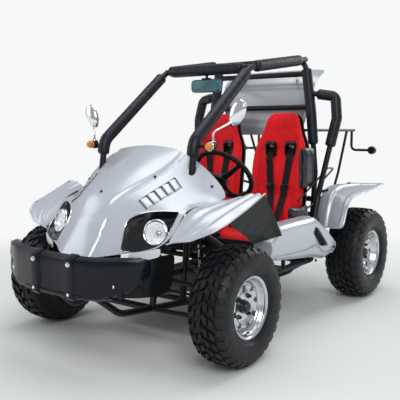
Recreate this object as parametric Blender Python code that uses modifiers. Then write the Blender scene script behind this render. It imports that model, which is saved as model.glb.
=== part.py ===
"""A two seat off road buggy kart with a tube frame, a padded roll cage and silver body panels.

The front of the kart points along -Y and its left side along +X. Forms that follow the whole
kart are written as shares of three driving sizes: the half width over the front tyres, the
wheelbase and the height of the roll hoop. Their origin is on the floor below the front axle.
"""
import bpy
import bmesh
from math import atan2, copysign, cos, pi, radians, sin, tan
from mathutils import Matrix, Vector

# Driving sizes in metres
HALF_WIDTH = 0.68
WHEELBASE = 1.46
HOOP_HEIGHT = 1.46
BAY_HALF_WIDTH = 0.24
BODY_HEIGHT = 0.7446
RAIL_HEIGHT = 0.2044
BAY_SHARE = 0.3529412
BODY_HEIGHT_SHARE = 0.51
RAIL_HEIGHT_SHARE = 0.14
NOSE_REACH = 0.545
TAIL_REACH = 1.778

# Running gaps and fits
SEAT_GAP = 0.0003
RUNNING_GAP = 0.0008
OVERRUN = 0.01
MERGE_DISTANCE = 0.00001

# Tube frame
FRAME_RADIUS = 0.016
BRACE_RADIUS = 0.011
RACK_RADIUS = 0.008
RACK_RAIL_RADIUS = 0.0088
BEND_RADIUS = 0.09
SMALL_BEND_RADIUS = 0.035
BEND_REACH_SHARE = 0.48
BEND_STEPS = 2
TUBE_RESOLUTION = 1
PAD_RESOLUTION = 2
PAD_THICKNESS = 0.014
PAD_RADIUS = FRAME_RADIUS + PAD_THICKNESS
FLAT_SHARE = cos(pi / 6)
FRAME_FLAT = FRAME_RADIUS * FLAT_SHARE

# Wheels and tyres
FRONT_TYRE_RADIUS = 0.2665
FRONT_TYRE_WIDTH = 0.19
REAR_TYRE_RADIUS = 0.2745
REAR_TYRE_WIDTH = 0.22
REAR_TRACK_INSET = 0.053
TYRE_SEGMENTS = 24
LUG_HEIGHT = 0.013
LUG_TOP_SHARE = 0.86
RIM_SEAT_RADIUS = 0.1275
RIM_FLANGE_RADIUS = 0.14
RIM_WELL_RADIUS = 0.112
RIM_WALL = 0.0045
RIM_FLANGE_WIDTH = 0.006
RIM_WIDTH_SHARE = 0.8
RIM_BORE_RADIUS = 0.03
RIM_SEGMENTS = 14
DISC_OFFSET = 0.034
DISC_DOME = 0.016
RIM_HOLES = 5
RIM_HOLE_RADIUS = 0.0125
RIM_HOLE_CIRCLE = 0.085
STUD_COUNT = 4
HALF_STEP_SHARE = 0.5
STUD_CIRCLE = 0.055
HUB_SEGMENTS = 10
NUT_RADIUS = 0.0095
NUT_HEIGHT = 0.012
HUB_FLANGE_RADIUS = 0.068
HUB_FLANGE_THICKNESS = 0.008
HUB_BARREL_RADIUS = 0.026
HUB_BARREL_LENGTH = 0.05
HUB_CAP_HEIGHT = 0.03
HUB_CAP_EDGE = 0.01
HUB_CAP_SHARE = 0.7
SPINDLE_RADIUS = 0.0125

# Front end
KINGPIN_INSET = 0.13
ARM_KNEE_INSET = 0.06
ARM_KNEE_SPREAD = 0.062
KINGPIN_RADIUS = 0.014
KINGPIN_HALF_HEIGHT = 0.055
BALL_RADIUS = 0.017
BALL_CUP_HEIGHT = 0.028
ARM_RADIUS = 0.011
TIE_ROD_CLEARANCE = 0.00214
STEER_ARM_DROP = 0.035
STEER_ARM_THICKNESS = 0.010
STEER_ARM_WIDTH = 0.024
RACK_BAR_RADIUS = 0.011
RACK_HOUSING_RADIUS = 0.022
RACK_HOUSING_HALF = 0.13
RACK_HALF = 0.24
TIE_ROD_RADIUS = 0.007
TIE_EYE_RADIUS = 0.013
TIE_EYE_GAP = 0.002
SHOCK_BODY_RADIUS = 0.016
SHOCK_ROD_RADIUS = 0.007
SHOCK_EYE_RADIUS = 0.013
SHOCK_EYE_HALF = 0.012
SHOCK_EYE_CLEAR = 0.038
SHOCK_PIN_RADIUS = 0.006
SHOCK_PIN_TAIL = 0.018
SHOCK_LUG_X = 0.0192
SPRING_RADIUS = 0.028
SPRING_WIRE_RADIUS = 0.0045
SPRING_TURNS = 4
SPRING_STEPS = 6
SPRING_START = radians(20)
SHOCK_SEGMENTS = 10
COLLAR_RADIUS = 0.033
COLLAR_HEIGHT = 0.008

# Panels and trim
PANEL_THICKNESS = 0.004
LINER_THICKNESS = 0.003
PAN_THICKNESS = 0.002
LAMP_RADIUS = 0.062
LAMP_DEPTH = 0.07
LAMP_WALL = 0.003
LAMP_FENDER_GAP = 0.0102
LENS_DOME = 0.008
LENS_SHOULDER_SHARE = 0.75
LAMP_RIM_DEPTH = 0.0233
LAMP_SEGMENTS = 16
HOLE_REACH = 0.14
BEZEL_DEPTH = 0.03
BEZEL_GAP = 0.0006
BEZEL_FLOOR_SHARE = 0.8
SHOULDER_SLOPE = 0.9
PILLAR_GAP = 0.004

# Seats
SEAT_OFFSET_SHARE = 0.3235
SEAT_MIDDLE_GAP = 0.08
SEAT_THICKNESS = 0.065
BOLSTER_DEPTH = 0.055
SEAT_BASE_HALF_WIDTH = 0.13

# Steering
WHEEL_RIM_RADIUS = 0.155
WHEEL_GRIP_RADIUS = 0.013
STEERING_INSET = 0.06492
COLUMN_RADIUS = 0.011
COLUMN_LENGTH = 0.50

# Rear end
SWING_RADIUS = 0.014
SWING_BAR_SHARE = 0.45
BORE_SIDES = 16
ROD_SIDES = 8
CARRIER_RADIUS = 0.036
CARRIER_HALF_WIDTH = 0.022
CARRIER_CLEARANCE = 0.09
AXLE_RADIUS = 0.0155
SPROCKET_RADIUS = 0.075
SPROCKET_THICKNESS = 0.005
BRAKE_RADIUS = 0.085

# Directions
UP = Vector((0, 0, 1))
REARWARD = Vector((0, 1, 0))

# Fittings, mounts and drive parts in metres, with their counts
BUMPER_HALF_HEIGHT = 0.09
BUMPER_STRUT_DROP_SHARE = 0.9
BUMPER_HALF_DEPTH = 0.035
POD_HALF_HEIGHT = 0.095
POD_HALF_WIDTH = 0.055
PANEL_TAB_SHARE = 0.6
FRONT_SHOCK_REACH = 0.05
FRONT_SHOCK_DROP = 0.025
REAR_SHOCK_INSET = 0.05
REAR_SHOCK_REACH_SHARE = 0.76
REAR_SHOCK_STANDOFF = 0.035
STEERING_SLOPE = radians(40)
WHEEL_HUB_DEPTH = 0.04
WHEEL_HUB_THICKNESS = 0.032
WHEEL_SPOKES = 3
WHEEL_SPOKE_RADIUS = 0.008
WHEEL_HUB_RADIUS = 0.035
COLUMN_TUBE_START = 0.14
COLUMN_TUBE_RADIUS = 0.018
ENGINE_SIZE = (0.18, 0.22, 0.17)
ENGINE_ROUND = 0.02
BARREL_HEIGHT = 0.11
BARREL_RADIUS = 0.045
FIN_COUNT = 5
FIN_START_SHARE = 0.7
FIN_HALF = 0.062
ROUND_STEPS = 7
FIN_THICKNESS = 0.006
DRIVE_HALF_LENGTH = 0.13
DRIVE_RADIUS = 0.075
DRIVE_THICKNESS = 0.03
EXHAUST_RADIUS = 0.014
SILENCER_RADIUS = 0.05
SILENCER_LENGTH = 0.26
SILENCER_SHIFT = 0.04
TAIL_LAMP_RADIUS = 0.026
TAIL_STALK_STEP = 0.032
SIGNAL_BODY = (0.03, 0.035, 0.045)
SIGNAL_LENS_RADIUS = 0.021
SIGNAL_LENS_TIP_RADIUS = 0.0126
MIRROR_SIZE = (0.045, 0.018, 0.07)
SIGNAL_STEM_RADIUS = 0.008
MIRROR_STEM_RADIUS = 0.005
MIRROR_LEAN = radians(25)
CENTRE_MIRROR_SIZE = (0.19, 0.045, 0.075)
CENTRE_MIRROR_DROP = 0.0861
CENTRE_MIRROR_EDGE = 0.018

# Forms as shares of the half width, the wheelbase and the hoop height
LOWER_RAIL_SHARES = [
    (0.191, -0.274, 0.212), (0.221, -0.192, 0.147), (0.353, 0.068, 0.14), (0.456, 0.233, 0.14),
    (0.456, 0.685, 0.14), (0.397, 0.788, 0.212), (0.353, 0.87, 0.257), (0.353, 1.11, 0.315),
]
NOSE_RAIL_SHARES = [
    (0.191, -0.274, 0.212), (0.176, -0.247, 0.315), (0.294, -0.034, 0.411), (0.419, 0.031, 0.411),
]
SIDE_RAIL_SHARES = [
    (0.419, 0.031, 0.411), (0.485, 0.205, 0.295), (0.618, 0.342, 0.199), (0.662, 0.425, 0.199),
    (0.662, 0.671, 0.199), (0.559, 0.788, 0.226),
]
TOWER_LEG_SHARES = [(0.419, 0.031, 0.411), (0.346, 0.041, 0.14)]
FRONT_LEG_SHARES = [(0.279, -0.075, 0.145), (0.309, -0.068, 0.25), (0.279, -0.055, 0.397)]
ARM_RAIL_SHARES = [(0.309, -0.079, 0.25), (0.371, 0.089, 0.25)]
PAN_SHARES = [(0.324, 0.116, 0.14), (0.426, 0.616, 0.14)]
POD_BRACKET_SHARES = [
    ((0.659, 0.452, 0.199), (0.659, 0.452, 0.288)), ((0.659, 0.616, 0.199), (0.659, 0.616, 0.288)),
]
SEAT_BAR_SHARES = {"front": (0.662, 0.452, 0.199), "rear": (0.662, 0.637, 0.199)}
CROSS_SHARES = [
    (0.191, -0.274, 0.212), (0.294, -0.082, 0.146), (0.346, 0.082, 0.14), (0.456, 0.274, 0.14),
    (0.456, 0.671, 0.14), (0.419, 0.031, 0.411), (0.662, 0.452, 0.199), (0.662, 0.637, 0.199),
    (0.559, 0.788, 0.226), (0.353, 0.87, 0.257), (0.353, 1.11, 0.315),
]
OUTRIGGER_SHARES = [
    ((0.456, 0.425, 0.14), (0.662, 0.452, 0.199)),
    ((0.456, 0.637, 0.14), (0.662, 0.637, 0.199)),
]
SIDE_CAGE_SHARES = [
    (0.419, 0.031, 0.411), (0.431, 0.038, 0.548), (0.428, 0.055, 0.668), (0.418, 0.396, 0.929),
    (0.45, 0.788, 0.989),
]
HOOP_SHARES = [
    (0.532, 0.788, 0.226), (0.563, 0.788, 0.534), (0.512, 0.788, 0.786), (0.45, 0.788, 0.989),
]
HOOP_BAR_SHARES = (0.507, 0.788, 0.798)
HOOP_SHOCK_BAR_SHARES = (0.559, 0.788, 0.425)
HOOP_TOP_BAR_SHARES = (0.463, 0.788, 0.932)
ROOF_BAR_SHARES = (0.418, 0.396, 0.929)
SIDE_GUARD_SHARES = [
    (0.491, 0.788, 0.855), (0.706, 0.822, 0.839), (0.735, 0.808, 0.753), (0.691, 0.781, 0.616),
    (0.632, 0.753, 0.445), (0.65, 0.651, 0.199),
]
PILLAR_PAD_SHARES = [(0.429, 0.047, 0.62), (0.428, 0.055, 0.668), (0.419, 0.37, 0.91)]
ROOF_PAD_SHARES = [(0.42, 0.425, 0.934), (0.446, 0.743, 0.982)]
ROOF_BAR_PAD_SHARES = [(-0.346, 0.396, 0.929), (0.346, 0.396, 0.929)]
HOOP_PAD_SHARES = [(0.54, 0.788, 0.647), (0.512, 0.788, 0.786), (0.461, 0.788, 0.953)]
GUARD_PAD_SHARES = [
    (0.556, 0.798, 0.85), (0.706, 0.822, 0.839), (0.735, 0.808, 0.753), (0.699, 0.786, 0.641),
]
HOOD_SHARES = [
    [(0, -0.288, 0.327), (0.103, -0.284, 0.329), (0.191, -0.264, 0.334), (0.284, -0.229, 0.342),
     (0.412, -0.205, 0.353), (0.551, -0.168, 0.373)],
    [(0, -0.248, 0.388), (0.103, -0.241, 0.387), (0.199, -0.219, 0.385), (0.301, -0.199, 0.384),
     (0.426, -0.175, 0.39), (0.571, -0.14, 0.399)],
    [(0, -0.226, 0.436), (0.101, -0.212, 0.436), (0.221, -0.188, 0.435), (0.338, -0.164, 0.432),
     (0.456, -0.137, 0.428), (0.581, -0.11, 0.432)],
    [(0, -0.189, 0.49), (0.118, -0.182, 0.486), (0.243, -0.161, 0.479), (0.368, -0.134, 0.469),
     (0.485, -0.103, 0.462), (0.574, -0.081, 0.468)],
    [(0, -0.123, 0.541), (0.132, -0.116, 0.534), (0.279, -0.103, 0.517), (0.412, -0.082, 0.497),
     (0.529, -0.048, 0.479), (0.603, -0.027, 0.476)],
    [(0, -0.041, 0.596), (0.162, -0.034, 0.586), (0.324, -0.021, 0.558), (0.471, 0, 0.524),
     (0.574, 0.021, 0.497), (0.647, 0.027, 0.486)],
    [(0, 0.071, 0.651), (0.176, 0.068, 0.644), (0.326, 0.068, 0.634), (0.456, 0.068, 0.601),
     (0.607, 0.068, 0.549), (0.703, 0.068, 0.493)],
]
LAMP_SHARES = (0.446, -0.147, 0.402)
LAMP_AIM_SHARES = (0.25, -1.0, 0.22)
RECESS_LAMP_SHARES = [
    (-1.667, -1.79, -1.201), (-2.117, -0.659, 0.188), (-1.985, -0.188, 0.636),
    (-1.152, 0.447, 1.06), (0.0, 1.013, 1.366), (1.075, 1.436, 1.436),
    (1.108, -0.212, -0.424), (0.834, -0.754, -0.848), (-0.537, -1.46, -1.272),
]
HOOD_POST_SHARES = (0.179, -0.24, 0.318)
FENDER_SHARES = [
    [(0.562, -0.161, 0.375), (0.618, -0.164, 0.384), (0.676, -0.161, 0.389), (0.732, -0.152, 0.392)],
    [(0.582, -0.113, 0.428), (0.676, -0.127, 0.426), (0.779, -0.134, 0.421), (0.86, -0.123, 0.419)],
    [(0.588, -0.072, 0.471), (0.706, -0.075, 0.467), (0.824, -0.082, 0.452), (0.915, -0.086, 0.442)],
    [(0.662, 0.014, 0.488), (0.765, 0.007, 0.49), (0.853, 0.003, 0.486), (0.929, 0.007, 0.476)],
    [(0.718, 0.082, 0.493), (0.794, 0.089, 0.508), (0.868, 0.096, 0.515), (0.937, 0.099, 0.513)],
]
LINER_SHARES = [
    [(0.915, -0.082, 0.439), (0.926, 0.007, 0.473), (0.934, 0.096, 0.51)],
    [(0.882, 0.014, 0.397), (0.897, 0.096, 0.418), (0.912, 0.171, 0.438)],
    [(0.735, 0.185, 0.336), (0.824, 0.233, 0.353), (0.882, 0.253, 0.362)],
]
FRONT_STAY_SHARES = [(0.425, 0.031, 0.414), (0.765, 0.014, 0.42)]
BUMPER_STATION_SHARES = [
    ((0.603, -0.274, 0.325), 0.45), ((0.529, -0.301, 0.308), 0.8), ((0.368, -0.332, 0.291), 1.0),
    ((0.199, -0.339, 0.288), 1.0), ((0.191, -0.348, 0.288), 1.1), ((0.132, -0.349, 0.288), 1.1),
    ((0.125, -0.34, 0.288), 1.0), ((0, -0.342, 0.288), 1.0),
]
BUMPER_SECTION_SHARES = [
    (-0.4, -1.0), (-1.0, -0.85), (-0.85, -0.1), (-1.0, 0.2), (-0.85, 0.85), (0.2, 1.0), (1.0, 0.7),
    (1.0, -0.8),
]
BUMPER_STRUT_SHARES = (0.14, -0.33, 0.288)
NOSE_SIDE_SHARES = [
    [(0, -0.301, 0.322), (0.235, -0.298, 0.322), (0.368, -0.229, 0.334), (0.493, -0.182, 0.339),
     (0.507, -0.13, 0.336), (0.515, -0.092, 0.336)],
    [(0, -0.301, 0.274), (0.235, -0.298, 0.274), (0.368, -0.247, 0.277), (0.478, -0.192, 0.284),
     (0.493, -0.137, 0.288), (0.5, -0.096, 0.288)],
    [(0, -0.301, 0.233), (0.235, -0.298, 0.229), (0.368, -0.247, 0.219), (0.463, -0.192, 0.216),
     (0.478, -0.137, 0.216), (0.485, -0.096, 0.219)],
]
APRON_TAB_SHARES = (0.182, -0.258, 0.28)
POD_STATION_SHARES = [
    ((0.76, 0.229, 0.308), 0.45), ((0.762, 0.288, 0.325), 0.95), ((0.762, 0.425, 0.318), 1.1),
    ((0.762, 0.548, 0.312), 1.2), ((0.762, 0.651, 0.274), 0.95), ((0.76, 0.726, 0.253), 0.35),
]
POD_SECTION_SHARES = [
    (-1.0, 0.9), (-0.4, 1.0), (0.7, 0.95), (1.0, 0.75), (1.0, 0.0), (0.8, -0.8), (0.3, -1.0),
    (-1.0, -0.9),
]
REAR_FENDER_SHARES = [
    [(0.618, 0.753, 0.322), (0.691, 0.74, 0.323), (0.809, 0.719, 0.325), (0.912, 0.705, 0.329)],
    [(0.618, 0.767, 0.384), (0.691, 0.757, 0.387), (0.809, 0.743, 0.39), (0.912, 0.733, 0.39)],
    [(0.618, 0.801, 0.459), (0.691, 0.795, 0.462), (0.809, 0.781, 0.455), (0.912, 0.767, 0.438)],
    [(0.618, 0.877, 0.479), (0.691, 0.873, 0.483), (0.809, 0.863, 0.473), (0.912, 0.856, 0.449)],
    [(0.618, 0.973, 0.476), (0.691, 0.973, 0.479), (0.809, 0.973, 0.473), (0.912, 0.973, 0.455)],
    [(0.618, 1.062, 0.473), (0.691, 1.075, 0.473), (0.809, 1.103, 0.473), (0.912, 1.137, 0.473)],
]
FENDER_STAY_SHARES = [
    ((0.558, 0.788, 0.45), (0.66, 0.82, 0.462)), ((0.405, 1.125, 0.43), (0.66, 1.03, 0.4765)),
]
REAR_PANEL_SHARES = [
    [(0, 0.815, 0.685), (0.265, 0.815, 0.685), (0.397, 0.815, 0.685)],
    [(0, 0.822, 0.788), (0.294, 0.822, 0.788), (0.441, 0.822, 0.788)],
    [(0, 0.829, 0.884), (0.324, 0.829, 0.884), (0.485, 0.829, 0.877)],
    [(0, 0.87, 0.935), (0.324, 0.87, 0.935), (0.485, 0.87, 0.928)],
    [(0, 0.959, 0.966), (0.324, 0.966, 0.966), (0.493, 0.966, 0.962)],
]
SEAT_STATION_SHARES = [
    ((0, 0.411, 0.264), (-0.95, 0.3), 0.88, 0.2), ((0, 0.421, 0.312), (-0.6, 0.8), 0.92, 0.3),
    ((0, 0.479, 0.312), (-0.1, 1.0), 0.96, 0.55), ((0, 0.575, 0.284), (0.0, 1.0), 1.0, 0.8),
    ((0, 0.637, 0.291), (-0.6, 0.8), 1.0, 1.0), ((0, 0.661, 0.342), (-0.95, 0.3), 1.0, 1.0),
    ((0, 0.675, 0.452), (-1.0, 0.12), 1.0, 1.0), ((0, 0.688, 0.562), (-1.0, 0.12), 1.02, 0.9),
    ((0, 0.699, 0.637), (-1.0, 0.12), 0.98, 0.6), ((0, 0.705, 0.699), (-1.0, 0.12), 0.76, 0.3),
    ((0, 0.712, 0.753), (-1.0, 0.15), 0.64, 0.15), ((0, 0.723, 0.781), (-0.9, 0.35), 0.42, 0.05),
]
SEAT_SECTION_SHARES = [
    (-1.0, 0.1), (-0.95, 1.0), (-0.80, 1.0), (-0.66, 0.12), (-0.3, 0.0), (0.3, 0.0), (0.66, 0.12),
    (0.80, 1.0), (0.95, 1.0), (1.0, 0.1),
]
SEAT_BACK_SHARES = [(0.86, -1.0), (0.3, -1.0), (-0.3, -1.0), (-0.86, -1.0)]
TYRE_SECTION_SHARES = [
    (0.72, 0.0), (0.72, 0.115), (0.98, 0.38), (0.98, 0.66), (0.86, 0.9), (0.46, 1.0),
]
SPROCKET_SHARES = (0.125, 1, 0.185)
BRAKE_SHARES = (-0.132, 1, 0.185)
UPPER_ARM_SHARES = [(0.312, -0.068, 0.25), (0.368, 0.075, 0.25)]
LOWER_ARM_SHARES = [(0.276, -0.082, 0.144), (0.357, 0.082, 0.14)]
STEERING_CENTRE_SHARES = (0.324, 0.295, 0.548)
SWING_PIVOT_SHARES = (0.294, 0.788, 0.226)
EXHAUST_SHARES = [(-0.059, 0.993, 0.322), (-0.059, 1.045, 0.397)]
RACK_RAIL_SHARES = [(0.538, 0.788, 0.705), (0.566, 0.993, 0.705), (0.529, 1.212, 0.705)]
RACK_STAY_SHARES = [(0.353, 1.11, 0.315), (0.441, 1.137, 0.514), (0.547, 1.11, 0.705)]
RACK_CROSS_SHARES = [
    (0.549, 0.856, 0.705), (0.563, 0.973, 0.705), (0.553, 1.089, 0.705), (0.529, 1.212, 0.705),
]
TAIL_LAMP_SHARES = (0.735, 1.205, 0.616)
MIRROR_SHARES = (0.691, 0.113, 0.757)
MIRROR_STEM_SHARES = [(0.551, 0.079, 0.668), (0.566, 0.082, 0.699), (0.669, 0.11, 0.753)]
SIGNAL_SHARES = (0.566, 0.068, 0.654)
HOOP_BARS = (HOOP_BAR_SHARES, HOOP_TOP_BAR_SHARES, HOOP_SHOCK_BAR_SHARES)

# Sizes that follow
FRONT_AXLE_Y = (NOSE_REACH - TAIL_REACH) / 2
FRONT_TRACK = 2 * HALF_WIDTH - FRONT_TYRE_WIDTH
REAR_TRACK = FRONT_TRACK - 2 * REAR_TRACK_INSET
KINGPIN_X = FRONT_TRACK / 2 - KINGPIN_INSET
SEAT_OFFSET = SEAT_OFFSET_SHARE * HALF_WIDTH
SEAT_HALF_WIDTH = SEAT_OFFSET - SEAT_MIDDLE_GAP / 2
SIDES = (("left", 1), ("right", -1))


def clear_scene():
    """Empty the open file of objects."""
    for leftover in list(bpy.data.objects):
        bpy.data.objects.remove(leftover, do_unlink=True)


def between(share, stops):
    """The length at a share, drawn out evenly between (share, length) stops."""
    for (low, start), (high, end) in zip(stops, stops[1:]):
        if share <= high:
            break
    return start + (share - low) / (high - low) * (end - start)


def place(shares, side=1):
    """A point of the kart from its shares of the driving sizes.

    The engine bay keeps its own width inside the half width. The lower rails and the top of the
    body keep their own heights below the hoop.
    """
    across = between(abs(shares[0]), [(0, 0), (BAY_SHARE, BAY_HALF_WIDTH), (1, HALF_WIDTH)])
    height = between(
        shares[2],
        [(RAIL_HEIGHT_SHARE, RAIL_HEIGHT), (BODY_HEIGHT_SHARE, BODY_HEIGHT), (1, HOOP_HEIGHT)],
    )
    return Vector((side * copysign(across, shares[0]), shares[1] * WHEELBASE, height))


def places(table, side=1):
    return [place(shares, side) for shares in table]


def finish_of(name, colour, roughness, metallic=0.0):
    """A Principled material, made once."""
    found = bpy.data.materials.get(name)
    if found:
        return found
    made = bpy.data.materials.new(name)
    made.use_nodes = True
    shader = made.node_tree.nodes["Principled BSDF"]
    shader.inputs["Base Color"].default_value = (*colour, 1.0)
    shader.inputs["Roughness"].default_value = roughness
    shader.inputs["Metallic"].default_value = metallic
    return made


def silver_plastic():
    return finish_of("silver_plastic", (0.62, 0.65, 0.70), 0.28)


def black_tube():
    return finish_of("black_tube", (0.012, 0.013, 0.016), 0.35)


def black_plastic():
    return finish_of("black_plastic", (0.02, 0.022, 0.028), 0.45)


def tyre_rubber():
    return finish_of("tyre_rubber", (0.014, 0.015, 0.018), 0.75)


def polished_steel():
    return finish_of("polished_steel", (0.72, 0.73, 0.75), 0.2, 1.0)


def dark_steel():
    return finish_of("dark_steel", (0.06, 0.06, 0.065), 0.4, 0.8)


def chrome():
    return finish_of("chrome", (0.85, 0.86, 0.88), 0.06, 1.0)


def amber_glass():
    return finish_of("amber_glass", (0.95, 0.35, 0.03), 0.15)


def red_fabric():
    return finish_of("red_fabric", (0.62, 0.01, 0.015), 0.75)


def teal_plastic():
    return finish_of("teal_plastic", (0.0, 0.12, 0.17), 0.15)


def cast_alloy():
    return finish_of("cast_alloy", (0.42, 0.43, 0.45), 0.45, 0.8)


def mesh_object(name, mesh):
    made = bpy.data.objects.new(name, mesh)
    bpy.context.scene.collection.objects.link(made)
    return made


def bake(source):
    """Turn an object with its modifiers, or a curve, into one plain welded mesh object."""
    bpy.context.view_layer.update()
    depsgraph = bpy.context.evaluated_depsgraph_get()
    mesh = bpy.data.meshes.new_from_object(source.evaluated_get(depsgraph))
    mesh.transform(source.matrix_world)
    name = source.name
    bpy.data.objects.remove(source, do_unlink=True)
    made = mesh_object(name, mesh)
    tidy_mesh(made)
    return made


def tidy_mesh(subject):
    """Weld doubled points and turn every face outwards."""
    build = bmesh.new()
    build.from_mesh(subject.data)
    bmesh.ops.remove_doubles(build, verts=build.verts, dist=MERGE_DISTANCE)
    bmesh.ops.recalc_face_normals(build, faces=build.faces)
    build.to_mesh(subject.data)
    build.free()


def combine(subject, tool, operation):
    """Apply one exact Boolean and remove the tool."""
    step = subject.modifiers.new(operation.lower(), "BOOLEAN")
    step.operation = operation
    step.solver = "EXACT"
    step.object = tool
    made = bake(subject)
    bpy.data.objects.remove(tool, do_unlink=True)
    return made


def fuse(pieces):
    made = pieces[0]
    for piece in pieces[1:]:
        made = combine(made, piece, "UNION")
    return made


def cut(subject, cutters):
    for cutter in cutters:
        subject = combine(subject, cutter, "DIFFERENCE")
    return subject


def publish(subject, name, finish, origin=None):
    """Name a finished solid, give it its material and set it under the kart's empty."""
    pivot = origin or Vector((0, 0, 0))
    subject.data.transform(Matrix.Translation(-pivot))
    subject.name = name
    subject.data.name = name
    subject.data.materials.clear()
    subject.data.materials.append(finish)
    subject.location = pivot
    subject.parent = bpy.data.objects["kart"]
    return subject


def mirrored(source, name):
    """The right hand copy of a left hand solid, as its own object and mesh."""
    mesh = source.data.copy()
    mesh.transform(Matrix.Scale(-1, 4, (1, 0, 0)))
    mesh.flip_normals()
    mesh.name = name
    made = mesh_object(name, mesh)
    made.location = Vector((-source.location.x, source.location.y, source.location.z))
    made.parent = source.parent
    return made


def bent_path(points, bend_radius, steps=BEND_STEPS):
    """Round the corners of a run of points as a tube bender does."""
    path = [points[0]]
    for before, corner, after in zip(points, points[1:], points[2:]):
        into = before - corner
        out = after - corner
        half_angle = into.angle(out) / 2
        most = BEND_REACH_SHARE * min(into.length, out.length)
        reach = min(bend_radius / tan(half_angle), most)
        start = corner + into.normalized() * reach
        end = corner + out.normalized() * reach
        for step in range(steps + 1):
            share = step / steps
            first = start.lerp(corner, share)
            second = corner.lerp(end, share)
            path.append(first.lerp(second, share))
    path.append(points[-1])
    return path


def tube(points, radius, bend_radius=BEND_RADIUS, closed=False, resolution=TUBE_RESOLUTION, capped=True):
    """A tube or rod along a run of points, with rounded bends, as a baked mesh."""
    path = points if closed else bent_path(points, bend_radius)
    curve = bpy.data.curves.new("tube", "CURVE")
    curve.dimensions = "3D"
    curve.bevel_depth = radius
    curve.bevel_resolution = resolution
    curve.use_fill_caps = capped
    spline = curve.splines.new("POLY")
    spline.points.add(len(path) - 1)
    for point, spot in zip(spline.points, path):
        point.co = (*spot, 1.0)
    spline.use_cyclic_u = closed
    made = mesh_object("tube", curve)
    return bake(made)


def rod(start, end, radius, sides=16, end_radius=None):
    """A straight round bar, or a cone, between two points."""
    build = bmesh.new()
    along = end - start
    turn = along.to_track_quat("Z", "Y").to_matrix().to_4x4()
    frame = Matrix.Translation((start + end) / 2) @ turn
    bmesh.ops.create_cone(
        build,
        cap_ends=True,
        segments=sides,
        radius1=radius,
        radius2=radius if end_radius is None else end_radius,
        depth=along.length,
        matrix=frame,
    )
    mesh = bpy.data.meshes.new("rod")
    build.to_mesh(mesh)
    build.free()
    return mesh_object("rod", mesh)


def box(centre, size, round_edge=0.0, turn=None):
    """A block with rounded edges."""
    build = bmesh.new()
    bmesh.ops.create_cube(build, size=1)
    mesh = bpy.data.meshes.new("box")
    build.to_mesh(mesh)
    build.free()
    mesh.transform(Matrix.Diagonal((*size, 1.0)))
    made = mesh_object("box", mesh)
    if round_edge:
        edge = made.modifiers.new("round", "BEVEL")
        edge.width = round_edge
        edge.segments = 2
    made.matrix_world = Matrix.Translation(centre) @ (turn or Matrix.Identity(4))
    return bake(made)


def turned(profile, segments, closed=False, start_angle=0.0):
    """Turn a profile of (radius, height) points about the local Z axis."""
    mesh = bpy.data.meshes.new("profile")
    points = [(radius, 0, height) for radius, height in profile]
    edges = [(index, index + 1) for index in range(len(points) - 1)]
    if closed:
        edges.append((len(points) - 1, 0))
    mesh.from_pydata(points, edges, [])
    made = mesh_object("turned", mesh)
    screw = made.modifiers.new("turn", "SCREW")
    screw.steps = segments
    screw.render_steps = segments
    screw.use_merge_vertices = True
    screw.merge_threshold = MERGE_DISTANCE
    made.rotation_euler = (0, 0, start_angle)
    return bake(made)


def aim(subject, origin, direction, roll="Y"):
    """Move a solid that was made about local Z so that Z points along a direction."""
    turn = direction.to_track_quat("Z", roll).to_matrix().to_4x4()
    subject.data.transform(Matrix.Translation(origin) @ turn)
    return subject


def plate(outline, thickness, frame):
    """A flat outline of (x, y) points made as thick as asked, placed by a matrix."""
    curve = bpy.data.curves.new("plate", "CURVE")
    curve.dimensions = "2D"
    curve.fill_mode = "BOTH"
    curve.extrude = thickness / 2
    spline = curve.splines.new("POLY")
    spline.points.add(len(outline) - 1)
    for point, spot in zip(spline.points, outline):
        point.co = (spot[0], spot[1], 0, 1)
    spline.use_cyclic_u = True
    made = mesh_object("plate", curve)
    made.matrix_world = frame
    return bake(made)


def grid_mesh(name, rows, closed_rows=False):
    """A surface through rows of points, as quads."""
    build = bmesh.new()
    spots = [[build.verts.new(spot) for spot in row] for row in rows]
    for lower, upper in zip(spots, spots[1:]):
        count = len(lower)
        for index in range(count if closed_rows else count - 1):
            following = (index + 1) % count
            build.faces.new((lower[index], lower[following], upper[following], upper[index]))
    if closed_rows:
        build.faces.new(spots[0])
        build.faces.new(spots[-1])
    mesh = bpy.data.meshes.new(name)
    build.to_mesh(mesh)
    build.free()
    return mesh


def shell(rows, thickness, smooth=0, symmetric=False, inward=True):
    """A moulded panel: a surface through rows of points, smoothed and made solid."""
    made = mesh_object("shell", grid_mesh("shell", rows))
    if symmetric:
        half = made.modifiers.new("mirror", "MIRROR")
        half.merge_threshold = MERGE_DISTANCE
    if smooth:
        soften = made.modifiers.new("soften", "SUBSURF")
        soften.levels = smooth
        soften.render_levels = smooth
    wall = made.modifiers.new("wall", "SOLIDIFY")
    wall.thickness = thickness
    wall.offset = -1 if inward else 1
    return bake(made)


def loft(rings, smooth=0):
    """A closed solid through rings of points, with flat ends."""
    made = mesh_object("loft", grid_mesh("loft", rings, closed_rows=True))
    tidy_mesh(made)
    if smooth:
        soften = made.modifiers.new("soften", "SUBSURF")
        soften.levels = smooth
        soften.render_levels = smooth
        made = bake(made)
    return made


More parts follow.
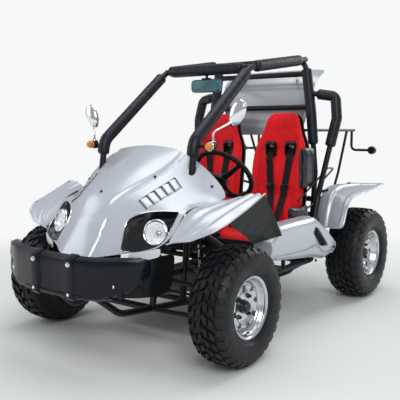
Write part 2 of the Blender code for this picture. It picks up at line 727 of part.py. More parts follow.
def frame_tubes():
    """The welded frame below the seats, with its nose, towers, side rails and engine cradle."""
    runs = []
    for _, side in SIDES:
        for table in (
            LOWER_RAIL_SHARES, NOSE_RAIL_SHARES, SIDE_RAIL_SHARES, TOWER_LEG_SHARES,
            FRONT_LEG_SHARES, ARM_RAIL_SHARES,
        ):
            runs.append(tube(places(table, side), FRAME_RADIUS))
        for inner, outer in OUTRIGGER_SHARES:
            runs.append(tube([place(inner, side), place(outer, side)], BRACE_RADIUS))
        tower = front_shock_ends()[0]
        inner = place(TOWER_LEG_SHARES[0]).x - tower.x
        tower.x *= side
        runs.append(shock_pin(tower, Vector((side, 0, 0)), inner, SHOCK_EYE_HALF * 2))
        for low, high in POD_BRACKET_SHARES:
            runs.append(tube([place(low, side), place(high, side)], BRACE_RADIUS))
    for shares in CROSS_SHARES:
        runs.append(tube([place(shares, -1), place(shares)], FRAME_RADIUS))
    runs.append(column_tube())
    publish(fuse(runs), "frame", black_tube())


def floor_pan():
    """The flat foot well floor between the lower rails, on the frame's cross tubes."""
    rail = place(LOWER_RAIL_SHARES[3])
    half = rail.x - FRAME_RADIUS
    front = place(PAN_SHARES[0])
    rear = place(PAN_SHARES[1])
    level = rail.z + FRAME_FLAT + SEAT_GAP + PAN_THICKNESS / 2
    outline = [
        (-front.x, front.y), (front.x, front.y), (half, rail.y), (half, rear.y),
        (-half, rear.y), (-half, rail.y),
    ]
    pan = plate(outline, PAN_THICKNESS, Matrix.Translation((0, 0, level)))
    publish(pan, "floor_pan", black_plastic())


def without_offcuts(piece):
    """Keep the largest body of a cut solid and drop the slivers past its ends."""
    build = bmesh.new()
    build.from_mesh(piece.data)
    loose = set(build.verts)
    bodies = []
    while loose:
        front = [loose.pop()]
        body = set(front)
        while front:
            spot = front.pop()
            for edge in spot.link_edges:
                other = edge.other_vert(spot)
                if other in loose:
                    loose.discard(other)
                    body.add(other)
                    front.append(other)
        bodies.append(body)
    keep = max(bodies, key=len)
    bmesh.ops.delete(build, geom=[v for v in build.verts if v not in keep], context="VERTS")
    build.to_mesh(piece.data)
    build.free()
    return piece


def lengthened(path, amount):
    """A path with both ends drawn out a little."""
    first = path[0] + (path[0] - path[1]).normalized() * amount
    last = path[-1] + (path[-1] - path[-2]).normalized() * amount
    return [first] + path[1:-1] + [last]


def coped(piece, neighbours, bend_radius=BEND_RADIUS):
    """Cut a tube's ends to sit round its neighbours, given as pairs of a path and a radius."""
    for path, radius in neighbours:
        sides = PAD_RESOLUTION if radius > FRAME_RADIUS else TUBE_RESOLUTION
        fat = tube(lengthened(path, SEAT_GAP), radius + SEAT_GAP, bend_radius, resolution=sides)
        piece = combine(piece, fat, "DIFFERENCE")
    return without_offcuts(piece)


def hoop_path():
    return places(HOOP_SHARES) + places(HOOP_SHARES, -1)[::-1]


def bar_path(shares):
    return [place(shares, -1), place(shares)]


def cage_sides():
    """Each side's bent tube from the shock tower up the windscreen pillar and along the roof."""
    left = tube(places(SIDE_CAGE_SHARES), FRAME_RADIUS)
    neighbours = [
        (places(SIDE_RAIL_SHARES), FRAME_RADIUS),
        (places(NOSE_RAIL_SHARES), FRAME_RADIUS),
        (places(TOWER_LEG_SHARES), FRAME_RADIUS),
        (bar_path(CROSS_SHARES[5]), FRAME_RADIUS),
        (hoop_path(), FRAME_RADIUS),
    ]
    left = padded(coped(left, neighbours), PILLAR_PAD_SHARES, ROOF_PAD_SHARES)
    publish(left, "cage_rail_left", black_tube())
    mirrored(left, "cage_rail_right")


def cage_hoop():
    """The roll hoop behind the seats with its cross bars, pads and the rear springs' upper mounts."""
    loop = tube(hoop_path(), FRAME_RADIUS)
    bars = [tube(bar_path(shares), FRAME_RADIUS) for shares in HOOP_BARS]
    neighbours = [(places(SIDE_RAIL_SHARES, side), FRAME_RADIUS) for _, side in SIDES]
    neighbours.append((bar_path(CROSS_SHARES[8]), FRAME_RADIUS))
    hoop = coped(fuse([loop] + bars), neighbours)
    for _, side in SIDES:
        hoop = combine(hoop, pad(places(HOOP_PAD_SHARES, side)), "UNION")
        bolt = rear_shock_ends()[0]
        bolt.x *= side
        pin = shock_pin(bolt, Vector((side, 0, 0)), -SHOCK_EYE_HALF * 2, SHOCK_EYE_HALF * 2)
        hoop = combine(hoop, pin, "UNION")
        for way in (-1, 1):
            back = place(HOOP_SHOCK_BAR_SHARES).y - SHOCK_PIN_RADIUS
            depth = bolt.y + SHOCK_EYE_RADIUS - back
            spot = Vector((bolt.x + way * SHOCK_LUG_X, back + depth / 2, bolt.z))
            lug = box(spot, (SHOCK_PIN_RADIUS, depth, 2 * SHOCK_EYE_RADIUS))
            hoop = combine(hoop, lug, "UNION")
    publish(hoop, "cage_hoop", black_tube())


def roof_bar():
    bar = tube(bar_path(ROOF_BAR_SHARES), FRAME_RADIUS)
    neighbours = [(places(SIDE_CAGE_SHARES, side), FRAME_RADIUS) for _, side in SIDES]
    publish(padded(coped(bar, neighbours), ROOF_BAR_PAD_SHARES), "roof_bar", black_tube())


def side_guards():
    """The shoulder bar that bulges out from the hoop and runs down to the side rail."""
    left = tube(places(SIDE_GUARD_SHARES), FRAME_RADIUS, SMALL_BEND_RADIUS)
    neighbours = [(hoop_path(), FRAME_RADIUS), (places(SIDE_RAIL_SHARES), FRAME_RADIUS)]
    neighbours.append((bar_path(SEAT_BAR_SHARES["rear"]), FRAME_RADIUS))
    neighbours.append((places(HOOP_PAD_SHARES), PAD_RADIUS))
    left = combine(coped(left, neighbours), pad(places(GUARD_PAD_SHARES), SMALL_BEND_RADIUS), "UNION")
    publish(left, "side_guard_left", black_tube())
    mirrored(left, "side_guard_right")


def pad(path, bend_radius=BEND_RADIUS):
    """A foam sleeve's outer form over a frame tube."""
    return tube(path, FRAME_RADIUS + PAD_THICKNESS, bend_radius, resolution=PAD_RESOLUTION)


def padded(subject, *tables):
    for table in tables:
        subject = combine(subject, pad(places(table)), "UNION")
    return subject


def lamp_place():
    """The middle of the left lamp's rim, its recess clear of the fender's inner edge."""
    lamp = place(LAMP_SHARES)
    edge = place(FENDER_SHARES[0][0]).x - LAMP_FENDER_GAP
    lamp.x = edge - RECESS_LAMP_SHARES[6][0] * LAMP_RADIUS
    return lamp


def lamp_aim():
    return Vector(LAMP_AIM_SHARES).normalized()


def recess_outline():
    """The edge of the headlight recess, drawn round the lamp in shares of its radius."""
    lamp = lamp_place()
    return [lamp + Vector(shares) * LAMP_RADIUS for shares in RECESS_LAMP_SHARES]


def recess_normal():
    """The direction that the headlight recess faces, from three points of its outline."""
    outline = recess_outline()
    low, high, outer = outline[0], outline[5], outline[6]
    normal = (high - low).cross(outer - low).normalized()
    return normal if normal.y < 0 else -normal


def recess_prism(grow, front, back):
    """A prism through the recess outline, for cutting the hood."""
    spots = recess_outline()
    centre = sum(spots, Vector()) / len(spots)
    normal = recess_normal()
    rings = []
    for depth in (front, -back):
        rings.append([spot + (spot - centre).normalized() * grow + normal * depth for spot in spots])
    return loft(rings)


def flipped(source):
    """A mirrored copy of a cutter for the right hand side."""
    made = mirrored(source, source.name)
    made.parent = None
    return made


def wall_along(panel, start, way):
    """The middle of a panel's wall where a line from inside the kart meets it."""
    _, hit, _, _ = panel.ray_cast(start, way)
    return hit + way * PANEL_THICKNESS / 2


def hood():
    """The nose and hood in one moulding, with the headlight recesses and pillar holes cut."""
    panel = shell([places(row) for row in HOOD_SHARES], PANEL_THICKNESS, smooth=1, symmetric=True)
    window = recess_prism(0.0, LAMP_DEPTH, LAMP_DEPTH)
    pillar = tube(places(SIDE_CAGE_SHARES)[:3], FRAME_RADIUS + PILLAR_GAP)
    panel = cut(panel, [flipped(window), window, flipped(pillar), pillar])
    for _, side in SIDES:
        foot = place(HOOD_POST_SHARES, side)
        panel = combine(panel, rod(foot, wall_along(panel, foot, UP), RACK_RADIUS, 8), "UNION")
        panel = coped(panel, [(places(NOSE_RAIL_SHARES, side), FRAME_RADIUS)])
    publish(panel, "hood", silver_plastic())


def headlights():
    """A chrome bowl with its lens in a black bezel, behind each recess of the hood."""
    normal = recess_normal()
    spots = recess_outline()
    centre = sum(spots, Vector()) / len(spots)
    inner = [spot + (centre - spot).normalized() * BEZEL_GAP for spot in spots]
    rings = [
        inner,
        [centre + (spot - centre) * BEZEL_FLOOR_SHARE - normal * BEZEL_DEPTH for spot in spots],
    ]
    floor = [centre - normal * BEZEL_DEPTH] * (len(spots) + 1)
    tub = mesh_object("tub", grid_mesh("tub", [ring + ring[:1] for ring in rings] + [floor]))
    tidy_mesh(tub)
    wall = tub.modifiers.new("wall", "SOLIDIFY")
    wall.thickness = LINER_THICKNESS
    wall.offset = 1
    tub = bake(tub)
    lamp_centre = lamp_place()
    outer = LAMP_RADIUS
    hole_radius = outer + BEZEL_GAP
    sleeve = [(0, LAMP_DEPTH), (hole_radius, LAMP_DEPTH), (hole_radius, -HOLE_REACH), (0, -HOLE_REACH)]
    hole = aim(turned(sleeve, LAMP_SEGMENTS), lamp_centre, lamp_aim())
    tub = cut(tub, [hole])
    publish(tub, "headlight_bezel_left", black_plastic())
    mirrored(tub, "headlight_bezel_right")
    profile = [
        (0, LENS_DOME), (outer / 2, LENS_DOME * LENS_SHOULDER_SHARE), (outer - LAMP_WALL, 0),
        (outer, 0), (outer, -LAMP_RIM_DEPTH), (outer / 2, -LAMP_DEPTH), (0, -LAMP_DEPTH),
    ]
    lamp = aim(turned(profile, LAMP_SEGMENTS), lamp_centre, lamp_aim())
    publish(lamp, "headlight_left", chrome())
    mirrored(lamp, "headlight_right")


def front_fenders():
    left = shell([places(row) for row in FENDER_SHARES], PANEL_THICKNESS, smooth=1)
    foot, below = places(FRONT_STAY_SHARES)
    left = combine(left, rod(foot, wall_along(left, below, UP), RACK_RADIUS, 8), "UNION")
    neighbours = [SIDE_RAIL_SHARES, NOSE_RAIL_SHARES, TOWER_LEG_SHARES, SIDE_CAGE_SHARES]
    left = coped(left, [(places(table), FRAME_RADIUS) for table in neighbours])
    publish(left, "front_fender_left", silver_plastic())
    mirrored(left, "front_fender_right")
    liner = shell([places(row) for row in LINER_SHARES], LINER_THICKNESS, smooth=1)
    publish(liner, "fender_liner_left", black_plastic())
    mirrored(liner, "fender_liner_right")


def bumper_strut(side, radius):
    """One of the two struts from the bumper's lower edge back to the nose cross tube."""
    nose = place(CROSS_SHARES[0])
    start = place(BUMPER_STRUT_SHARES, side)
    start.z -= BUMPER_STRUT_DROP_SHARE * BUMPER_HALF_HEIGHT
    return rod(start, Vector((start.x, nose.y, nose.z)), radius, ROD_SIDES)


def bumper():
    """The black front guard, its ends swept back, with two raised straps."""
    rings = []
    stations = [(shares, size, 1) for shares, size in BUMPER_STATION_SHARES]
    stations += [(shares, size, -1) for shares, size in BUMPER_STATION_SHARES[-2::-1]]
    for shares, size, side in stations:
        centre = place(shares, side)
        ring = []
        for depth, height in BUMPER_SECTION_SHARES:
            rise = height * size * BUMPER_HALF_HEIGHT
            ring.append(centre + Vector((0, depth * BUMPER_HALF_DEPTH, rise)))
        rings.append(ring)
    pieces = [loft(rings)]
    pieces += [bumper_strut(side, BRACE_RADIUS) for _, side in SIDES]
    publish(coped(fuse(pieces), [(bar_path(CROSS_SHARES[0]), FRAME_RADIUS)]), "bumper", black_plastic())


def nose_sides():
    """The black lower panels between the bumper and the front wheels."""
    apron = shell([places(row) for row in NOSE_SIDE_SHARES], LINER_THICKNESS, smooth=1, symmetric=True)
    for _, side in SIDES:
        rail = place(APRON_TAB_SHARES, side)
        front = Vector((rail.x, place(NOSE_SIDE_SHARES[1][0]).y, rail.z))
        apron = combine(apron, rod(front, rail, RACK_RADIUS, 8), "UNION")
        apron = coped(apron, [(places(NOSE_RAIL_SHARES, side), FRAME_RADIUS)])
        apron = cut(apron, [bumper_strut(side, BRACE_RADIUS + PILLAR_GAP)])
    publish(apron, "nose_apron", black_plastic())


def side_pods():
    """The silver side boxes, standing against their brackets on the side rails."""
    rings = []
    inner = place(POD_BRACKET_SHARES[0][0]).x + BRACE_RADIUS + SEAT_GAP
    for shares, size in POD_STATION_SHARES:
        centre = place(shares)
        centre.x = inner + POD_HALF_WIDTH
        rings.append([
            centre + Vector((across * POD_HALF_WIDTH, 0, height * size * POD_HALF_HEIGHT))
            for across, height in POD_SECTION_SHARES
        ])
    left = loft(rings)
    publish(left, "side_pod_left", silver_plastic())
    mirrored(left, "side_pod_right")


def rear_fenders():
    left = shell([places(row) for row in REAR_FENDER_SHARES], PANEL_THICKNESS, smooth=1)
    for foot, head in FENDER_STAY_SHARES:
        left = combine(left, tube([place(foot), place(head)], RACK_RADIUS), "UNION")
    left = coped(left, [(hoop_path(), FRAME_RADIUS)])
    left = coped(left, [(places(RACK_STAY_SHARES), RACK_RADIUS)], SMALL_BEND_RADIUS)
    publish(left, "rear_fender_left", silver_plastic())
    mirrored(left, "rear_fender_right")


def rear_panel():
    """The grey panel behind the heads that sweeps back into a spoiler."""
    panel = shell([places(row) for row in REAR_PANEL_SHARES], PANEL_THICKNESS, smooth=1, symmetric=True)
    for shares in (HOOP_BAR_SHARES, HOOP_TOP_BAR_SHARES):
        for _, side in SIDES:
            spot = place(shares, side)
            spot.x *= PANEL_TAB_SHARE
            back = wall_along(panel, spot, REARWARD)
            panel = combine(panel, rod(spot, back, RACK_RADIUS, 8), "UNION")
        panel = coped(panel, [(bar_path(shares), FRAME_RADIUS)])
    publish(panel, "rear_panel", silver_plastic())


def seat(side):
    """A bucket seat as one closed form, swept from its front lip to its head rest."""
    rings = []
    middle = Vector((side * SEAT_OFFSET, 0, 0))
    for shares, facing, size, bolster in SEAT_STATION_SHARES:
        centre = place(shares) + middle
        front = Vector((0, *facing)).normalized()
        ring = []
        for across, rise in SEAT_SECTION_SHARES:
            out = Vector((across * size * SEAT_HALF_WIDTH, 0, 0))
            ring.append(centre + out + front * (rise * bolster * BOLSTER_DEPTH))
        for across, rise in SEAT_BACK_SHARES:
            out = Vector((across * size * SEAT_HALF_WIDTH, 0, 0))
            ring.append(centre + out + front * (rise * SEAT_THICKNESS))
        rings.append(ring)
    body = loft(rings)
    front_bar = place(SEAT_BAR_SHARES["front"])
    rear_bar = place(SEAT_BAR_SHARES["rear"])
    low = front_bar.z + FRAME_FLAT + SEAT_GAP
    high = place(SEAT_STATION_SHARES[3][0]).z - SEAT_THICKNESS / 2
    centre = middle + Vector((0, (front_bar.y + rear_bar.y) / 2, (low + high) / 2))
    size = (2 * SEAT_BASE_HALF_WIDTH, rear_bar.y - front_bar.y + FRAME_RADIUS, high - low)
    return fuse([body, box(centre, size)])


def seats():
    for name, side in SIDES:
        publish(seat(side), "seat_" + name, red_fabric())


def front_axle():
    return Vector((FRONT_TRACK / 2, 0, FRONT_TYRE_RADIUS))


def rear_axle_centre():
    return Vector((REAR_TRACK / 2, WHEELBASE, REAR_TYRE_RADIUS))


def tyre(radius, width):
    """A ring of rubber with raised tread blocks, its axis along local Z."""
    half = width / 2
    inner = (RIM_SEAT_RADIUS + SEAT_GAP) / cos(pi / TYRE_SEGMENTS)
    outer = (radius - LUG_HEIGHT) / cos(pi / TYRE_SEGMENTS)
    side = [(inner + share * (outer - inner), reach * half) for reach, share in TYRE_SECTION_SHARES]
    lower = [(ring, -height) for ring, height in side]
    profile = side + lower[::-1]
    made = turned(profile, TYRE_SEGMENTS, closed=True, start_angle=pi / TYRE_SEGMENTS)
    raise_lugs(made, half)
    return made


def raise_lugs(subject, half):
    """Raise alternate faces of the tread band as blocks, those in the middle row at the ground."""
    build = bmesh.new()
    build.from_mesh(subject.data)
    build.normal_update()
    inner_edge = TYRE_SECTION_SHARES[-1][0] * half
    outer_edge = TYRE_SECTION_SHARES[-2][0] * half
    step = 2 * pi / TYRE_SEGMENTS
    middle = []
    shoulder = []
    for face in build.faces:
        centre = face.calc_center_median()
        outward = face.normal.x * centre.x + face.normal.y * centre.y
        if outward <= 0 or abs(face.normal.z) > SHOULDER_SLOPE:
            continue
        number = round(atan2(centre.y, centre.x) / step)
        if abs(centre.z) < inner_edge / 2 and number % 2 == 0:
            middle.append(face)
        if inner_edge < abs(centre.z) < outer_edge and number % 2 == 1:
            shoulder.append(face)
    raised = bmesh.ops.extrude_discrete_faces(build, faces=middle + shoulder)["faces"]
    for face in raised:
        rise = face.normal * LUG_HEIGHT
        centre = face.calc_center_median()
        for corner in face.verts:
            corner.co = centre + (corner.co - centre) * LUG_TOP_SHARE + rise
    build.to_mesh(subject.data)
    build.free()
    tidy_mesh(subject)


def rim(width, disc_offset):
    """A dished disc wheel, its outer face towards local +Z, with its holes cut."""
    half = width * RIM_WIDTH_SHARE / 2
    lip = half - RIM_FLANGE_WIDTH
    seat_inner = RIM_SEAT_RADIUS - RIM_WALL
    well_inner = RIM_WELL_RADIUS - RIM_WALL
    dome = disc_offset + DISC_DOME
    profile = [
        (RIM_FLANGE_RADIUS, half), (RIM_FLANGE_RADIUS, lip), (RIM_SEAT_RADIUS, lip),
        (RIM_SEAT_RADIUS, -lip), (RIM_FLANGE_RADIUS, -lip), (RIM_FLANGE_RADIUS, -half),
        (seat_inner, -half), (well_inner, 0),
        (well_inner, disc_offset - RIM_WALL), (RIM_HOLE_CIRCLE, dome - RIM_WALL),
        (HUB_FLANGE_RADIUS, disc_offset - RIM_WALL), (RIM_BORE_RADIUS, disc_offset - RIM_WALL),
        (RIM_BORE_RADIUS, disc_offset), (HUB_FLANGE_RADIUS, disc_offset),
        (RIM_HOLE_CIRCLE, dome), (well_inner, disc_offset + RIM_WALL), (seat_inner, half),
    ]
    made = turned(profile, RIM_SEGMENTS, closed=True, start_angle=pi / RIM_SEGMENTS)
    drills = []
    for index in range(RIM_HOLES):
        angle = 2 * pi * (index + HALF_STEP_SHARE) / RIM_HOLES
        centre = Vector((RIM_HOLE_CIRCLE * cos(angle), RIM_HOLE_CIRCLE * sin(angle), disc_offset))
        along = Vector((0, 0, DISC_DOME + OVERRUN))
        drills.append(rod(centre - along, centre + along, RIM_HOLE_RADIUS, 6))
    made = cut(made, drills)
    for index in range(STUD_COUNT):
        angle = 2 * pi * (index + HALF_STEP_SHARE) / STUD_COUNT
        foot = Vector((STUD_CIRCLE * cos(angle), STUD_CIRCLE * sin(angle), disc_offset - RIM_WALL / 2))
        nut = rod(foot, foot + Vector((0, 0, NUT_HEIGHT)), NUT_RADIUS, 6)
        made = combine(made, nut, "UNION")
    return made


def hub(disc_offset, barrel_length, bore):
    """A wheel hub with its flange and cap, its outer side towards local +Z."""
    seat = disc_offset - RIM_WALL - SEAT_GAP
    cap_radius = RIM_BORE_RADIUS - RUNNING_GAP
    top = disc_offset + HUB_CAP_HEIGHT
    profile = [
        (0, top), (cap_radius * HUB_CAP_SHARE, top), (cap_radius, top - HUB_CAP_EDGE), (cap_radius, seat),
        (HUB_FLANGE_RADIUS, seat), (HUB_FLANGE_RADIUS, seat - HUB_FLANGE_THICKNESS),
        (HUB_BARREL_RADIUS, seat - HUB_FLANGE_THICKNESS), (HUB_BARREL_RADIUS, seat - barrel_length),
    ]
    if bore:
        profile += [(bore, seat - barrel_length), (bore, seat), (0, seat)]
    else:
        profile += [(0, seat - barrel_length)]
    return turned(profile, HUB_SEGMENTS)


def wheel_turn():
    """Stand a wheel upright: local Z to the kart's left, local X down."""
    return Matrix(((0, 0, 1, 0), (0, 1, 0, 0), (-1, 0, 0, 0), (0, 0, 0, 1)))


def stand_at(subject, centre):
    subject.data.transform(Matrix.Translation(centre) @ wheel_turn())
    return subject


def front_wheels():
    centre = front_axle()
    parts = {
        "rim_front": (rim(FRONT_TYRE_WIDTH, DISC_OFFSET), polished_steel()),
        "tyre_front": (tyre(FRONT_TYRE_RADIUS, FRONT_TYRE_WIDTH), tyre_rubber()),
        "hub_front": (hub(DISC_OFFSET, HUB_BARREL_LENGTH, SPINDLE_RADIUS + RUNNING_GAP), dark_steel()),
    }
    for name, (solid, finish) in parts.items():
        publish(stand_at(solid, centre), name + "_left", finish, centre)
        mirrored(solid, name + "_right")


def rear_wheels():
    centre = rear_axle_centre()
    parts = {
        "rim_rear": (rim(REAR_TYRE_WIDTH, DISC_OFFSET), polished_steel()),
        "tyre_rear": (tyre(REAR_TYRE_RADIUS, REAR_TYRE_WIDTH), tyre_rubber()),
    }
    for name, (solid, finish) in parts.items():
        publish(stand_at(solid, centre), name + "_left", finish, centre)
        mirrored(solid, name + "_right")


def rear_axle():
    """The live axle with both hubs, the sprocket and the brake disc as one turning piece."""
    centre = rear_axle_centre()
    left_hub = stand_at(hub(DISC_OFFSET, HUB_BARREL_LENGTH, 0), centre)
    right_hub = mirrored(left_hub, "hub")
    right_hub.parent = None
    middle = Vector((0, centre.y, centre.z))
    reach = Vector((centre.x, 0, 0))
    shaft = rod(middle - reach, middle + reach, AXLE_RADIUS, 16)
    pieces = [shaft, left_hub, right_hub]
    for shares, radius in ((SPROCKET_SHARES, SPROCKET_RADIUS), (BRAKE_SHARES, BRAKE_RADIUS)):
        spot = Vector((place(shares).x, centre.y, centre.z))
        half = Vector((SPROCKET_THICKNESS / 2, 0, 0))
        pieces.append(rod(spot - half, spot + half, radius, 18))
    publish(fuse(pieces), "rear_axle", dark_steel(), middle)


def kingpin():
    return Vector((KINGPIN_X, 0, FRONT_TYRE_RADIUS))


def steer_arm():
    """The steering arm's length, which takes the tie rod just behind the tower legs."""
    leg = place(TOWER_LEG_SHARES[1]).y + FRAME_RADIUS
    return leg + TIE_ROD_RADIUS + TIE_ROD_CLEARANCE


def knuckles():
    """The upright with its kingpin, stub axle and steering arm."""
    centre = kingpin()
    rise = Vector((0, 0, KINGPIN_HALF_HEIGHT))
    post = rod(centre - rise, centre + rise, KINGPIN_RADIUS, 8)
    axle_end = front_axle() + Vector((DISC_OFFSET - RIM_WALL - RUNNING_GAP * 2, 0, 0))
    spindle = rod(centre, axle_end, SPINDLE_RADIUS, 10)
    shoulder_end = front_axle().x + DISC_OFFSET - RIM_WALL - HUB_BARREL_LENGTH - RUNNING_GAP * 2
    shoulder = rod(centre, Vector((shoulder_end, 0, centre.z)), HUB_BARREL_RADIUS, 8)
    low = centre - Vector((0, 0, STEER_ARM_DROP))
    arm_end = low + Vector((0, steer_arm(), 0))
    size = (STEER_ARM_WIDTH, steer_arm(), STEER_ARM_THICKNESS)
    arm = box((low + arm_end) / 2, size)
    half = Vector((0, 0, STEER_ARM_THICKNESS / 2))
    eye = rod(arm_end - half, arm_end + half, TIE_EYE_RADIUS, 10)
    left = fuse([post, shoulder, spindle, arm, eye])
    publish(left, "knuckle_left", dark_steel(), centre)
    mirrored(left, "knuckle_right")


def ball_joint(sign):
    """The two ends of the ball joint housing above or below the knuckle."""
    start = kingpin() + Vector((0, 0, sign * (KINGPIN_HALF_HEIGHT + SEAT_GAP)))
    return start, start + Vector((0, 0, sign * BALL_CUP_HEIGHT))


def front_shock_ends():
    """The bolts of a front spring: high on its tower, and between the legs of the lower arm."""
    start, end = ball_joint(-1)
    low = (start + end) / 2 - Vector((ARM_KNEE_INSET, 0, 0))
    tower = place(TOWER_LEG_SHARES[0])
    return tower + Vector((FRONT_SHOCK_REACH, 0, -FRONT_SHOCK_DROP)), low


def rear_shock_ends():
    """The bolts of a rear spring: behind the hoop's lower bar, and on the swing arm's leg."""
    bar = place(HOOP_SHOCK_BAR_SHARES)
    side = carrier_centre().x - REAR_SHOCK_INSET
    foot = swing_pivot().lerp(carrier_centre(), REAR_SHOCK_REACH_SHARE)
    return Vector((side, bar.y + REAR_SHOCK_STANDOFF, bar.z)), Vector((side, foot.y, foot.z))


def swing_pivot():
    return place(SWING_PIVOT_SHARES)


def carrier_centre():
    """The middle of the left axle bearing, clear of the engine's belt case."""
    case = ENGINE_SIZE[0] / 2 + DRIVE_THICKNESS - OVERRUN
    return Vector((case + CARRIER_CLEARANCE, WHEELBASE, REAR_TYRE_RADIUS))


def wishbone(table, ball):
    """Two bent legs from the frame to a ball joint housing at the kingpin."""
    cup = rod(ball[0], ball[1], BALL_RADIUS, 12)
    inner = (ball[0] + ball[1]) / 2
    legs = []
    for shares, sign in zip(table, (-1, 1)):
        knee = inner + Vector((-ARM_KNEE_INSET, sign * ARM_KNEE_SPREAD, 0))
        legs.append(tube([place(shares), knee, inner], ARM_RADIUS, SMALL_BEND_RADIUS))
    return fuse([cup] + legs)


def front_arms():
    """The upper and lower wishbones of each front wheel."""
    for name, table, sign in (("upper", UPPER_ARM_SHARES, 1), ("lower", LOWER_ARM_SHARES, -1)):
        left = wishbone(table, ball_joint(sign))
        if name == "lower":
            _, bolt = front_shock_ends()
            pin = shock_pin(bolt, REARWARD, -ARM_KNEE_SPREAD, ARM_KNEE_SPREAD)
            left = combine(left, pin, "UNION")
        left = coped(left, arm_neighbours())
        publish(left, "front_arm_" + name + "_left", black_tube())
        mirrored(left, "front_arm_" + name + "_right")


def arm_neighbours():
    tables = (LOWER_RAIL_SHARES, TOWER_LEG_SHARES, FRONT_LEG_SHARES, ARM_RAIL_SHARES)
    neighbours = [(places(table), FRAME_RADIUS) for table in tables]
    neighbours += [(bar_path(CROSS_SHARES[index]), FRAME_RADIUS) for index in (1, 2)]
    return neighbours


def shock(top, bottom, top_axis, bottom_axis):
    """A damper with its coil spring between two collars."""
    along = (bottom - top).normalized()
    length = (bottom - top).length
    upper = SHOCK_EYE_CLEAR
    lower = length - SHOCK_EYE_CLEAR
    profile = [
        (0, 0), (SHOCK_ROD_RADIUS, 0), (SHOCK_ROD_RADIUS, upper), (COLLAR_RADIUS, upper),
        (COLLAR_RADIUS, upper + COLLAR_HEIGHT), (SHOCK_ROD_RADIUS, upper + COLLAR_HEIGHT),
        (SHOCK_ROD_RADIUS, length / 2), (SHOCK_BODY_RADIUS, length / 2),
        (SHOCK_BODY_RADIUS, lower - COLLAR_HEIGHT), (COLLAR_RADIUS, lower - COLLAR_HEIGHT),
        (COLLAR_RADIUS, lower), (SHOCK_ROD_RADIUS, lower), (SHOCK_ROD_RADIUS, length), (0, length),
    ]
    pieces = [aim(turned(profile, SHOCK_SEGMENTS), top, along)]
    turn = along.to_track_quat("Z", "Y").to_matrix().to_4x4()
    steps = SPRING_TURNS * SPRING_STEPS
    coil = []
    for step in range(steps + 1):
        angle = SPRING_START + 2 * pi * step / SPRING_STEPS
        height = upper + COLLAR_HEIGHT / 2 + (lower - upper - COLLAR_HEIGHT) * step / steps
        spot = Vector((SPRING_RADIUS * cos(angle), SPRING_RADIUS * sin(angle), height))
        coil.append(top + turn @ spot)
    spring = tube(coil, SPRING_WIRE_RADIUS, 0.0, resolution=0)
    pins = []
    for spot, across in ((top, top_axis), (bottom, bottom_axis)):
        half = across * SHOCK_EYE_HALF
        pieces.append(rod(spot - half, spot + half, SHOCK_EYE_RADIUS, 8))
        pins.append(rod(spot - half * 2, spot + half * 2, SHOCK_PIN_RADIUS + SEAT_GAP, 8))
    return cut(fuse(pieces + [spring]), pins)


def shocks():
    across = Vector((1, 0, 0))
    along = Vector((0, 1, 0))
    ends = {"front": (front_shock_ends(), along), "rear": (rear_shock_ends(), across)}
    for name, ((top, bottom), bottom_axis) in ends.items():
        left = shock(top, bottom, across, bottom_axis)
        publish(left, "shock_" + name + "_left", dark_steel())
        mirrored(left, "shock_" + name + "_right")


def shock_pin(spot, axis, start, end):
    """A mounting pin through a shock's eye, from start to end along its axis."""
    return rod(spot + axis * start, spot + axis * end, SHOCK_PIN_RADIUS, 8)


def steering_rack():
    """The sliding rack bar with its tie rods out to the steering arms."""
    arm = kingpin() + Vector((0, steer_arm(), -STEER_ARM_DROP))
    level = arm.z + STEER_ARM_THICKNESS / 2 + TIE_EYE_GAP + TIE_ROD_RADIUS
    middle = Vector((0, arm.y, level))
    inner = Vector((RACK_HALF - OVERRUN, arm.y, level))
    outer = Vector((arm.x, arm.y, level))
    half_bar = Vector((RACK_HALF, 0, 0))
    bar = rod(middle - half_bar, middle + half_bar, RACK_BAR_RADIUS, 12)
    pieces = [bar]
    for _, side in SIDES:
        flip = Vector((side, 1, 1))
        start = Vector(a * b for a, b in zip(inner, flip))
        end = Vector(a * b for a, b in zip(outer, flip))
        half = Vector((0, 0, TIE_ROD_RADIUS))
        pieces.append(rod(start, end, TIE_ROD_RADIUS, 10))
        pieces.append(rod(end - half, end + half, TIE_EYE_RADIUS, 12))
    publish(fuse(pieces), "steering_rack", dark_steel(), middle)
    reach = Vector((RACK_HOUSING_HALF, 0, 0))
    housing = rod(middle - reach, middle + reach, RACK_HOUSING_RADIUS, 16)
    more = reach + Vector((OVERRUN, 0, 0))
    bore = rod(middle - more, middle + more, RACK_BAR_RADIUS + RUNNING_GAP, 12)
    foot = place(CROSS_SHARES[2])
    low = foot.z + FRAME_FLAT + SEAT_GAP
    size = (2 * RACK_HOUSING_HALF, foot.y + FRAME_RADIUS - middle.y, level - low)
    shelf = box(Vector((0, middle.y + size[1] / 2, low + size[2] / 2)), size)
    publish(cut(fuse([housing, shelf]), [bore]), "rack_housing", cast_alloy())


def steering_axis():
    return Vector((0, cos(STEERING_SLOPE), sin(STEERING_SLOPE)))


def steering_centre():
    centre = place(STEERING_CENTRE_SHARES)
    centre.x = place(TOWER_LEG_SHARES[0]).x - STEERING_INSET
    return centre


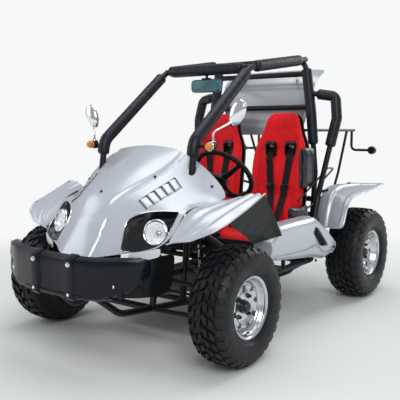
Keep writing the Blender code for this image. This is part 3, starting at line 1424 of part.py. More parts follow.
def steering_wheel():
    """The three spoked hand wheel on its column."""
    centre = steering_centre()
    axis = steering_axis()
    turn = axis.to_track_quat("Z", "Y").to_matrix().to_4x4()
    bpy.ops.mesh.primitive_torus_add(
        major_segments=16,
        minor_segments=6,
        major_radius=WHEEL_RIM_RADIUS,
        minor_radius=WHEEL_GRIP_RADIUS,
    )
    ring = bpy.context.object
    ring.matrix_world = Matrix.Translation(centre) @ turn
    pieces = [bake(ring)]
    hub_centre = centre - axis * WHEEL_HUB_DEPTH
    half = axis * WHEEL_HUB_THICKNESS / 2
    pieces.append(rod(hub_centre - half, hub_centre + half, WHEEL_HUB_RADIUS, 14))
    for index in range(WHEEL_SPOKES):
        angle = 2 * pi * index / WHEEL_SPOKES - pi / 2
        out = turn @ Vector((cos(angle), sin(angle), 0))
        start = hub_centre + out * WHEEL_HUB_RADIUS / 2
        pieces.append(rod(start, centre + out * WHEEL_RIM_RADIUS, WHEEL_SPOKE_RADIUS, 8))
    pieces.append(rod(hub_centre, centre - axis * COLUMN_LENGTH, COLUMN_RADIUS, 12))
    publish(fuse(pieces), "steering_wheel", black_plastic(), centre)


def column_tube():
    """The bearing tube of the steering column and the stay that welds it to the frame."""
    centre = steering_centre()
    axis = steering_axis()
    start = centre - axis * COLUMN_TUBE_START
    end = centre - axis * (COLUMN_LENGTH - COLUMN_TUBE_START / 2)
    casing = rod(start, end, COLUMN_TUBE_RADIUS, 16)
    bore = rod(start + axis * OVERRUN, end - axis * OVERRUN, COLUMN_RADIUS + RUNNING_GAP, 12)
    tower = place(CROSS_SHARES[5])
    stay = tube([Vector((centre.x, tower.y, tower.z)), (start + end) / 2], BRACE_RADIUS)
    return cut(fuse([casing, stay]), [bore])


def swing_arm():
    """The rear swing arm, pivoted on a frame tube, with the two axle bearing carriers."""
    pivot = swing_pivot()
    centre = carrier_centre()
    pieces = []
    pins = []
    for _, side in SIDES:
        spot = Vector((side * centre.x, centre.y, centre.z))
        eye = Vector((side * centre.x, pivot.y, pivot.z))
        half = Vector((CARRIER_HALF_WIDTH, 0, 0))
        pieces.append(rod(spot - half, spot + half, CARRIER_RADIUS, 12))
        pieces.append(rod(eye - half, eye + half, FRAME_RADIUS + BRACE_RADIUS, 12))
        pieces.append(tube([eye, spot], SWING_RADIUS))
        bolt = rear_shock_ends()[1]
        reach = centre.x - bolt.x
        bolt.x *= side
        pins.append(shock_pin(bolt, Vector((side, 0, 0)), -SHOCK_PIN_TAIL, reach))
    bar = pivot.lerp(centre, SWING_BAR_SHARE)
    cross = [Vector((side * centre.x, bar.y, bar.z)) for _, side in SIDES]
    pieces.append(tube(cross, SWING_RADIUS))
    order = [pieces[2], pieces[0], pieces[1], pieces[6], pieces[5], pieces[3], pieces[4]]
    arm = fuse(order + pins)
    bores = []
    pivot_bore = (FRAME_RADIUS + RUNNING_GAP) / cos(pi / BORE_SIDES)
    for spot, radius in ((centre, AXLE_RADIUS + RUNNING_GAP), (pivot, pivot_bore)):
        reach = Vector((centre.x + CARRIER_HALF_WIDTH + OVERRUN, 0, 0))
        line = Vector((0, spot.y, spot.z))
        bores.append(rod(line - reach, line + reach, radius, BORE_SIDES))
    publish(cut(arm, bores), "swing_arm", black_tube())


def engine():
    """The engine block with its finned barrel and belt drive case, and the exhaust behind it."""
    mount = place(CROSS_SHARES[9])
    low = mount.z + FRAME_FLAT + SEAT_GAP
    crank = box(Vector((0, mount.y, low + ENGINE_SIZE[2] / 2)), ENGINE_SIZE, ENGINE_ROUND)
    head = Vector((0, mount.y, low + ENGINE_SIZE[2]))
    barrel_top = head + Vector((0, 0, BARREL_HEIGHT))
    pieces = [crank, rod(head - Vector((0, 0, OVERRUN)), barrel_top, BARREL_RADIUS, 16)]
    for index in range(FIN_COUNT):
        lift = BARREL_HEIGHT * (index + FIN_START_SHARE) / FIN_COUNT
        spot = head + Vector((0, 0, lift))
        pieces.append(box(spot, (2 * FIN_HALF, 2 * FIN_HALF, FIN_THICKNESS)))
    outline = []
    for index in range(ROUND_STEPS + 1):
        angle = pi / 2 + pi * index / ROUND_STEPS
        outline.append((-DRIVE_HALF_LENGTH + DRIVE_RADIUS * cos(angle), DRIVE_RADIUS * sin(angle)))
    for index in range(ROUND_STEPS + 1):
        angle = -pi / 2 + pi * index / ROUND_STEPS
        outline.append((DRIVE_HALF_LENGTH + DRIVE_RADIUS * cos(angle), DRIVE_RADIUS * sin(angle)))
    side = ENGINE_SIZE[0] / 2 + DRIVE_THICKNESS / 2 - OVERRUN
    frame = Matrix.Translation((side, mount.y + DRIVE_HALF_LENGTH / 2, low + ENGINE_SIZE[2] / 2))
    frame = frame @ Matrix(((0, 0, 1, 0), (1, 0, 0, 0), (0, 1, 0, 0), (0, 0, 0, 1)))
    publish(fuse(pieces + [plate(outline, DRIVE_THICKNESS, frame)]), "engine", cast_alloy())
    path = places(EXHAUST_SHARES)
    start = Vector((path[0].x, mount.y + ENGINE_SIZE[1] / 2 + SEAT_GAP, path[0].z))
    pipe = tube([start] + path, EXHAUST_RADIUS, SMALL_BEND_RADIUS)
    can_start = path[-1]
    reach = Vector((SILENCER_LENGTH / 2, 0, 0))
    shift = Vector((-SILENCER_SHIFT, 0, 0))
    can = rod(can_start + shift - reach, can_start + shift + reach, SILENCER_RADIUS, 14)
    publish(fuse([can, pipe]), "exhaust", polished_steel())


def tail_lamp(side):
    """A tail lamp on its bent stalk below the rack's side rail."""
    end = place(TAIL_LAMP_SHARES, side)
    rail = place(RACK_RAIL_SHARES[2], side)
    back = Vector((0, -TAIL_STALK_STEP, 0))
    low = Vector((rail.x, rail.y, end.z))
    arm = tube([rail + back, low + back, end + back], RACK_RADIUS, SMALL_BEND_RADIUS)
    lamp = rod(end + back + back / 2, end - back / 2, TAIL_LAMP_RADIUS, 10)
    return [arm, lamp]


def luggage_rack():
    """The tube rack behind the roll hoop on its two stays."""
    pieces = []
    for _, side in SIDES:
        pieces.append(tube(places(RACK_RAIL_SHARES, side), RACK_RAIL_RADIUS, SMALL_BEND_RADIUS))
    for shares in RACK_CROSS_SHARES:
        pieces.append(tube(bar_path(shares), RACK_RADIUS))
    for _, side in SIDES:
        pieces.append(tube(places(RACK_STAY_SHARES, side), RACK_RADIUS, SMALL_BEND_RADIUS))
    for _, side in SIDES:
        pieces += tail_lamp(side)
    rack = fuse(pieces[:1] + pieces[2:6] + pieces[1:2] + pieces[6:])
    neighbours = [(bar_path(CROSS_SHARES[10]), FRAME_RADIUS)]
    neighbours += [(places(HOOP_PAD_SHARES, side), PAD_RADIUS) for _, side in SIDES]
    neighbours += [(places(LOWER_RAIL_SHARES, side), FRAME_RADIUS) for _, side in SIDES]
    publish(coped(rack, neighbours), "luggage_rack", black_tube())


def lamps_and_mirrors():
    """The turn signals on the pillars with the mirrors above them."""
    pillar = place(SIDE_CAGE_SHARES[2])
    spot = place(SIGNAL_SHARES)
    start = Vector((pillar.x, pillar.y, spot.z))
    bracket = rod(start, spot, SIGNAL_STEM_RADIUS, 10)
    shellbox = box(spot, SIGNAL_BODY)
    base = fuse([shellbox, bracket])
    base = coped(base, [(places(PILLAR_PAD_SHARES), PAD_RADIUS)])
    face = spot + Vector((0, -SIGNAL_BODY[1] / 4, 0))
    tip = face + Vector((0, -SIGNAL_LENS_RADIUS * 2, 0))
    lens = rod(face, tip, SIGNAL_LENS_RADIUS, 10, SIGNAL_LENS_TIP_RADIUS)
    signal = combine(base, lens, "UNION")
    publish(signal, "turn_signal_left", amber_glass())
    mirrored(signal, "turn_signal_right")
    stem_path = places(MIRROR_STEM_SHARES)
    stem_path[0] = Vector((spot.x, spot.y, spot.z + SIGNAL_BODY[2] / 2 + SEAT_GAP))
    stem_path[1].x = spot.x
    stem_path[1].y = spot.y
    stem = tube(stem_path, MIRROR_STEM_RADIUS, SMALL_BEND_RADIUS)
    head = mirror_head()
    mirror = fuse([head, stem])
    publish(mirror, "mirror_left", chrome())
    mirrored(mirror, "mirror_right")


def mirror_head():
    """A teardrop mirror shell."""
    bpy.ops.mesh.primitive_uv_sphere_add(segments=10, ring_count=6, radius=1)
    ball = bpy.context.object
    ball.matrix_world = (
        Matrix.Translation(place(MIRROR_SHARES))
        @ Matrix.Rotation(MIRROR_LEAN, 4, "Y")
        @ Matrix.Diagonal((*MIRROR_SIZE, 1))
    )
    return bake(ball)


def centre_mirror():
    """The teal pod that hangs below the roof bar."""
    bar = place(ROOF_BAR_SHARES)
    pod_centre = Vector((0, bar.y, bar.z - CENTRE_MIRROR_DROP))
    pod = box(pod_centre, CENTRE_MIRROR_SIZE, CENTRE_MIRROR_EDGE)
    low = pod_centre + Vector((0, 0, CENTRE_MIRROR_SIZE[2] / 2 - OVERRUN))
    high = Vector((0, bar.y, bar.z - PAD_RADIUS - SEAT_GAP))
    stem = rod(low, high, RACK_RADIUS, 12)
    publish(fuse([pod, stem]), "centre_mirror", teal_plastic())


def main():
    clear_scene()
    kart = bpy.data.objects.new("kart", None)
    bpy.context.scene.collection.objects.link(kart)
    frame_tubes()
    floor_pan()
    cage_sides()
    cage_hoop()
    roof_bar()
    side_guards()
    hood()
    headlights()
    front_fenders()
    bumper()
    nose_sides()
    side_pods()
    rear_fenders()
    rear_panel()
    seats()
    front_wheels()
    rear_wheels()
    rear_axle()
    knuckles()
    front_arms()
    shocks()
    steering_rack()
    steering_wheel()
    swing_arm()
    engine()
    luggage_rack()
    lamps_and_mirrors()
    centre_mirror()
    kart.location.y = FRONT_AXLE_Y


main()
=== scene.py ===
"""The looks of the two seat off road kart: its finishes, panels, tyres, seats and fittings."""
from math import cos, pi, radians, sin, tan

import bmesh
import bpy
from mathutils import Matrix, Vector
from mathutils.bvhtree import BVHTree


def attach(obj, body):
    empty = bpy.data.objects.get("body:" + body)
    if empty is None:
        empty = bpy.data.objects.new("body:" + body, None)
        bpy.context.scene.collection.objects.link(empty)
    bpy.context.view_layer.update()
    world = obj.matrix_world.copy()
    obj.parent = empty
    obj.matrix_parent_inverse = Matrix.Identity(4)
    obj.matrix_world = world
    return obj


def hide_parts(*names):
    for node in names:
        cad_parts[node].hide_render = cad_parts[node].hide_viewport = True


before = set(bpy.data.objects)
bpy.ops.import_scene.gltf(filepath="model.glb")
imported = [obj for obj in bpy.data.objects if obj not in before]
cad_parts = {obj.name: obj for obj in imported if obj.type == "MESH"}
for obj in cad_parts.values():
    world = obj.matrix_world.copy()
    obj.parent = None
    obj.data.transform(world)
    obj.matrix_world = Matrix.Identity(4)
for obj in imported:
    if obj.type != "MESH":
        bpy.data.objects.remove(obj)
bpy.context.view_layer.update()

FRONT_AXLE_Y = -0.6165
REAR_AXLE_Y = 0.8435
REAR_AXLE_Z = 0.2745
FRONT_WHEEL = (0.585, FRONT_AXLE_Y, 0.2665)
REAR_WHEEL = (0.532, REAR_AXLE_Y, REAR_AXLE_Z)
KINGPIN = (0.455, FRONT_AXLE_Y, 0.2665)
SPROCKET = (0.085, REAR_AXLE_Y, REAR_AXLE_Z)
BRAKE_DISC = (-0.0898, REAR_AXLE_Y, REAR_AXLE_Z)
SWING_PIVOT = (0.2, 0.534, 0.33)
SWING_CARRIER = (0.2, REAR_AXLE_Y, REAR_AXLE_Z)
REAR_SHOCK_FOOT = (0.15, 0.7692, 0.2878)
RACK_Y = -0.532
RACK_Z = 0.2455
RACK_HALF = 0.24
HAND_WHEEL = (0.22, -0.1858, 0.8001)
HAND_WHEEL_LEAN = 40
HAND_WHEEL_RADIUS = 0.155
COLUMN_FOOT_Y = -0.50
SIGNAL_X = 0.3849
SIGNAL_Y = -0.5172
SIGNAL_Z = 0.9548
MIRROR = (0.4699, -0.4515, 1.1052)
MIRROR_ELBOW = (0.4549, -0.4559, 1.0694)
ENGINE = (0, 0.6537, 0.4743)
BELT_CASE = (0.095, 0.7187, 0.4743)
SILENCER = (-0.0801, 0.9092, 0.5796)
CENTRE_POD = (0, -0.038, 1.2702)
LEFT_RIGHT = (("left", 1), ("right", -1))
UP = Vector((0, 0, 1))

FRAME_RADIUS = 0.016
BRACE_RADIUS = 0.011
RACK_RADIUS = 0.0085
PAD_RADIUS = 0.0305
BEND_RADIUS = 0.09
SMALL_BEND_RADIUS = 0.035

# Tube runs of the left side, in metres
LOWER_RAIL = [
    (0.13, -1.017, 0.31), (0.15, -0.897, 0.215), (0.24, -0.517, 0.204), (0.31, -0.276, 0.204),
    (0.31, 0.384, 0.204), (0.27, 0.534, 0.31), (0.24, 0.654, 0.375), (0.24, 1.004, 0.46),
]
NOSE_RAIL = [(0.13, -1.017, 0.31), (0.12, -0.977, 0.46), (0.2, -0.666, 0.6), (0.285, -0.571, 0.6)]
SIDE_RAIL = [
    (0.285, -0.571, 0.6), (0.33, -0.317, 0.431), (0.42, -0.117, 0.291), (0.45, 0.004, 0.291),
    (0.45, 0.363, 0.291), (0.38, 0.534, 0.33),
]
TOWER_LEG = [(0.285, -0.571, 0.6), (0.235, -0.557, 0.204)]
FRONT_LEG = [(0.19, -0.726, 0.212), (0.21, -0.716, 0.365), (0.19, -0.697, 0.58)]
ARM_RAIL = [(0.21, -0.732, 0.365), (0.252, -0.487, 0.365)]
POD_BRACKETS = [
    [(0.448, 0.043, 0.291), (0.448, 0.043, 0.42)], [(0.448, 0.283, 0.291), (0.448, 0.283, 0.42)],
]
CROSS_TUBES = [
    (0.13, -1.017, 0.31), (0.2, -0.736, 0.213), (0.235, -0.497, 0.204), (0.31, -0.216, 0.204),
    (0.31, 0.363, 0.204), (0.285, -0.571, 0.6), (0.45, 0.043, 0.291), (0.45, 0.314, 0.291),
    (0.38, 0.534, 0.33), (0.24, 0.654, 0.375), (0.24, 1.004, 0.46),
]
OUTRIGGERS = [
    [(0.31, 0.004, 0.204), (0.45, 0.043, 0.291)], [(0.31, 0.314, 0.204), (0.45, 0.314, 0.291)],
]
CAGE_SIDE = [
    (0.285, -0.571, 0.6), (0.293, -0.561, 0.8), (0.291, -0.536, 0.975), (0.284, -0.038, 1.356),
    (0.306, 0.534, 1.444),
]
HOOP = [(0.362, 0.534, 0.33), (0.383, 0.534, 0.78), (0.348, 0.534, 1.148), (0.306, 0.534, 1.444)]
HOOP_BARS = [(0.345, 0.534, 1.165), (0.315, 0.534, 1.361), (0.38, 0.534, 0.621)]
ROOF_BAR = (0.284, -0.038, 1.356)
SIDE_GUARD = [
    (0.334, 0.534, 1.248), (0.48, 0.584, 1.225), (0.5, 0.563, 1.099), (0.47, 0.524, 0.899),
    (0.43, 0.483, 0.65), (0.442, 0.334, 0.291),
]
PILLAR_PAD = [(0.292, -0.548, 0.905), (0.291, -0.536, 0.975), (0.285, -0.076, 1.329)]
ROOF_PAD = [(0.286, 0.004, 1.364), (0.303, 0.468, 1.434)]
ROOF_BAR_PAD = [(-0.235, -0.038, 1.356), (0.235, -0.038, 1.356)]
HOOP_PAD = [(0.367, 0.534, 0.945), (0.348, 0.534, 1.148), (0.313, 0.534, 1.391)]
GUARD_PAD = [
    (0.378, 0.549, 1.241), (0.48, 0.584, 1.225), (0.5, 0.563, 1.099), (0.475, 0.531, 0.936),
]
RACK_RAIL = [(0.366, 0.534, 1.029), (0.385, 0.833, 1.029), (0.36, 1.153, 1.029)]
RACK_STAY = [(0.24, 1.004, 0.46), (0.3, 1.044, 0.75), (0.372, 1.004, 1.029)]
RACK_CROSS = [(0.373, 0.633, 1.029), (0.383, 0.804, 1.029), (0.376, 0.973, 1.029), (0.36, 1.153, 1.029)]
TAIL_LAMP = (0.5, 1.143, 0.899)

HOOD = [
    [(0.0, -1.037, 0.4774), (0.07, -1.0311, 0.4803), (0.1299, -1.0019, 0.4876),
     (0.1931, -0.9508, 0.4993), (0.2802, -0.9158, 0.5154), (0.3747, -0.8618, 0.5446)],
    [(0.0, -0.9786, 0.5665), (0.07, -0.9684, 0.565), (0.1353, -0.9362, 0.5621), (0.2047, -0.907, 0.5606),
     (0.2897, -0.872, 0.5694), (0.3883, -0.8209, 0.5825)],
    [(0.0, -0.9465, 0.6366), (0.0687, -0.926, 0.6366), (0.1503, -0.891, 0.6351),
     (0.2298, -0.8559, 0.6307), (0.3101, -0.8165, 0.6249), (0.3951, -0.7771, 0.6307)],
    [(0.0, -0.8924, 0.7154), (0.0802, -0.8822, 0.7096), (0.1652, -0.8516, 0.6993),
     (0.2502, -0.8121, 0.6847), (0.3298, -0.7669, 0.6745), (0.3903, -0.7348, 0.6833)],
    [(0.0, -0.7961, 0.7899), (0.0898, -0.7859, 0.7796), (0.1897, -0.7669, 0.7548),
     (0.2802, -0.7362, 0.7256), (0.3597, -0.6866, 0.6993), (0.41, -0.6559, 0.695)],
    [(0.0, -0.6764, 0.8702), (0.1102, -0.6661, 0.8556), (0.2203, -0.6472, 0.8147),
     (0.3203, -0.6165, 0.765), (0.3903, -0.5858, 0.7256), (0.44, -0.5771, 0.7096)],
    [(0.0, -0.5128, 0.9505), (0.1197, -0.5172, 0.9402), (0.2217, -0.5172, 0.9256),
     (0.3101, -0.5172, 0.8775), (0.4128, -0.5172, 0.8015), (0.478, -0.5172, 0.7198)],
]
FENDER = [
    [(0.3822, -0.8516, 0.5475), (0.4202, -0.8559, 0.5606), (0.4597, -0.8516, 0.5679),
     (0.4978, -0.8384, 0.5723)],
    [(0.3958, -0.7815, 0.6249), (0.4597, -0.8019, 0.622), (0.5297, -0.8121, 0.6147),
     (0.5848, -0.7961, 0.6117)],
    [(0.3998, -0.7216, 0.6877), (0.4801, -0.726, 0.6818), (0.5603, -0.7362, 0.6599),
     (0.6222, -0.7421, 0.6453)],
    [(0.4502, -0.5961, 0.7125), (0.5202, -0.6063, 0.7154), (0.58, -0.6121, 0.7096),
     (0.6317, -0.6063, 0.695)],
    [(0.4882, -0.4968, 0.7198), (0.5399, -0.4866, 0.7417), (0.5902, -0.4763, 0.7519),
     (0.6372, -0.472, 0.749)],
]
LINER = [
    [(0.6222, -0.7362, 0.6409), (0.6297, -0.6063, 0.6906), (0.6351, -0.4763, 0.7446)],
    [(0.5998, -0.5961, 0.5796), (0.61, -0.4763, 0.6103), (0.6202, -0.3668, 0.6395)],
    [(0.4998, -0.3464, 0.4906), (0.5603, -0.2763, 0.5154), (0.5998, -0.2471, 0.5285)],
]
NOSE_SIDE = [
    [(0.0, -1.056, 0.4701), (0.1598, -1.0516, 0.4701), (0.2502, -0.9508, 0.4876),
     (0.3352, -0.8822, 0.4949), (0.3448, -0.8063, 0.4906), (0.3502, -0.7508, 0.4906)],
    [(0.0, -1.056, 0.4), (0.1598, -1.0516, 0.4), (0.2502, -0.9771, 0.4044), (0.325, -0.8968, 0.4146),
     (0.3352, -0.8165, 0.4205), (0.34, -0.7567, 0.4205)],
    [(0.0, -1.056, 0.3402), (0.1598, -1.0516, 0.3343), (0.2502, -0.9771, 0.3197),
     (0.3148, -0.8968, 0.3154), (0.325, -0.8165, 0.3154), (0.3298, -0.7567, 0.3197)],
]
REAR_FENDER = [
    [(0.4202, 0.4829, 0.4701), (0.4699, 0.4639, 0.4716), (0.5501, 0.4332, 0.4745),
     (0.6202, 0.4128, 0.4803)],
    [(0.4202, 0.5033, 0.5606), (0.4699, 0.4887, 0.565), (0.5501, 0.4683, 0.5694),
     (0.6202, 0.4537, 0.5694)],
    [(0.4202, 0.553, 0.6701), (0.4699, 0.5442, 0.6745), (0.5501, 0.5238, 0.6643),
     (0.6202, 0.5033, 0.6395)],
    [(0.4202, 0.6639, 0.6993), (0.4699, 0.6581, 0.7052), (0.5501, 0.6435, 0.6906),
     (0.6202, 0.6333, 0.6555)],
    [(0.4202, 0.8041, 0.695), (0.4699, 0.8041, 0.6993), (0.5501, 0.8041, 0.6906),
     (0.6202, 0.8041, 0.6643)],
    [
        (0.4202, 0.934, 0.6906), (0.4699, 0.953, 0.6906), (0.5501, 0.9939, 0.6906),
        (0.6202, 1.0435, 0.6906)
    ],
]
REAR_PANEL = [
    [(0.0, 0.5734, 1.0001), (0.1802, 0.5734, 1.0001), (0.27, 0.5734, 1.0001)],
    [(0.0, 0.5836, 1.1505), (0.1999, 0.5836, 1.1505), (0.2999, 0.5836, 1.1505)],
    [(0.0, 0.5938, 1.2906), (0.2203, 0.5938, 1.2906), (0.3298, 0.5938, 1.2804)],
    [(0.0, 0.6537, 1.3651), (0.2203, 0.6537, 1.3651), (0.3298, 0.6537, 1.3549)],
    [(0.0, 0.7836, 1.4104), (0.2203, 0.7939, 1.4104), (0.3352, 0.7939, 1.4045)],
]
BUMPER_STATIONS = [
    ((0.41, -1.0165, 0.4745), 0.45), ((0.3597, -1.056, 0.4497), 0.8), ((0.2502, -1.1012, 0.4249), 1.0),
    ((0.1353, -1.1114, 0.4205), 1.0), ((0.1299, -1.1246, 0.4205), 1.1), ((0.0898, -1.126, 0.4205), 1.1),
    ((0.085, -1.1129, 0.4205), 1.0), ((0.0, -1.1158, 0.4205), 1.0),
]
POD_STATIONS = [
    ((0.5168, -0.2822, 0.4497), 0.45), ((0.5182, -0.196, 0.4745), 0.95), ((0.5182, 0.004, 0.4643), 1.1),
    ((0.5182, 0.1836, 0.4555), 1.2), ((0.5182, 0.334, 0.4), 0.95), ((0.5168, 0.4435, 0.3694), 0.35),
]
SEAT_X = 0.22
SEAT_HALF_WIDTH = 0.18
SEAT_INSET = 0.009
STRAP_THICKNESS = 0.0026
SLOT_X = 0.066
SLOT_Y = 0.405
SLOT_Z = 0.915
SLOT_TILT = 0.12
# Rings of a slot's surround: width, height, corner radius and depth
SLOT_FRAME = (
    (0.048, 0.068, 0.014, 0.082), (0.048, 0.068, 0.014, -0.004), (0.053, 0.073, 0.016, -0.009),
    (0.068, 0.090, 0.022, -0.008), (0.078, 0.100, 0.026, 0.000), (0.078, 0.100, 0.026, 0.012),
)
# Section of the seat's shell: share of the half width and depth behind the face
SHELL_SECTION = (
    (0.97, 0.028), (0.955, 0.048), (0.88, 0.064), (0.6, 0.068), (0.3, 0.068), (0.0, 0.068),
    (-0.3, 0.068), (-0.6, 0.068), (-0.88, 0.064), (-0.955, 0.048), (-0.97, 0.028),
)
# Lap strap: distance from the seat's middle, place along it and lift off the cushion
LAP_RUN = ((0.022, 0.25, 0.012), (0.07, 0.265, 0.005), (0.115, 0.285, 0.005), (0.150, 0.30, 0.006))
# Side pads of the left seat: centre and size
SIDE_PADS = (
    ((0.398, 0.392, 0.815), (0.036, 0.135, 0.235)), ((0.396, 0.30, 0.548), (0.032, 0.21, 0.110)),
)
SEAT_SECTION = [
    (-1.0, 0.1), (-0.95, 1.0), (-0.80, 1.0), (-0.66, 0.12), (-0.3, 0.0), (0.3, 0.0), (0.66, 0.12),
    (0.80, 1.0), (0.95, 1.0), (1.0, 0.1),
]
SEAT_STATIONS = [
    (-0.0164, 0.3854, -0.95, 0.3, 0.88, 0.2), (-0.0018, 0.4555, -0.6, 0.8, 0.92, 0.3),
    (0.0828, 0.4555, -0.1, 1.0, 0.96, 0.55), (0.223, 0.4146, 0.0, 1.0, 1.0, 0.8),
    (0.3135, 0.4249, -0.6, 0.8, 1.0, 1.0), (0.3486, 0.4993, -0.95, 0.3, 1.0, 1.0),
    (0.369, 0.6599, -1.0, 0.12, 1.0, 1.0), (0.388, 0.8205, -1.0, 0.12, 1.02, 0.9),
    (0.404, 0.93, -1.0, 0.12, 0.98, 0.6), (0.4128, 1.0205, -1.0, 0.12, 0.76, 0.3),
    (0.423, 1.0994, -1.0, 0.15, 0.64, 0.15), (0.4391, 1.1403, -0.9, 0.35, 0.42, 0.05),
]
BUMPER_SECTION = [
    (-0.4, -1.0), (-1.0, -0.85), (-0.85, -0.1), (-1.0, 0.2), (-0.85, 0.85), (0.2, 1.0), (1.0, 0.7),
    (1.0, -0.8),
]
POD_SECTION = [
    (-1.0, 0.9), (-0.4, 1.0), (0.7, 0.95), (1.0, 0.75), (1.0, 0.0), (0.8, -0.8), (0.3, -1.0),
    (-1.0, -0.9),
]
LAMP_WINDOW = [
    (0.1999, -0.9421, 0.5125), (0.172, -0.872, 0.5986), (0.1802, -0.8428, 0.6264),
    (0.2318, -0.8034, 0.6526), (0.3033, -0.7683, 0.6716), (0.3699, -0.7421, 0.676),
    (0.372, -0.8443, 0.5606), (0.355, -0.8779, 0.5343), (0.27, -0.9216, 0.5081),
]
LAMP_WINDOW_ROUNDS = [0.12, 0.45, 0.45, 0.45, 0.45, 0.1, 0.3, 0.45, 0.45]
LAMP_NORMAL = Vector((0.2316, -0.7261, 0.6474)).normalized()
LAMP = Vector((0.3033, -0.8311, 0.5869))
LAMP_AIM = Vector((0.2372, -0.9488, 0.2087))
LOUVRE_CORNERS = [
    (0.190, -0.808, 0.716), (0.241, -0.813, 0.681), (0.251, -0.629, 0.811), (0.301, -0.641, 0.768),
]
POD_OPENING = [
    (0.5694, 0.169, 0.517), (0.5694, 0.209, 0.504), (0.5694, 0.345, 0.387), (0.5694, 0.23, 0.400),
    (0.5694, 0.146, 0.483),
]


def camera_and_stage():
    """The camera at the photograph's angle, a pale floor and backdrop, and soft lamps."""
    data = bpy.data.cameras.new("camera")
    data.lens = 56.6
    data.sensor_width = 36
    camera = bpy.data.objects.new("camera", data)
    bpy.context.scene.collection.objects.link(camera)
    camera.location = (2.06, -2.256 + FRONT_AXLE_Y, 1.027)
    camera.rotation_euler = (radians(90 - 6.3), 0, radians(36.6))
    bpy.context.scene.camera = camera

    bpy.ops.mesh.primitive_plane_add(size=60, location=(0, 0, 0))
    floor = bpy.context.object
    floor.name = "floor"
    floor.data.materials.append(stage_finish())

    world = bpy.data.worlds.new("world")
    bpy.context.scene.world = world
    world.use_nodes = True
    tree = world.node_tree
    tree.nodes.clear()
    out = tree.nodes.new("ShaderNodeOutputWorld")
    mix = tree.nodes.new("ShaderNodeMixShader")
    lit = tree.nodes.new("ShaderNodeBackground")
    lit.inputs["Color"].default_value = (0.93, 0.96, 1.0, 1)
    lit.inputs["Strength"].default_value = 0.42
    seen = tree.nodes.new("ShaderNodeBackground")
    seen.inputs["Color"].default_value = (0.93, 0.95, 0.94, 1)
    seen.inputs["Strength"].default_value = 1.0
    path = tree.nodes.new("ShaderNodeLightPath")
    tree.links.new(path.outputs["Is Camera Ray"], mix.inputs[0])
    tree.links.new(lit.outputs[0], mix.inputs[1])
    tree.links.new(seen.outputs[0], mix.inputs[2])
    tree.links.new(mix.outputs[0], out.inputs["Surface"])

    for name, spot, size, power in (
        ("key", (3.2, -3.6, 3.6), 2.6, 112), ("fill", (-3.8, -2.6, 2.6), 3.2, 42),
        ("top", (0, 0.4, 4.2), 3.0, 62), ("back", (1.5, 4.2, 2.8), 2.4, 55),
    ):
        lamp = bpy.data.lights.new(name, "AREA")
        lamp.size = size
        lamp.energy = power
        holder = bpy.data.objects.new(name, lamp)
        bpy.context.scene.collection.objects.link(holder)
        holder.location = spot
        holder.rotation_euler = (
            Vector((0, -0.1, 0.6)) - Vector(spot)
        ).to_track_quat("-Z", "Y").to_euler()


def stage_finish():
    """A pale floor whose colour, seen from the camera, fades into the backdrop with distance."""
    made = bpy.data.materials.new("stage")
    made.use_nodes = True
    tree = made.node_tree
    shader = tree.nodes["Principled BSDF"]
    shader.inputs["Base Color"].default_value = (0.80, 0.82, 0.80, 1)
    shader.inputs["Roughness"].default_value = 0.9
    shader.inputs["Specular IOR Level"].default_value = 0.1
    glow = tree.nodes.new("ShaderNodeEmission")
    glow.inputs["Color"].default_value = (0.93, 0.95, 0.94, 1)
    mix = tree.nodes.new("ShaderNodeMixShader")
    coords = tree.nodes.new("ShaderNodeTexCoord")
    span = tree.nodes.new("ShaderNodeVectorMath")
    span.operation = "LENGTH"
    reach = tree.nodes.new("ShaderNodeMapRange")
    reach.interpolation_type = "SMOOTHSTEP"
    reach.inputs["From Min"].default_value = 1.5
    reach.inputs["From Max"].default_value = 3.4
    tree.links.new(coords.outputs["Object"], span.inputs[0])
    tree.links.new(span.outputs["Value"], reach.inputs["Value"])
    tree.links.new(reach.outputs["Result"], mix.inputs[0])
    tree.links.new(shader.outputs["BSDF"], mix.inputs[1])
    tree.links.new(glow.outputs["Emission"], mix.inputs[2])
    tree.links.new(mix.outputs["Shader"], tree.nodes["Material Output"].inputs["Surface"])
    return made


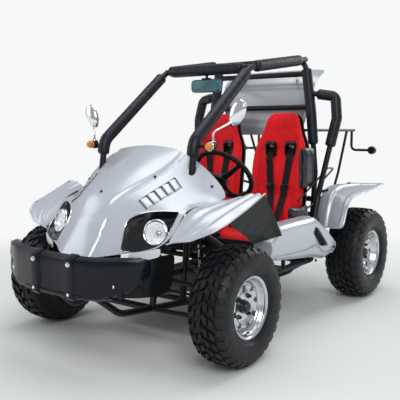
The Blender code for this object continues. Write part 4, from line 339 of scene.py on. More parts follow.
class Finish:
    """A Principled material whose colour, roughness and bump come from textures in object space."""

    def __init__(self, name, **sockets):
        self.material = bpy.data.materials.new(name)
        self.material.use_nodes = True
        self.tree = self.material.node_tree
        self.shader = self.tree.nodes["Principled BSDF"]
        for socket, value in sockets.items():
            self.shader.inputs[socket.replace("_", " ")].default_value = value
        coords = self.tree.nodes.new("ShaderNodeTexCoord")
        self.place = coords.outputs["Object"]
        self.relief = None

    def noise(self, scale, detail=3.0, stretch=None, rough=0.5):
        node = self.tree.nodes.new("ShaderNodeTexNoise")
        node.inputs["Scale"].default_value = scale
        node.inputs["Detail"].default_value = detail
        node.inputs["Roughness"].default_value = rough
        self.tree.links.new(self.stretched(stretch), node.inputs["Vector"])
        return node.outputs["Fac"]

    def cells(self, scale, feature="F1", stretch=None):
        node = self.tree.nodes.new("ShaderNodeTexVoronoi")
        node.feature = feature
        node.inputs["Scale"].default_value = scale
        self.tree.links.new(self.stretched(stretch), node.inputs["Vector"])
        return node.outputs["Distance"]

    def waves(self, scale, direction="X", turn=None, distortion=0.0):
        node = self.tree.nodes.new("ShaderNodeTexWave")
        node.bands_direction = direction
        node.inputs["Scale"].default_value = scale
        node.inputs["Distortion"].default_value = distortion
        self.tree.links.new(self.stretched(None, turn), node.inputs["Vector"])
        return node.outputs["Fac"]

    def stretched(self, stretch, turn=None):
        if not stretch and not turn:
            return self.place
        node = self.tree.nodes.new("ShaderNodeMapping")
        node.inputs["Scale"].default_value = stretch or (1, 1, 1)
        node.inputs["Rotation"].default_value = turn or (0, 0, 0)
        self.tree.links.new(self.place, node.inputs["Vector"])
        return node.outputs["Vector"]

    def ramp(self, factor, stops):
        node = self.tree.nodes.new("ShaderNodeValToRGB")
        ramp = node.color_ramp
        while len(ramp.elements) < len(stops):
            ramp.elements.new(0.5)
        for element, (spot, colour) in zip(ramp.elements, stops):
            element.position = spot
            element.color = (*colour, 1)
        self.tree.links.new(factor, node.inputs["Fac"])
        return node.outputs["Color"]

    def colour(self, factor, stops):
        self.tree.links.new(self.ramp(factor, stops), self.shader.inputs["Base Color"])
        return self

    def roughness(self, factor, low, high):
        grey = [(0.3, (low, low, low)), (0.7, (high, high, high))]
        self.tree.links.new(self.ramp(factor, grey), self.shader.inputs["Roughness"])
        return self

    def bump(self, height, strength, distance):
        node = self.tree.nodes.new("ShaderNodeBump")
        node.inputs["Strength"].default_value = strength
        node.inputs["Distance"].default_value = distance
        self.tree.links.new(height, node.inputs["Height"])
        if self.relief:
            self.tree.links.new(self.relief, node.inputs["Normal"])
        self.relief = node.outputs["Normal"]
        self.tree.links.new(self.relief, self.shader.inputs["Normal"])
        return self


def shades(colour, spread):
    """Two colours round a middle one, for a ramp."""
    low = tuple(max(0.0, channel * (1 - spread)) for channel in colour)
    high = tuple(min(1.0, channel * (1 + spread)) for channel in colour)
    return [(0.35, low), (0.65, high)]


def finish_of(name, sockets, grain, stops, wear, shine, *bumps):
    """A material whose colour and roughness follow noises and whose bumps follow textures."""
    made = Finish(name, **sockets)
    textures = {"noise": made.noise, "cells": made.cells, "waves": made.waves}
    made.colour(made.noise(*grain), stops)
    made.roughness(made.noise(*wear), *shine)
    for kind, values, strength, distance in bumps:
        made.bump(textures[kind](*values), strength, distance)
    return made.material


# Each finish: sockets, noise and stops of its colour, noise and range of its roughness, and its bumps
# as texture, values, strength and distance
LOOKS = {
    "silver_paint": (
        dict(Metallic=0.35, Coat_Weight=0.5, Coat_Roughness=0.08),
        (2.5,), shades((0.56, 0.595, 0.66), 0.04), (9, 4), (0.27, 0.36),
        ("noise", (700, 1), 0.04, 0.0004),
    ),
    "grey_paint": (
        dict(Metallic=0.45, Coat_Weight=0.35, Coat_Roughness=0.12),
        (3,), shades((0.46, 0.475, 0.50), 0.05), (9, 4), (0.32, 0.42),
        ("noise", (650, 1), 0.05, 0.0004),
    ),
    "powder_coat": (
        dict(Coat_Weight=0.1, Coat_Roughness=0.2, Specular_IOR_Level=0.3),
        (6,), shades((0.0045, 0.0048, 0.006), 0.2), (14, 4), (0.28, 0.42),
        ("noise", (260, 2), 0.12, 0.0006),
    ),
    "pad_vinyl": (
        dict(Coat_Weight=0.12, Coat_Roughness=0.3, Specular_IOR_Level=0.3),
        (7,), shades((0.005, 0.0065, 0.014), 0.25), (30, 4), (0.36, 0.5),
        ("cells", (420,), 0.22, 0.0006), ("noise", (40, 3), 0.25, 0.002),
    ),
    "moulded_black": (
        dict(Specular_IOR_Level=0.25), (5,), shades((0.0045, 0.005, 0.006), 0.2),
        (20, 4), (0.36, 0.5), ("cells", (500,), 0.16, 0.0005),
    ),
    "bumper_black": (
        dict(Coat_Weight=0.1, Coat_Roughness=0.1, Specular_IOR_Level=0.22),
        (4,), shades((0.003, 0.004, 0.010), 0.2), (18, 4), (0.17, 0.27),
        ("noise", (180, 2), 0.08, 0.0006),
    ),
    "red_cloth": (
        dict(Sheen_Weight=0.06, Sheen_Roughness=0.4, Specular_IOR_Level=0.3),
        (9, 4), shades((0.74, 0.003, 0.009), 0.14), (40, 3), (0.6, 0.78),
        ("waves", (210, "X"), 0.18, 0.0006), ("waves", (210, "Z"), 0.18, 0.0006),
    ),
    "black_vinyl": (
        dict(Coat_Weight=0.5, Coat_Roughness=0.15, Specular_IOR_Level=0.4),
        (8,), shades((0.004, 0.0055, 0.013), 0.2), (24, 3), (0.26, 0.4),
        ("cells", (380,), 0.2, 0.0006),
    ),
    "gloss_black": (
        dict(Coat_Weight=0.45, Coat_Roughness=0.06, Specular_IOR_Level=0.35),
        (6,), shades((0.004, 0.0045, 0.006), 0.2), (20, 3), (0.2, 0.32),
        ("noise", (160, 2), 0.04, 0.0004),
    ),
    "pale_lens": (
        dict(Coat_Weight=0.6, Coat_Roughness=0.05), (10, 2), shades((0.78, 0.80, 0.83), 0.05),
        (20, 2), (0.12, 0.2), ("waves", (70, "X"), 0.3, 0.0015),
    ),
    "webbing": (
        dict(Sheen_Weight=0.03, Specular_IOR_Level=0.25),
        (30, 3), shades((0.006, 0.0063, 0.0075), 0.3), (60, 2), (0.6, 0.75),
        ("waves", (330, "Z", None, 0.5), 0.35, 0.0008),
    ),
    "tyre_rubber": (
        dict(Coat_Weight=0.12, Coat_Roughness=0.3, Specular_IOR_Level=0.3),
        (12, 5), shades((0.0055, 0.0058, 0.0075), 0.3), (30, 4), (0.42, 0.6),
        ("noise", (320, 3), 0.2, 0.0007),
    ),
    "polished_steel": (
        dict(Metallic=1.0), (5, 3), shades((0.66, 0.67, 0.69), 0.06),
        (60, 3, (1, 1, 6)), (0.16, 0.28), ("noise", (240, 2, (1, 1, 8)), 0.05, 0.0004),
    ),
    # The reflector's emission is painted light: a glow that stands in for the light the unlit bowl would
    # reflect.
    "lamp_reflector_painted_glow": (
        dict(Metallic=0.45, Emission_Strength=0.28, Emission_Color=(0.9, 0.93, 0.97, 1)),
        (5, 2), shades((0.86, 0.87, 0.89), 0.03), (25, 3), (0.22, 0.34),
    ),
    "chrome": (
        dict(Metallic=1.0), (4, 2), shades((0.82, 0.83, 0.85), 0.03), (25, 3), (0.04, 0.11),
    ),
    "dark_steel": (
        dict(Metallic=0.85), (14, 4), shades((0.05, 0.05, 0.055), 0.25), (35, 4), (0.34, 0.5),
        ("noise", (220, 3), 0.15, 0.0006),
    ),
    "cast_alloy": (
        dict(Metallic=0.8), (10, 4), shades((0.36, 0.37, 0.39), 0.15), (40, 4), (0.42, 0.58),
        ("noise", (280, 4), 0.35, 0.001),
    ),
    "amber_glass": (
        dict(Transmission_Weight=0.35, IOR=1.5, Coat_Weight=0.6, Coat_Roughness=0.05),
        (20, 2), shades((0.95, 0.34, 0.02), 0.08), (30, 2), (0.1, 0.18),
        ("waves", (60, "X"), 0.4, 0.002),
    ),
    "red_glass": (
        dict(Transmission_Weight=0.25, IOR=1.5, Coat_Weight=0.6, Coat_Roughness=0.05),
        (20, 2), shades((0.6, 0.01, 0.01), 0.08), (30, 2), (0.1, 0.18),
        ("waves", (60, "X"), 0.4, 0.002),
    ),
    "clear_glass": (
        dict(Transmission_Weight=1.0, IOR=1.45),
        (3, 2), [(0.3, (0.97, 0.98, 0.99)), (0.7, (1.0, 1.0, 1.0))], (12, 2), (0.0, 0.03),
    ),
    "teal_gloss": (
        dict(Coat_Weight=0.8, Coat_Roughness=0.04), (14, 3), shades((0.01, 0.10, 0.12), 0.3),
        (20, 3), (0.14, 0.26), ("waves", (28, "X"), 0.35, 0.003),
    ),
    "red_paint": (
        dict(Coat_Weight=0.5, Coat_Roughness=0.1), (6, 3), shades((0.55, 0.01, 0.015), 0.1),
        (16, 3), (0.26, 0.36),
    ),
    "floor_plate": (
        dict(Metallic=0.3), (8, 4), shades((0.03, 0.031, 0.034), 0.25), (30, 4), (0.4, 0.6),
        ("waves", (22, "DIAGONAL"), 0.3, 0.002),
    ),
}

FINISHES = {name: finish_of(name, *look) for name, look in LOOKS.items()}


def dress(node, finish):
    """Give a CAD node that keeps its shape a finished material."""
    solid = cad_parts[node]
    if not solid.material_slots:
        solid.data.materials.append(None)
    for holder in solid.material_slots:
        holder.material = FINISHES[finish]


def link(name, mesh):
    """Put new data into the scene as an object."""
    made = bpy.data.objects.new(name, mesh)
    bpy.context.scene.collection.objects.link(made)
    return made


def plain(source):
    """Turn a curve or an object with modifiers into a plain mesh object at the origin."""
    bpy.context.view_layer.update()
    graph = bpy.context.evaluated_depsgraph_get()
    mesh = bpy.data.meshes.new_from_object(source.evaluated_get(graph))
    mesh.transform(source.matrix_world)
    name = source.name
    bpy.data.objects.remove(source, do_unlink=True)
    return link(name, mesh)


def joined(name, parts):
    """One mesh object from several, without welding them."""
    build = bmesh.new()
    for part in parts:
        build.from_mesh(part.data)
        bpy.data.objects.remove(part, do_unlink=True)
    mesh = bpy.data.meshes.new(name)
    build.to_mesh(mesh)
    build.free()
    return link(name, mesh)


def show(source, name, finish, body="chassis", replaces=(), smooth=35):
    """Name a finished piece, give it its material and hang it on its body."""
    source.name = name
    mesh = source.data
    mesh.name = name
    mesh.materials.clear()
    mesh.materials.append(FINISHES[finish])
    mesh.polygons.foreach_set("use_smooth", [True] * len(mesh.polygons))
    mesh.set_sharp_from_angle(angle=radians(smooth))
    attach(source, body)
    if replaces:
        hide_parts(*replaces)
    return source


def flip(mesh_source, name):
    """A copy mirrored to the kart's right side."""
    mesh = mesh_source.data.copy()
    mesh.transform(Matrix.Scale(-1, 4, (1, 0, 0)))
    mesh.flip_normals()
    return link(name, mesh)


def both_sides(source, name, finish, bodies=("chassis", "chassis"), nodes=(), smooth=35):
    """Show a left hand piece and its mirrored copy."""
    other = flip(source, name + "_right")
    show(source, name + "_left", finish, bodies[0], [n + "_left" for n in nodes], smooth)
    show(other, name + "_right", finish, bodies[1], [n + "_right" for n in nodes], smooth)


def side_of(points, side):
    """Points as they lie on one side of the kart."""
    return [Vector((side * x, y, z)) for x, y, z in points]


def bar(spot):
    """The two ends of a bar that runs across the kart."""
    return [Vector((-spot[0], spot[1], spot[2])), Vector(spot)]


def rounded(points, bend, steps=7):
    """Round the corners of a run of points as a tube bender does."""
    path = [points[0]]
    for before, corner, after in zip(points, points[1:], points[2:]):
        into = before - corner
        out = after - corner
        half = into.angle(out) / 2
        reach = min(bend / tan(half), 0.48 * min(into.length, out.length))
        start = corner + into.normalized() * reach
        end = corner + out.normalized() * reach
        for step in range(steps + 1):
            share = step / steps
            path.append(start.lerp(corner, share).lerp(corner.lerp(end, share), share))
    path.append(points[-1])
    return path


def pipe(points, radius, bend=BEND_RADIUS, sides=16, closed=False, radii=None):
    """A smooth tube along a run of points."""
    spots = [Vector(point) for point in points]
    path = spots if closed or bend == 0 else rounded(spots, bend)
    curve = bpy.data.curves.new("pipe", "CURVE")
    curve.dimensions = "3D"
    curve.bevel_depth = radius
    curve.bevel_resolution = (sides - 4) // 2
    curve.use_fill_caps = True
    spline = curve.splines.new("POLY")
    spline.points.add(len(path) - 1)
    for index, (point, spot) in enumerate(zip(spline.points, path)):
        point.co = (*spot, 1.0)
        point.radius = radii[index] if radii else 1.0
    spline.use_cyclic_u = closed
    return plain(link("pipe", curve))


def bolt(spot, way, radius=0.009, height=0.006):
    """A hexagon bolt head on its washer."""
    build = bmesh.new()
    for size, low, high, sides in ((radius * 1.35, -0.001, 0.0015, 20), (radius, 0.0015, height, 6)):
        bmesh.ops.create_cone(
            build, cap_ends=True, segments=sides, radius1=size, radius2=size * 0.94,
            depth=high - low, matrix=Matrix.Translation((0, 0, (low + high) / 2)),
        )
    mesh = bpy.data.meshes.new("bolt")
    build.to_mesh(mesh)
    build.free()
    turn = Vector(way).to_track_quat("Z", "Y").to_matrix().to_4x4()
    mesh.transform(Matrix.Translation(Vector(spot)) @ turn)
    return link("bolt", mesh)


def revolved(profile, segments=64, closed=False):
    """Turn a profile of (radius, height) points about the local Z axis."""
    mesh = bpy.data.meshes.new("revolved")
    points = [(radius, 0, height) for radius, height in profile]
    edges = [(index, index + 1) for index in range(len(points) - 1)]
    if closed:
        edges.append((len(points) - 1, 0))
    mesh.from_pydata(points, edges, [])
    made = link("revolved", mesh)
    screw = made.modifiers.new("screw", "SCREW")
    screw.steps = segments
    screw.render_steps = segments
    screw.use_merge_vertices = True
    screw.merge_threshold = 0.00001
    made = plain(made)
    build = bmesh.new()
    build.from_mesh(made.data)
    bmesh.ops.recalc_face_normals(build, faces=build.faces)
    build.to_mesh(made.data)
    build.free()
    return made


def moved(source, matrix):
    """Move a mesh by a matrix."""
    source.data.transform(matrix)
    return source


def toward(spot, way, roll="Y"):
    """The matrix that stands local Z along a direction at a spot."""
    return Matrix.Translation(Vector(spot)) @ Vector(way).to_track_quat("Z", roll).to_matrix().to_4x4()


def turned(profile, segments, spot, way=(1, 0, 0), closed=False):
    """A revolved profile stood at a spot along a direction."""
    return moved(revolved(profile, segments, closed), toward(spot, way))


def slab(centre, size, edge=0.004, segments=3, matrix=None):
    """A block with rounded edges."""
    build = bmesh.new()
    bmesh.ops.create_cube(build, size=1, matrix=Matrix.Diagonal((*size, 1.0)))
    if edge:
        bmesh.ops.bevel(
            build, geom=build.edges[:], offset=edge, segments=segments, affect="EDGES", profile=0.5,
        )
    mesh = bpy.data.meshes.new("slab")
    build.to_mesh(mesh)
    build.free()
    mesh.transform(Matrix.Translation(Vector(centre)) @ (matrix or Matrix.Identity(4)))
    return link("slab", mesh)


def sheet_of(rows, thickness=0.004, levels=2, mirror=False, relief=None):
    """A moulded panel from rows of points, smoothed, with relief pressed into its skin."""
    build = bmesh.new()
    spots = [[build.verts.new(spot) for spot in row] for row in rows]
    chart = build.loops.layers.uv.new("chart")
    across, along = len(rows[0]) - 1, len(rows) - 1
    for j in range(along):
        for i in range(across):
            face = build.faces.new((spots[j][i], spots[j][i + 1], spots[j + 1][i + 1], spots[j + 1][i]))
            for corner, (u, v) in zip(face.loops, ((i, j), (i + 1, j), (i + 1, j + 1), (i, j + 1))):
                corner[chart].uv = (u / across, v / along)
    mesh = bpy.data.meshes.new("sheet")
    build.to_mesh(mesh)
    build.free()
    made = link("sheet", mesh)
    if mirror:
        half = made.modifiers.new("mirror", "MIRROR")
        half.merge_threshold = 0.0001
        half.use_clip = True
    soften = made.modifiers.new("soften", "SUBSURF")
    soften.levels = levels
    soften.render_levels = levels
    made = plain(made)
    if relief:
        made = press(made, relief)
    if not thickness:
        return made
    wall = made.modifiers.new("wall", "SOLIDIFY")
    wall.thickness = thickness
    wall.offset = -1
    return plain(made)


# Frame, cage and rack


def frame_and_cage():
    """The welded tubes of the frame and the cage."""
    runs = []
    for _, side in LEFT_RIGHT:
        for table in (LOWER_RAIL, NOSE_RAIL, SIDE_RAIL, TOWER_LEG, FRONT_LEG, ARM_RAIL):
            runs.append(pipe(side_of(table, side), FRAME_RADIUS))
        for table in OUTRIGGERS + POD_BRACKETS:
            runs.append(pipe(side_of(table, side), BRACE_RADIUS))
        runs.append(pipe([(side * 0.285, -0.571, 0.575), (side * 0.36, -0.571, 0.575)], 0.006))
    for spot in CROSS_TUBES:
        runs.append(pipe(bar(spot), FRAME_RADIUS))
    axis = Vector((0, cos(radians(40)), sin(radians(40))))
    wheel = Vector((0.22, -0.1865, 0.80))
    runs.append(pipe([wheel - axis * 0.14, wheel - axis * 0.43], 0.018, 0, 20))
    runs.append(pipe([(0.22, -0.571, 0.6), wheel - axis * 0.285], BRACE_RADIUS, 0))
    show(joined("frame_tubes", runs), "frame_tubes", "powder_coat", replaces=["frame"])
    for name, side in LEFT_RIGHT:
        rail = pipe(side_of(CAGE_SIDE, side), FRAME_RADIUS)
        show(rail, "cage_rail_tube_" + name, "powder_coat", replaces=["cage_rail_" + name])
        guard = pipe(side_of(SIDE_GUARD, side), FRAME_RADIUS, SMALL_BEND_RADIUS)
        show(guard, "side_guard_tube_" + name, "powder_coat", replaces=["side_guard_" + name])
    loop = [pipe(side_of(HOOP, 1) + side_of(HOOP, -1)[::-1], FRAME_RADIUS)]
    loop += [pipe(bar(spot), FRAME_RADIUS) for spot in HOOP_BARS]
    for _, side in LEFT_RIGHT:
        loop.append(pipe([(side * 0.126, 0.569, 0.621), (side * 0.174, 0.569, 0.621)], 0.006))
        for x in (0.131, 0.169):
            loop.append(slab((side * x, 0.556, 0.621), (0.006, 0.05, 0.028), 0.002))
    show(joined("hoop_tubes", loop), "hoop_tubes", "powder_coat", replaces=["cage_hoop"])
    show(pipe(bar(ROOF_BAR), FRAME_RADIUS), "roof_bar_tube", "powder_coat", replaces=["roof_bar"])


def foam_sleeve(points, name, bend=BEND_RADIUS, wrap=True):
    """A soft foam sleeve on a tube, crowned at its ends and wrapped round with tape."""
    path = rounded([Vector(point) for point in points], bend, 8)
    fine = resampled(path, 0.006)
    length = len(fine) - 1
    radii = []
    for index in range(len(fine)):
        end = min(index, length - index) * 0.006
        crown = 0.62 + 0.38 * min(1.0, end / 0.012) ** 0.5
        turn = (index * 0.006 / 0.05) % 1.0
        ridge = 0.955 + 0.045 * min(1.0, turn / 0.2) if wrap else 1.0
        radii.append(crown * ridge)
    sleeve = pipe(fine, PAD_RADIUS, 0, 20, radii=radii)
    sleeve.name = name
    return sleeve


def resampled(path, step):
    """Points at an even spacing along a path."""
    spots = [path[0]]
    left = step
    for start, end in zip(path, path[1:]):
        span = (end - start).length
        while left <= span:
            spots.append(start.lerp(end, left / span))
            left += step
        left -= span
    if (spots[-1] - path[-1]).length > step / 3:
        spots.append(path[-1])
    return spots


def foam_pads():
    """The foam sleeves of the cage."""
    jobs = [("roof_bar_pad", ROOF_BAR_PAD, BEND_RADIUS)]
    pads = []
    for name, side in LEFT_RIGHT:
        pads.append(("pillar_pad_" + name, side_of(PILLAR_PAD, side), BEND_RADIUS))
        pads.append(("roof_pad_" + name, side_of(ROOF_PAD, side), BEND_RADIUS))
        pads.append(("hoop_pad_" + name, side_of(HOOP_PAD, side), BEND_RADIUS))
        pads.append(("guard_pad_" + name, side_of(GUARD_PAD, side), SMALL_BEND_RADIUS))
    for name, points, bend in jobs + pads:
        sleeve = show(foam_sleeve(points, name, bend), name, "pad_vinyl", smooth=60)


def luggage_rack():
    """The tube rack with its stays and tail lamps."""
    runs = []
    for _, side in LEFT_RIGHT:
        runs.append(pipe(side_of(RACK_RAIL, side), RACK_RADIUS, SMALL_BEND_RADIUS, 12))
        runs.append(pipe(side_of(RACK_STAY, side), RACK_RADIUS, SMALL_BEND_RADIUS, 12))
        lamp = Vector((side * TAIL_LAMP[0], TAIL_LAMP[1] - 0.032, TAIL_LAMP[2]))
        low = Vector((side * 0.36, lamp.y, lamp.z))
        runs.append(
            pipe([Vector((side * 0.36, lamp.y, 1.029)), low, lamp], RACK_RADIUS, SMALL_BEND_RADIUS, 12)
        )
        cup = revolved(
            [(0, 0), (0.02, 0), (0.0262, 0.008), (0.0262, 0.032), (0.024, 0.034), (0, 0.034)], 32
        )
        runs.append(moved(cup, toward(lamp + Vector((0, -0.014, 0)), (0, 1, 0))))
        lens = revolved(
            [(0, 0.033), (0.0235, 0.033), (0.0235, 0.038), (0.02, 0.043), (0.011, 0.0465), (0, 0.0475)],
            32
        )
        moved(lens, toward(lamp + Vector((0, -0.014, 0)), (0, 1, 0)))
        show(lens, "tail_lens_" + ("left" if side > 0 else "right"), "red_glass")
    for spot in RACK_CROSS:
        runs.append(pipe(bar(spot), RACK_RADIUS, 0, 12))
    show(joined("rack_tubes", runs), "rack_tubes", "powder_coat", replaces=["luggage_rack"])


# Panels


def press(made, relief):
    """Raise a panel's skin along its normals by relief(across, along, spot)."""
    mesh = made.data
    chart = mesh.uv_layers["chart"].data
    shares = {loop.vertex_index: chart[loop.index].uv.copy() for loop in mesh.loops}
    normals = [vertex.normal.copy() for vertex in mesh.vertices]
    for vertex in mesh.vertices:
        across, along = shares[vertex.index]
        vertex.co += normals[vertex.index] * relief(across, along, vertex.co)
    return made


def ease(value, low, high):
    """A smooth step from 0 at low to 1 at high."""
    share = min(1.0, max(0.0, (value - low) / (high - low)))
    return share * share * (3 - 2 * share)


def groove(value, middle, width):
    """The depth of a soft line beside its middle, from 0 to 1."""
    return max(0.0, 1 - abs(value - middle) / width) ** 1.5


def cut_with(subject, cutter):
    """One exact Boolean difference, applied."""
    step = subject.modifiers.new("cut", "BOOLEAN")
    step.operation = "DIFFERENCE"
    step.solver = "EXACT"
    step.object = cutter
    made = plain(subject)
    bpy.data.objects.remove(cutter, do_unlink=True)
    return made


def soft_outline(points, shares, steps=8):
    """A closed outline with each corner rounded by its own share of its sides."""
    spots = [Vector(point) for point in points]
    path = []
    for index, corner in enumerate(spots):
        before, after = spots[index - 1], spots[(index + 1) % len(spots)]
        start = corner.lerp(before, shares[index])
        end = corner.lerp(after, shares[index])
        for step in range(steps + 1):
            share = step / steps
            path.append(start.lerp(corner, share).lerp(corner.lerp(end, share), share))
    clean = [path[0]]
    for spot in path[1:]:
        if (spot - clean[-1]).length > 0.0004:
            clean.append(spot)
    if (clean[-1] - clean[0]).length < 0.0004:
        clean.pop()
    return clean


def ring_loft(rings, caps=True):
    """A closed skin through rings of equal length."""
    build = bmesh.new()
    spots = [[build.verts.new(spot) for spot in ring] for ring in rings]
    count = len(rings[0])
    for lower, upper in zip(spots, spots[1:]):
        for index in range(count):
            following = (index + 1) % count
            build.faces.new((lower[index], lower[following], upper[following], upper[index]))
    if caps:
        build.faces.new(spots[0])
        build.faces.new(spots[-1])
    bmesh.ops.recalc_face_normals(build, faces=build.faces)
    mesh = bpy.data.meshes.new("loft")
    build.to_mesh(mesh)
    build.free()
    return link("loft", mesh)


def softened(subject, levels=0, edge=0.0, segments=3, angle=24):
    """Round an object's edges and subdivide it, as asked."""
    if edge:
        round_edges = subject.modifiers.new("round", "BEVEL")
        round_edges.width = edge
        round_edges.segments = segments
        round_edges.limit_method = "ANGLE"
        round_edges.angle_limit = radians(angle)
        round_edges.harden_normals = False
    if levels:
        soften = subject.modifiers.new("soften", "SUBSURF")
        soften.levels = levels
        soften.render_levels = levels
    return plain(subject)


def skin_of(subject):
    """A search tree over a mesh, for setting pieces down on it."""
    mesh = subject.data
    return BVHTree.FromPolygons(
        [v.co for v in mesh.vertices], [tuple(p.vertices) for p in mesh.polygons]
    )


def hood_relief(across, along, spot):
    """The raised cowl up the middle, the nose plate and the shoulder crease."""
    side = abs(spot.x)
    edge = 0.085 + 0.125 * ease(along, 0.42, 1.0)
    cowl = 0.009 * ease(edge - side, 0.0, 0.018) * ease(along, 0.40, 0.56)
    plate = 0.005 * ease(0.093 - side, 0.0, 0.008) * (1 - ease(along, 0.30, 0.40))
    crease = -0.004 * groove(side, edge + 0.012, 0.012) * ease(along, 0.45, 0.6)
    return cowl + plate + crease


def hood():
    """The nose and hood with its lamp windows, pillar holes, louvres and screws."""
    panel = sheet_of(HOOD, levels=4, mirror=True, relief=hood_relief, thickness=0.0)
    skin = skin_of(panel)
    wall = panel.modifiers.new("wall", "SOLIDIFY")
    wall.thickness = 0.004
    wall.offset = -1
    panel = plain(panel)
    outline = soft_outline(LAMP_WINDOW, LAMP_WINDOW_ROUNDS)
    for _, side in LEFT_RIGHT:
        flat = [Vector((side * p.x, p.y, p.z)) for p in outline]
        way = Vector((side * LAMP_NORMAL.x, LAMP_NORMAL.y, LAMP_NORMAL.z))
        panel = cut_with(
            panel, ring_loft([[p + way * 0.07 for p in flat], [p - way * 0.07 for p in flat]])
        )
        panel = cut_with(panel, pipe(side_of(CAGE_SIDE, side)[:3], FRAME_RADIUS + 0.004, sides=24))
    show(panel, "hood_panel", "silver_paint", replaces=["hood"], smooth=30)
    on_skin = []
    for spot in outline:
        hit, _, _, _ = skin.ray_cast(spot + LAMP_NORMAL * 0.05, -LAMP_NORMAL)
        on_skin.append(hit if hit else spot)
    trim = pipe(on_skin, 0.0026, 0, 8, closed=True)
    both_sides(trim, "lamp_window_trim", "chrome")
    lamp_tub(on_skin)
    for name, side in LEFT_RIGHT:
        louvres(skin, name, side)
    screws = []
    for x, y in ((0.174, -0.68), (-0.174, -0.68), (0.0, -0.852), (0.40, -0.545), (-0.40, -0.545)):
        hit, normal, _, _ = skin.ray_cast(Vector((x, y, 1.4)), Vector((0, 0, -1)))
        if hit:
            screws.append(bolt(hit, normal, 0.0055, 0.005))
    show(joined("hood_screws", screws), "hood_screws", "dark_steel")


def lamp_tub(edge):
    """The black moulding between the hood's window and the lamp."""
    middle = sum(edge, Vector()) / len(edge)
    rings = []
    for size, depth in (
        (0.995, 0.0005), (0.985, 0.004), (0.93, 0.014), (0.86, 0.026), (0.80, 0.032), (0.4, 0.033)
    ):
        rings.append([middle + (spot - middle) * size - LAMP_NORMAL * depth for spot in edge])
    rings.append([middle - LAMP_NORMAL * 0.033 + (spot - middle) * 0.01 for spot in edge])
    tub = ring_loft(rings, caps=False)
    wall = tub.modifiers.new("wall", "SOLIDIFY")
    wall.thickness = 0.002
    wall.offset = 0
    opening = pipe([LAMP - LAMP_AIM * 0.08, LAMP + LAMP_AIM * 0.05], 0.0540, 0, 48)
    both_sides(cut_with(plain(tub), opening), "lamp_tub", "gloss_black", nodes=["headlight_bezel"])


def louvres(skin, name, side):
    """Five raised slats between six black lines of painted shade in the slits, and a black line of
    painted shade along the inner edge, on the shoulder of the hood.
    """
    corners = [Vector(p) for p in LOUVRE_CORNERS]
    way = Vector((side * 0.42, -0.6, 0.68)).normalized()

    def landed(low, high, share, lift):
        spot = low.lerp(high, share)
        spot = Vector((side * spot.x, spot.y, spot.z))
        hit, _, _, _ = skin.ray_cast(spot + way * 0.08, -way)
        return (hit or spot) + way * lift

    slats = []
    lines = []
    count = 5
    for index in range(count + 1):
        share = index / count
        inner = landed(corners[0], corners[2], share, 0.0012)
        outer = landed(corners[1], corners[3], share, 0.0012)
        # A black line in each slit: painted shade of the opening between the slats.
        lines.append(pipe([inner, inner.lerp(outer, 0.5) + way * 0.0008, outer], 0.0019, 0, 8))
        if index == count:
            break
        ahead = (index + 0.10) / count
        behind = (index + 0.96) / count
        rings = []
        for step in range(5):
            across = 0.04 + 0.92 * step / 4
            start = landed(
                corners[0].lerp(corners[1], across), corners[2].lerp(corners[3], across), ahead, 0.0
            )
            finish = landed(
                corners[0].lerp(corners[1], across), corners[2].lerp(corners[3], across), behind,
                0.0
            )
            rings.append([
                start - way * 0.003, start + way * 0.0075, start.lerp(finish, 0.3) + way * 0.0068,
                start.lerp(finish, 0.7) + way * 0.003, finish + way * 0.0004, finish - way * 0.003,
            ])
        slats.append(softened(ring_loft(rings), edge=0.0012, segments=2))
    # A black line along the inner edge: painted shade.
    top = [landed(corners[0], corners[2], step / 8, 0.0015) for step in range(9)]
    lines.append(pipe(top, 0.0028, 0, 8))
    show(joined("slats", slats), "louvre_slats_" + name, "silver_paint", smooth=40)
    show(joined("slits", lines), "louvre_slit_shade_" + name, "gloss_black")


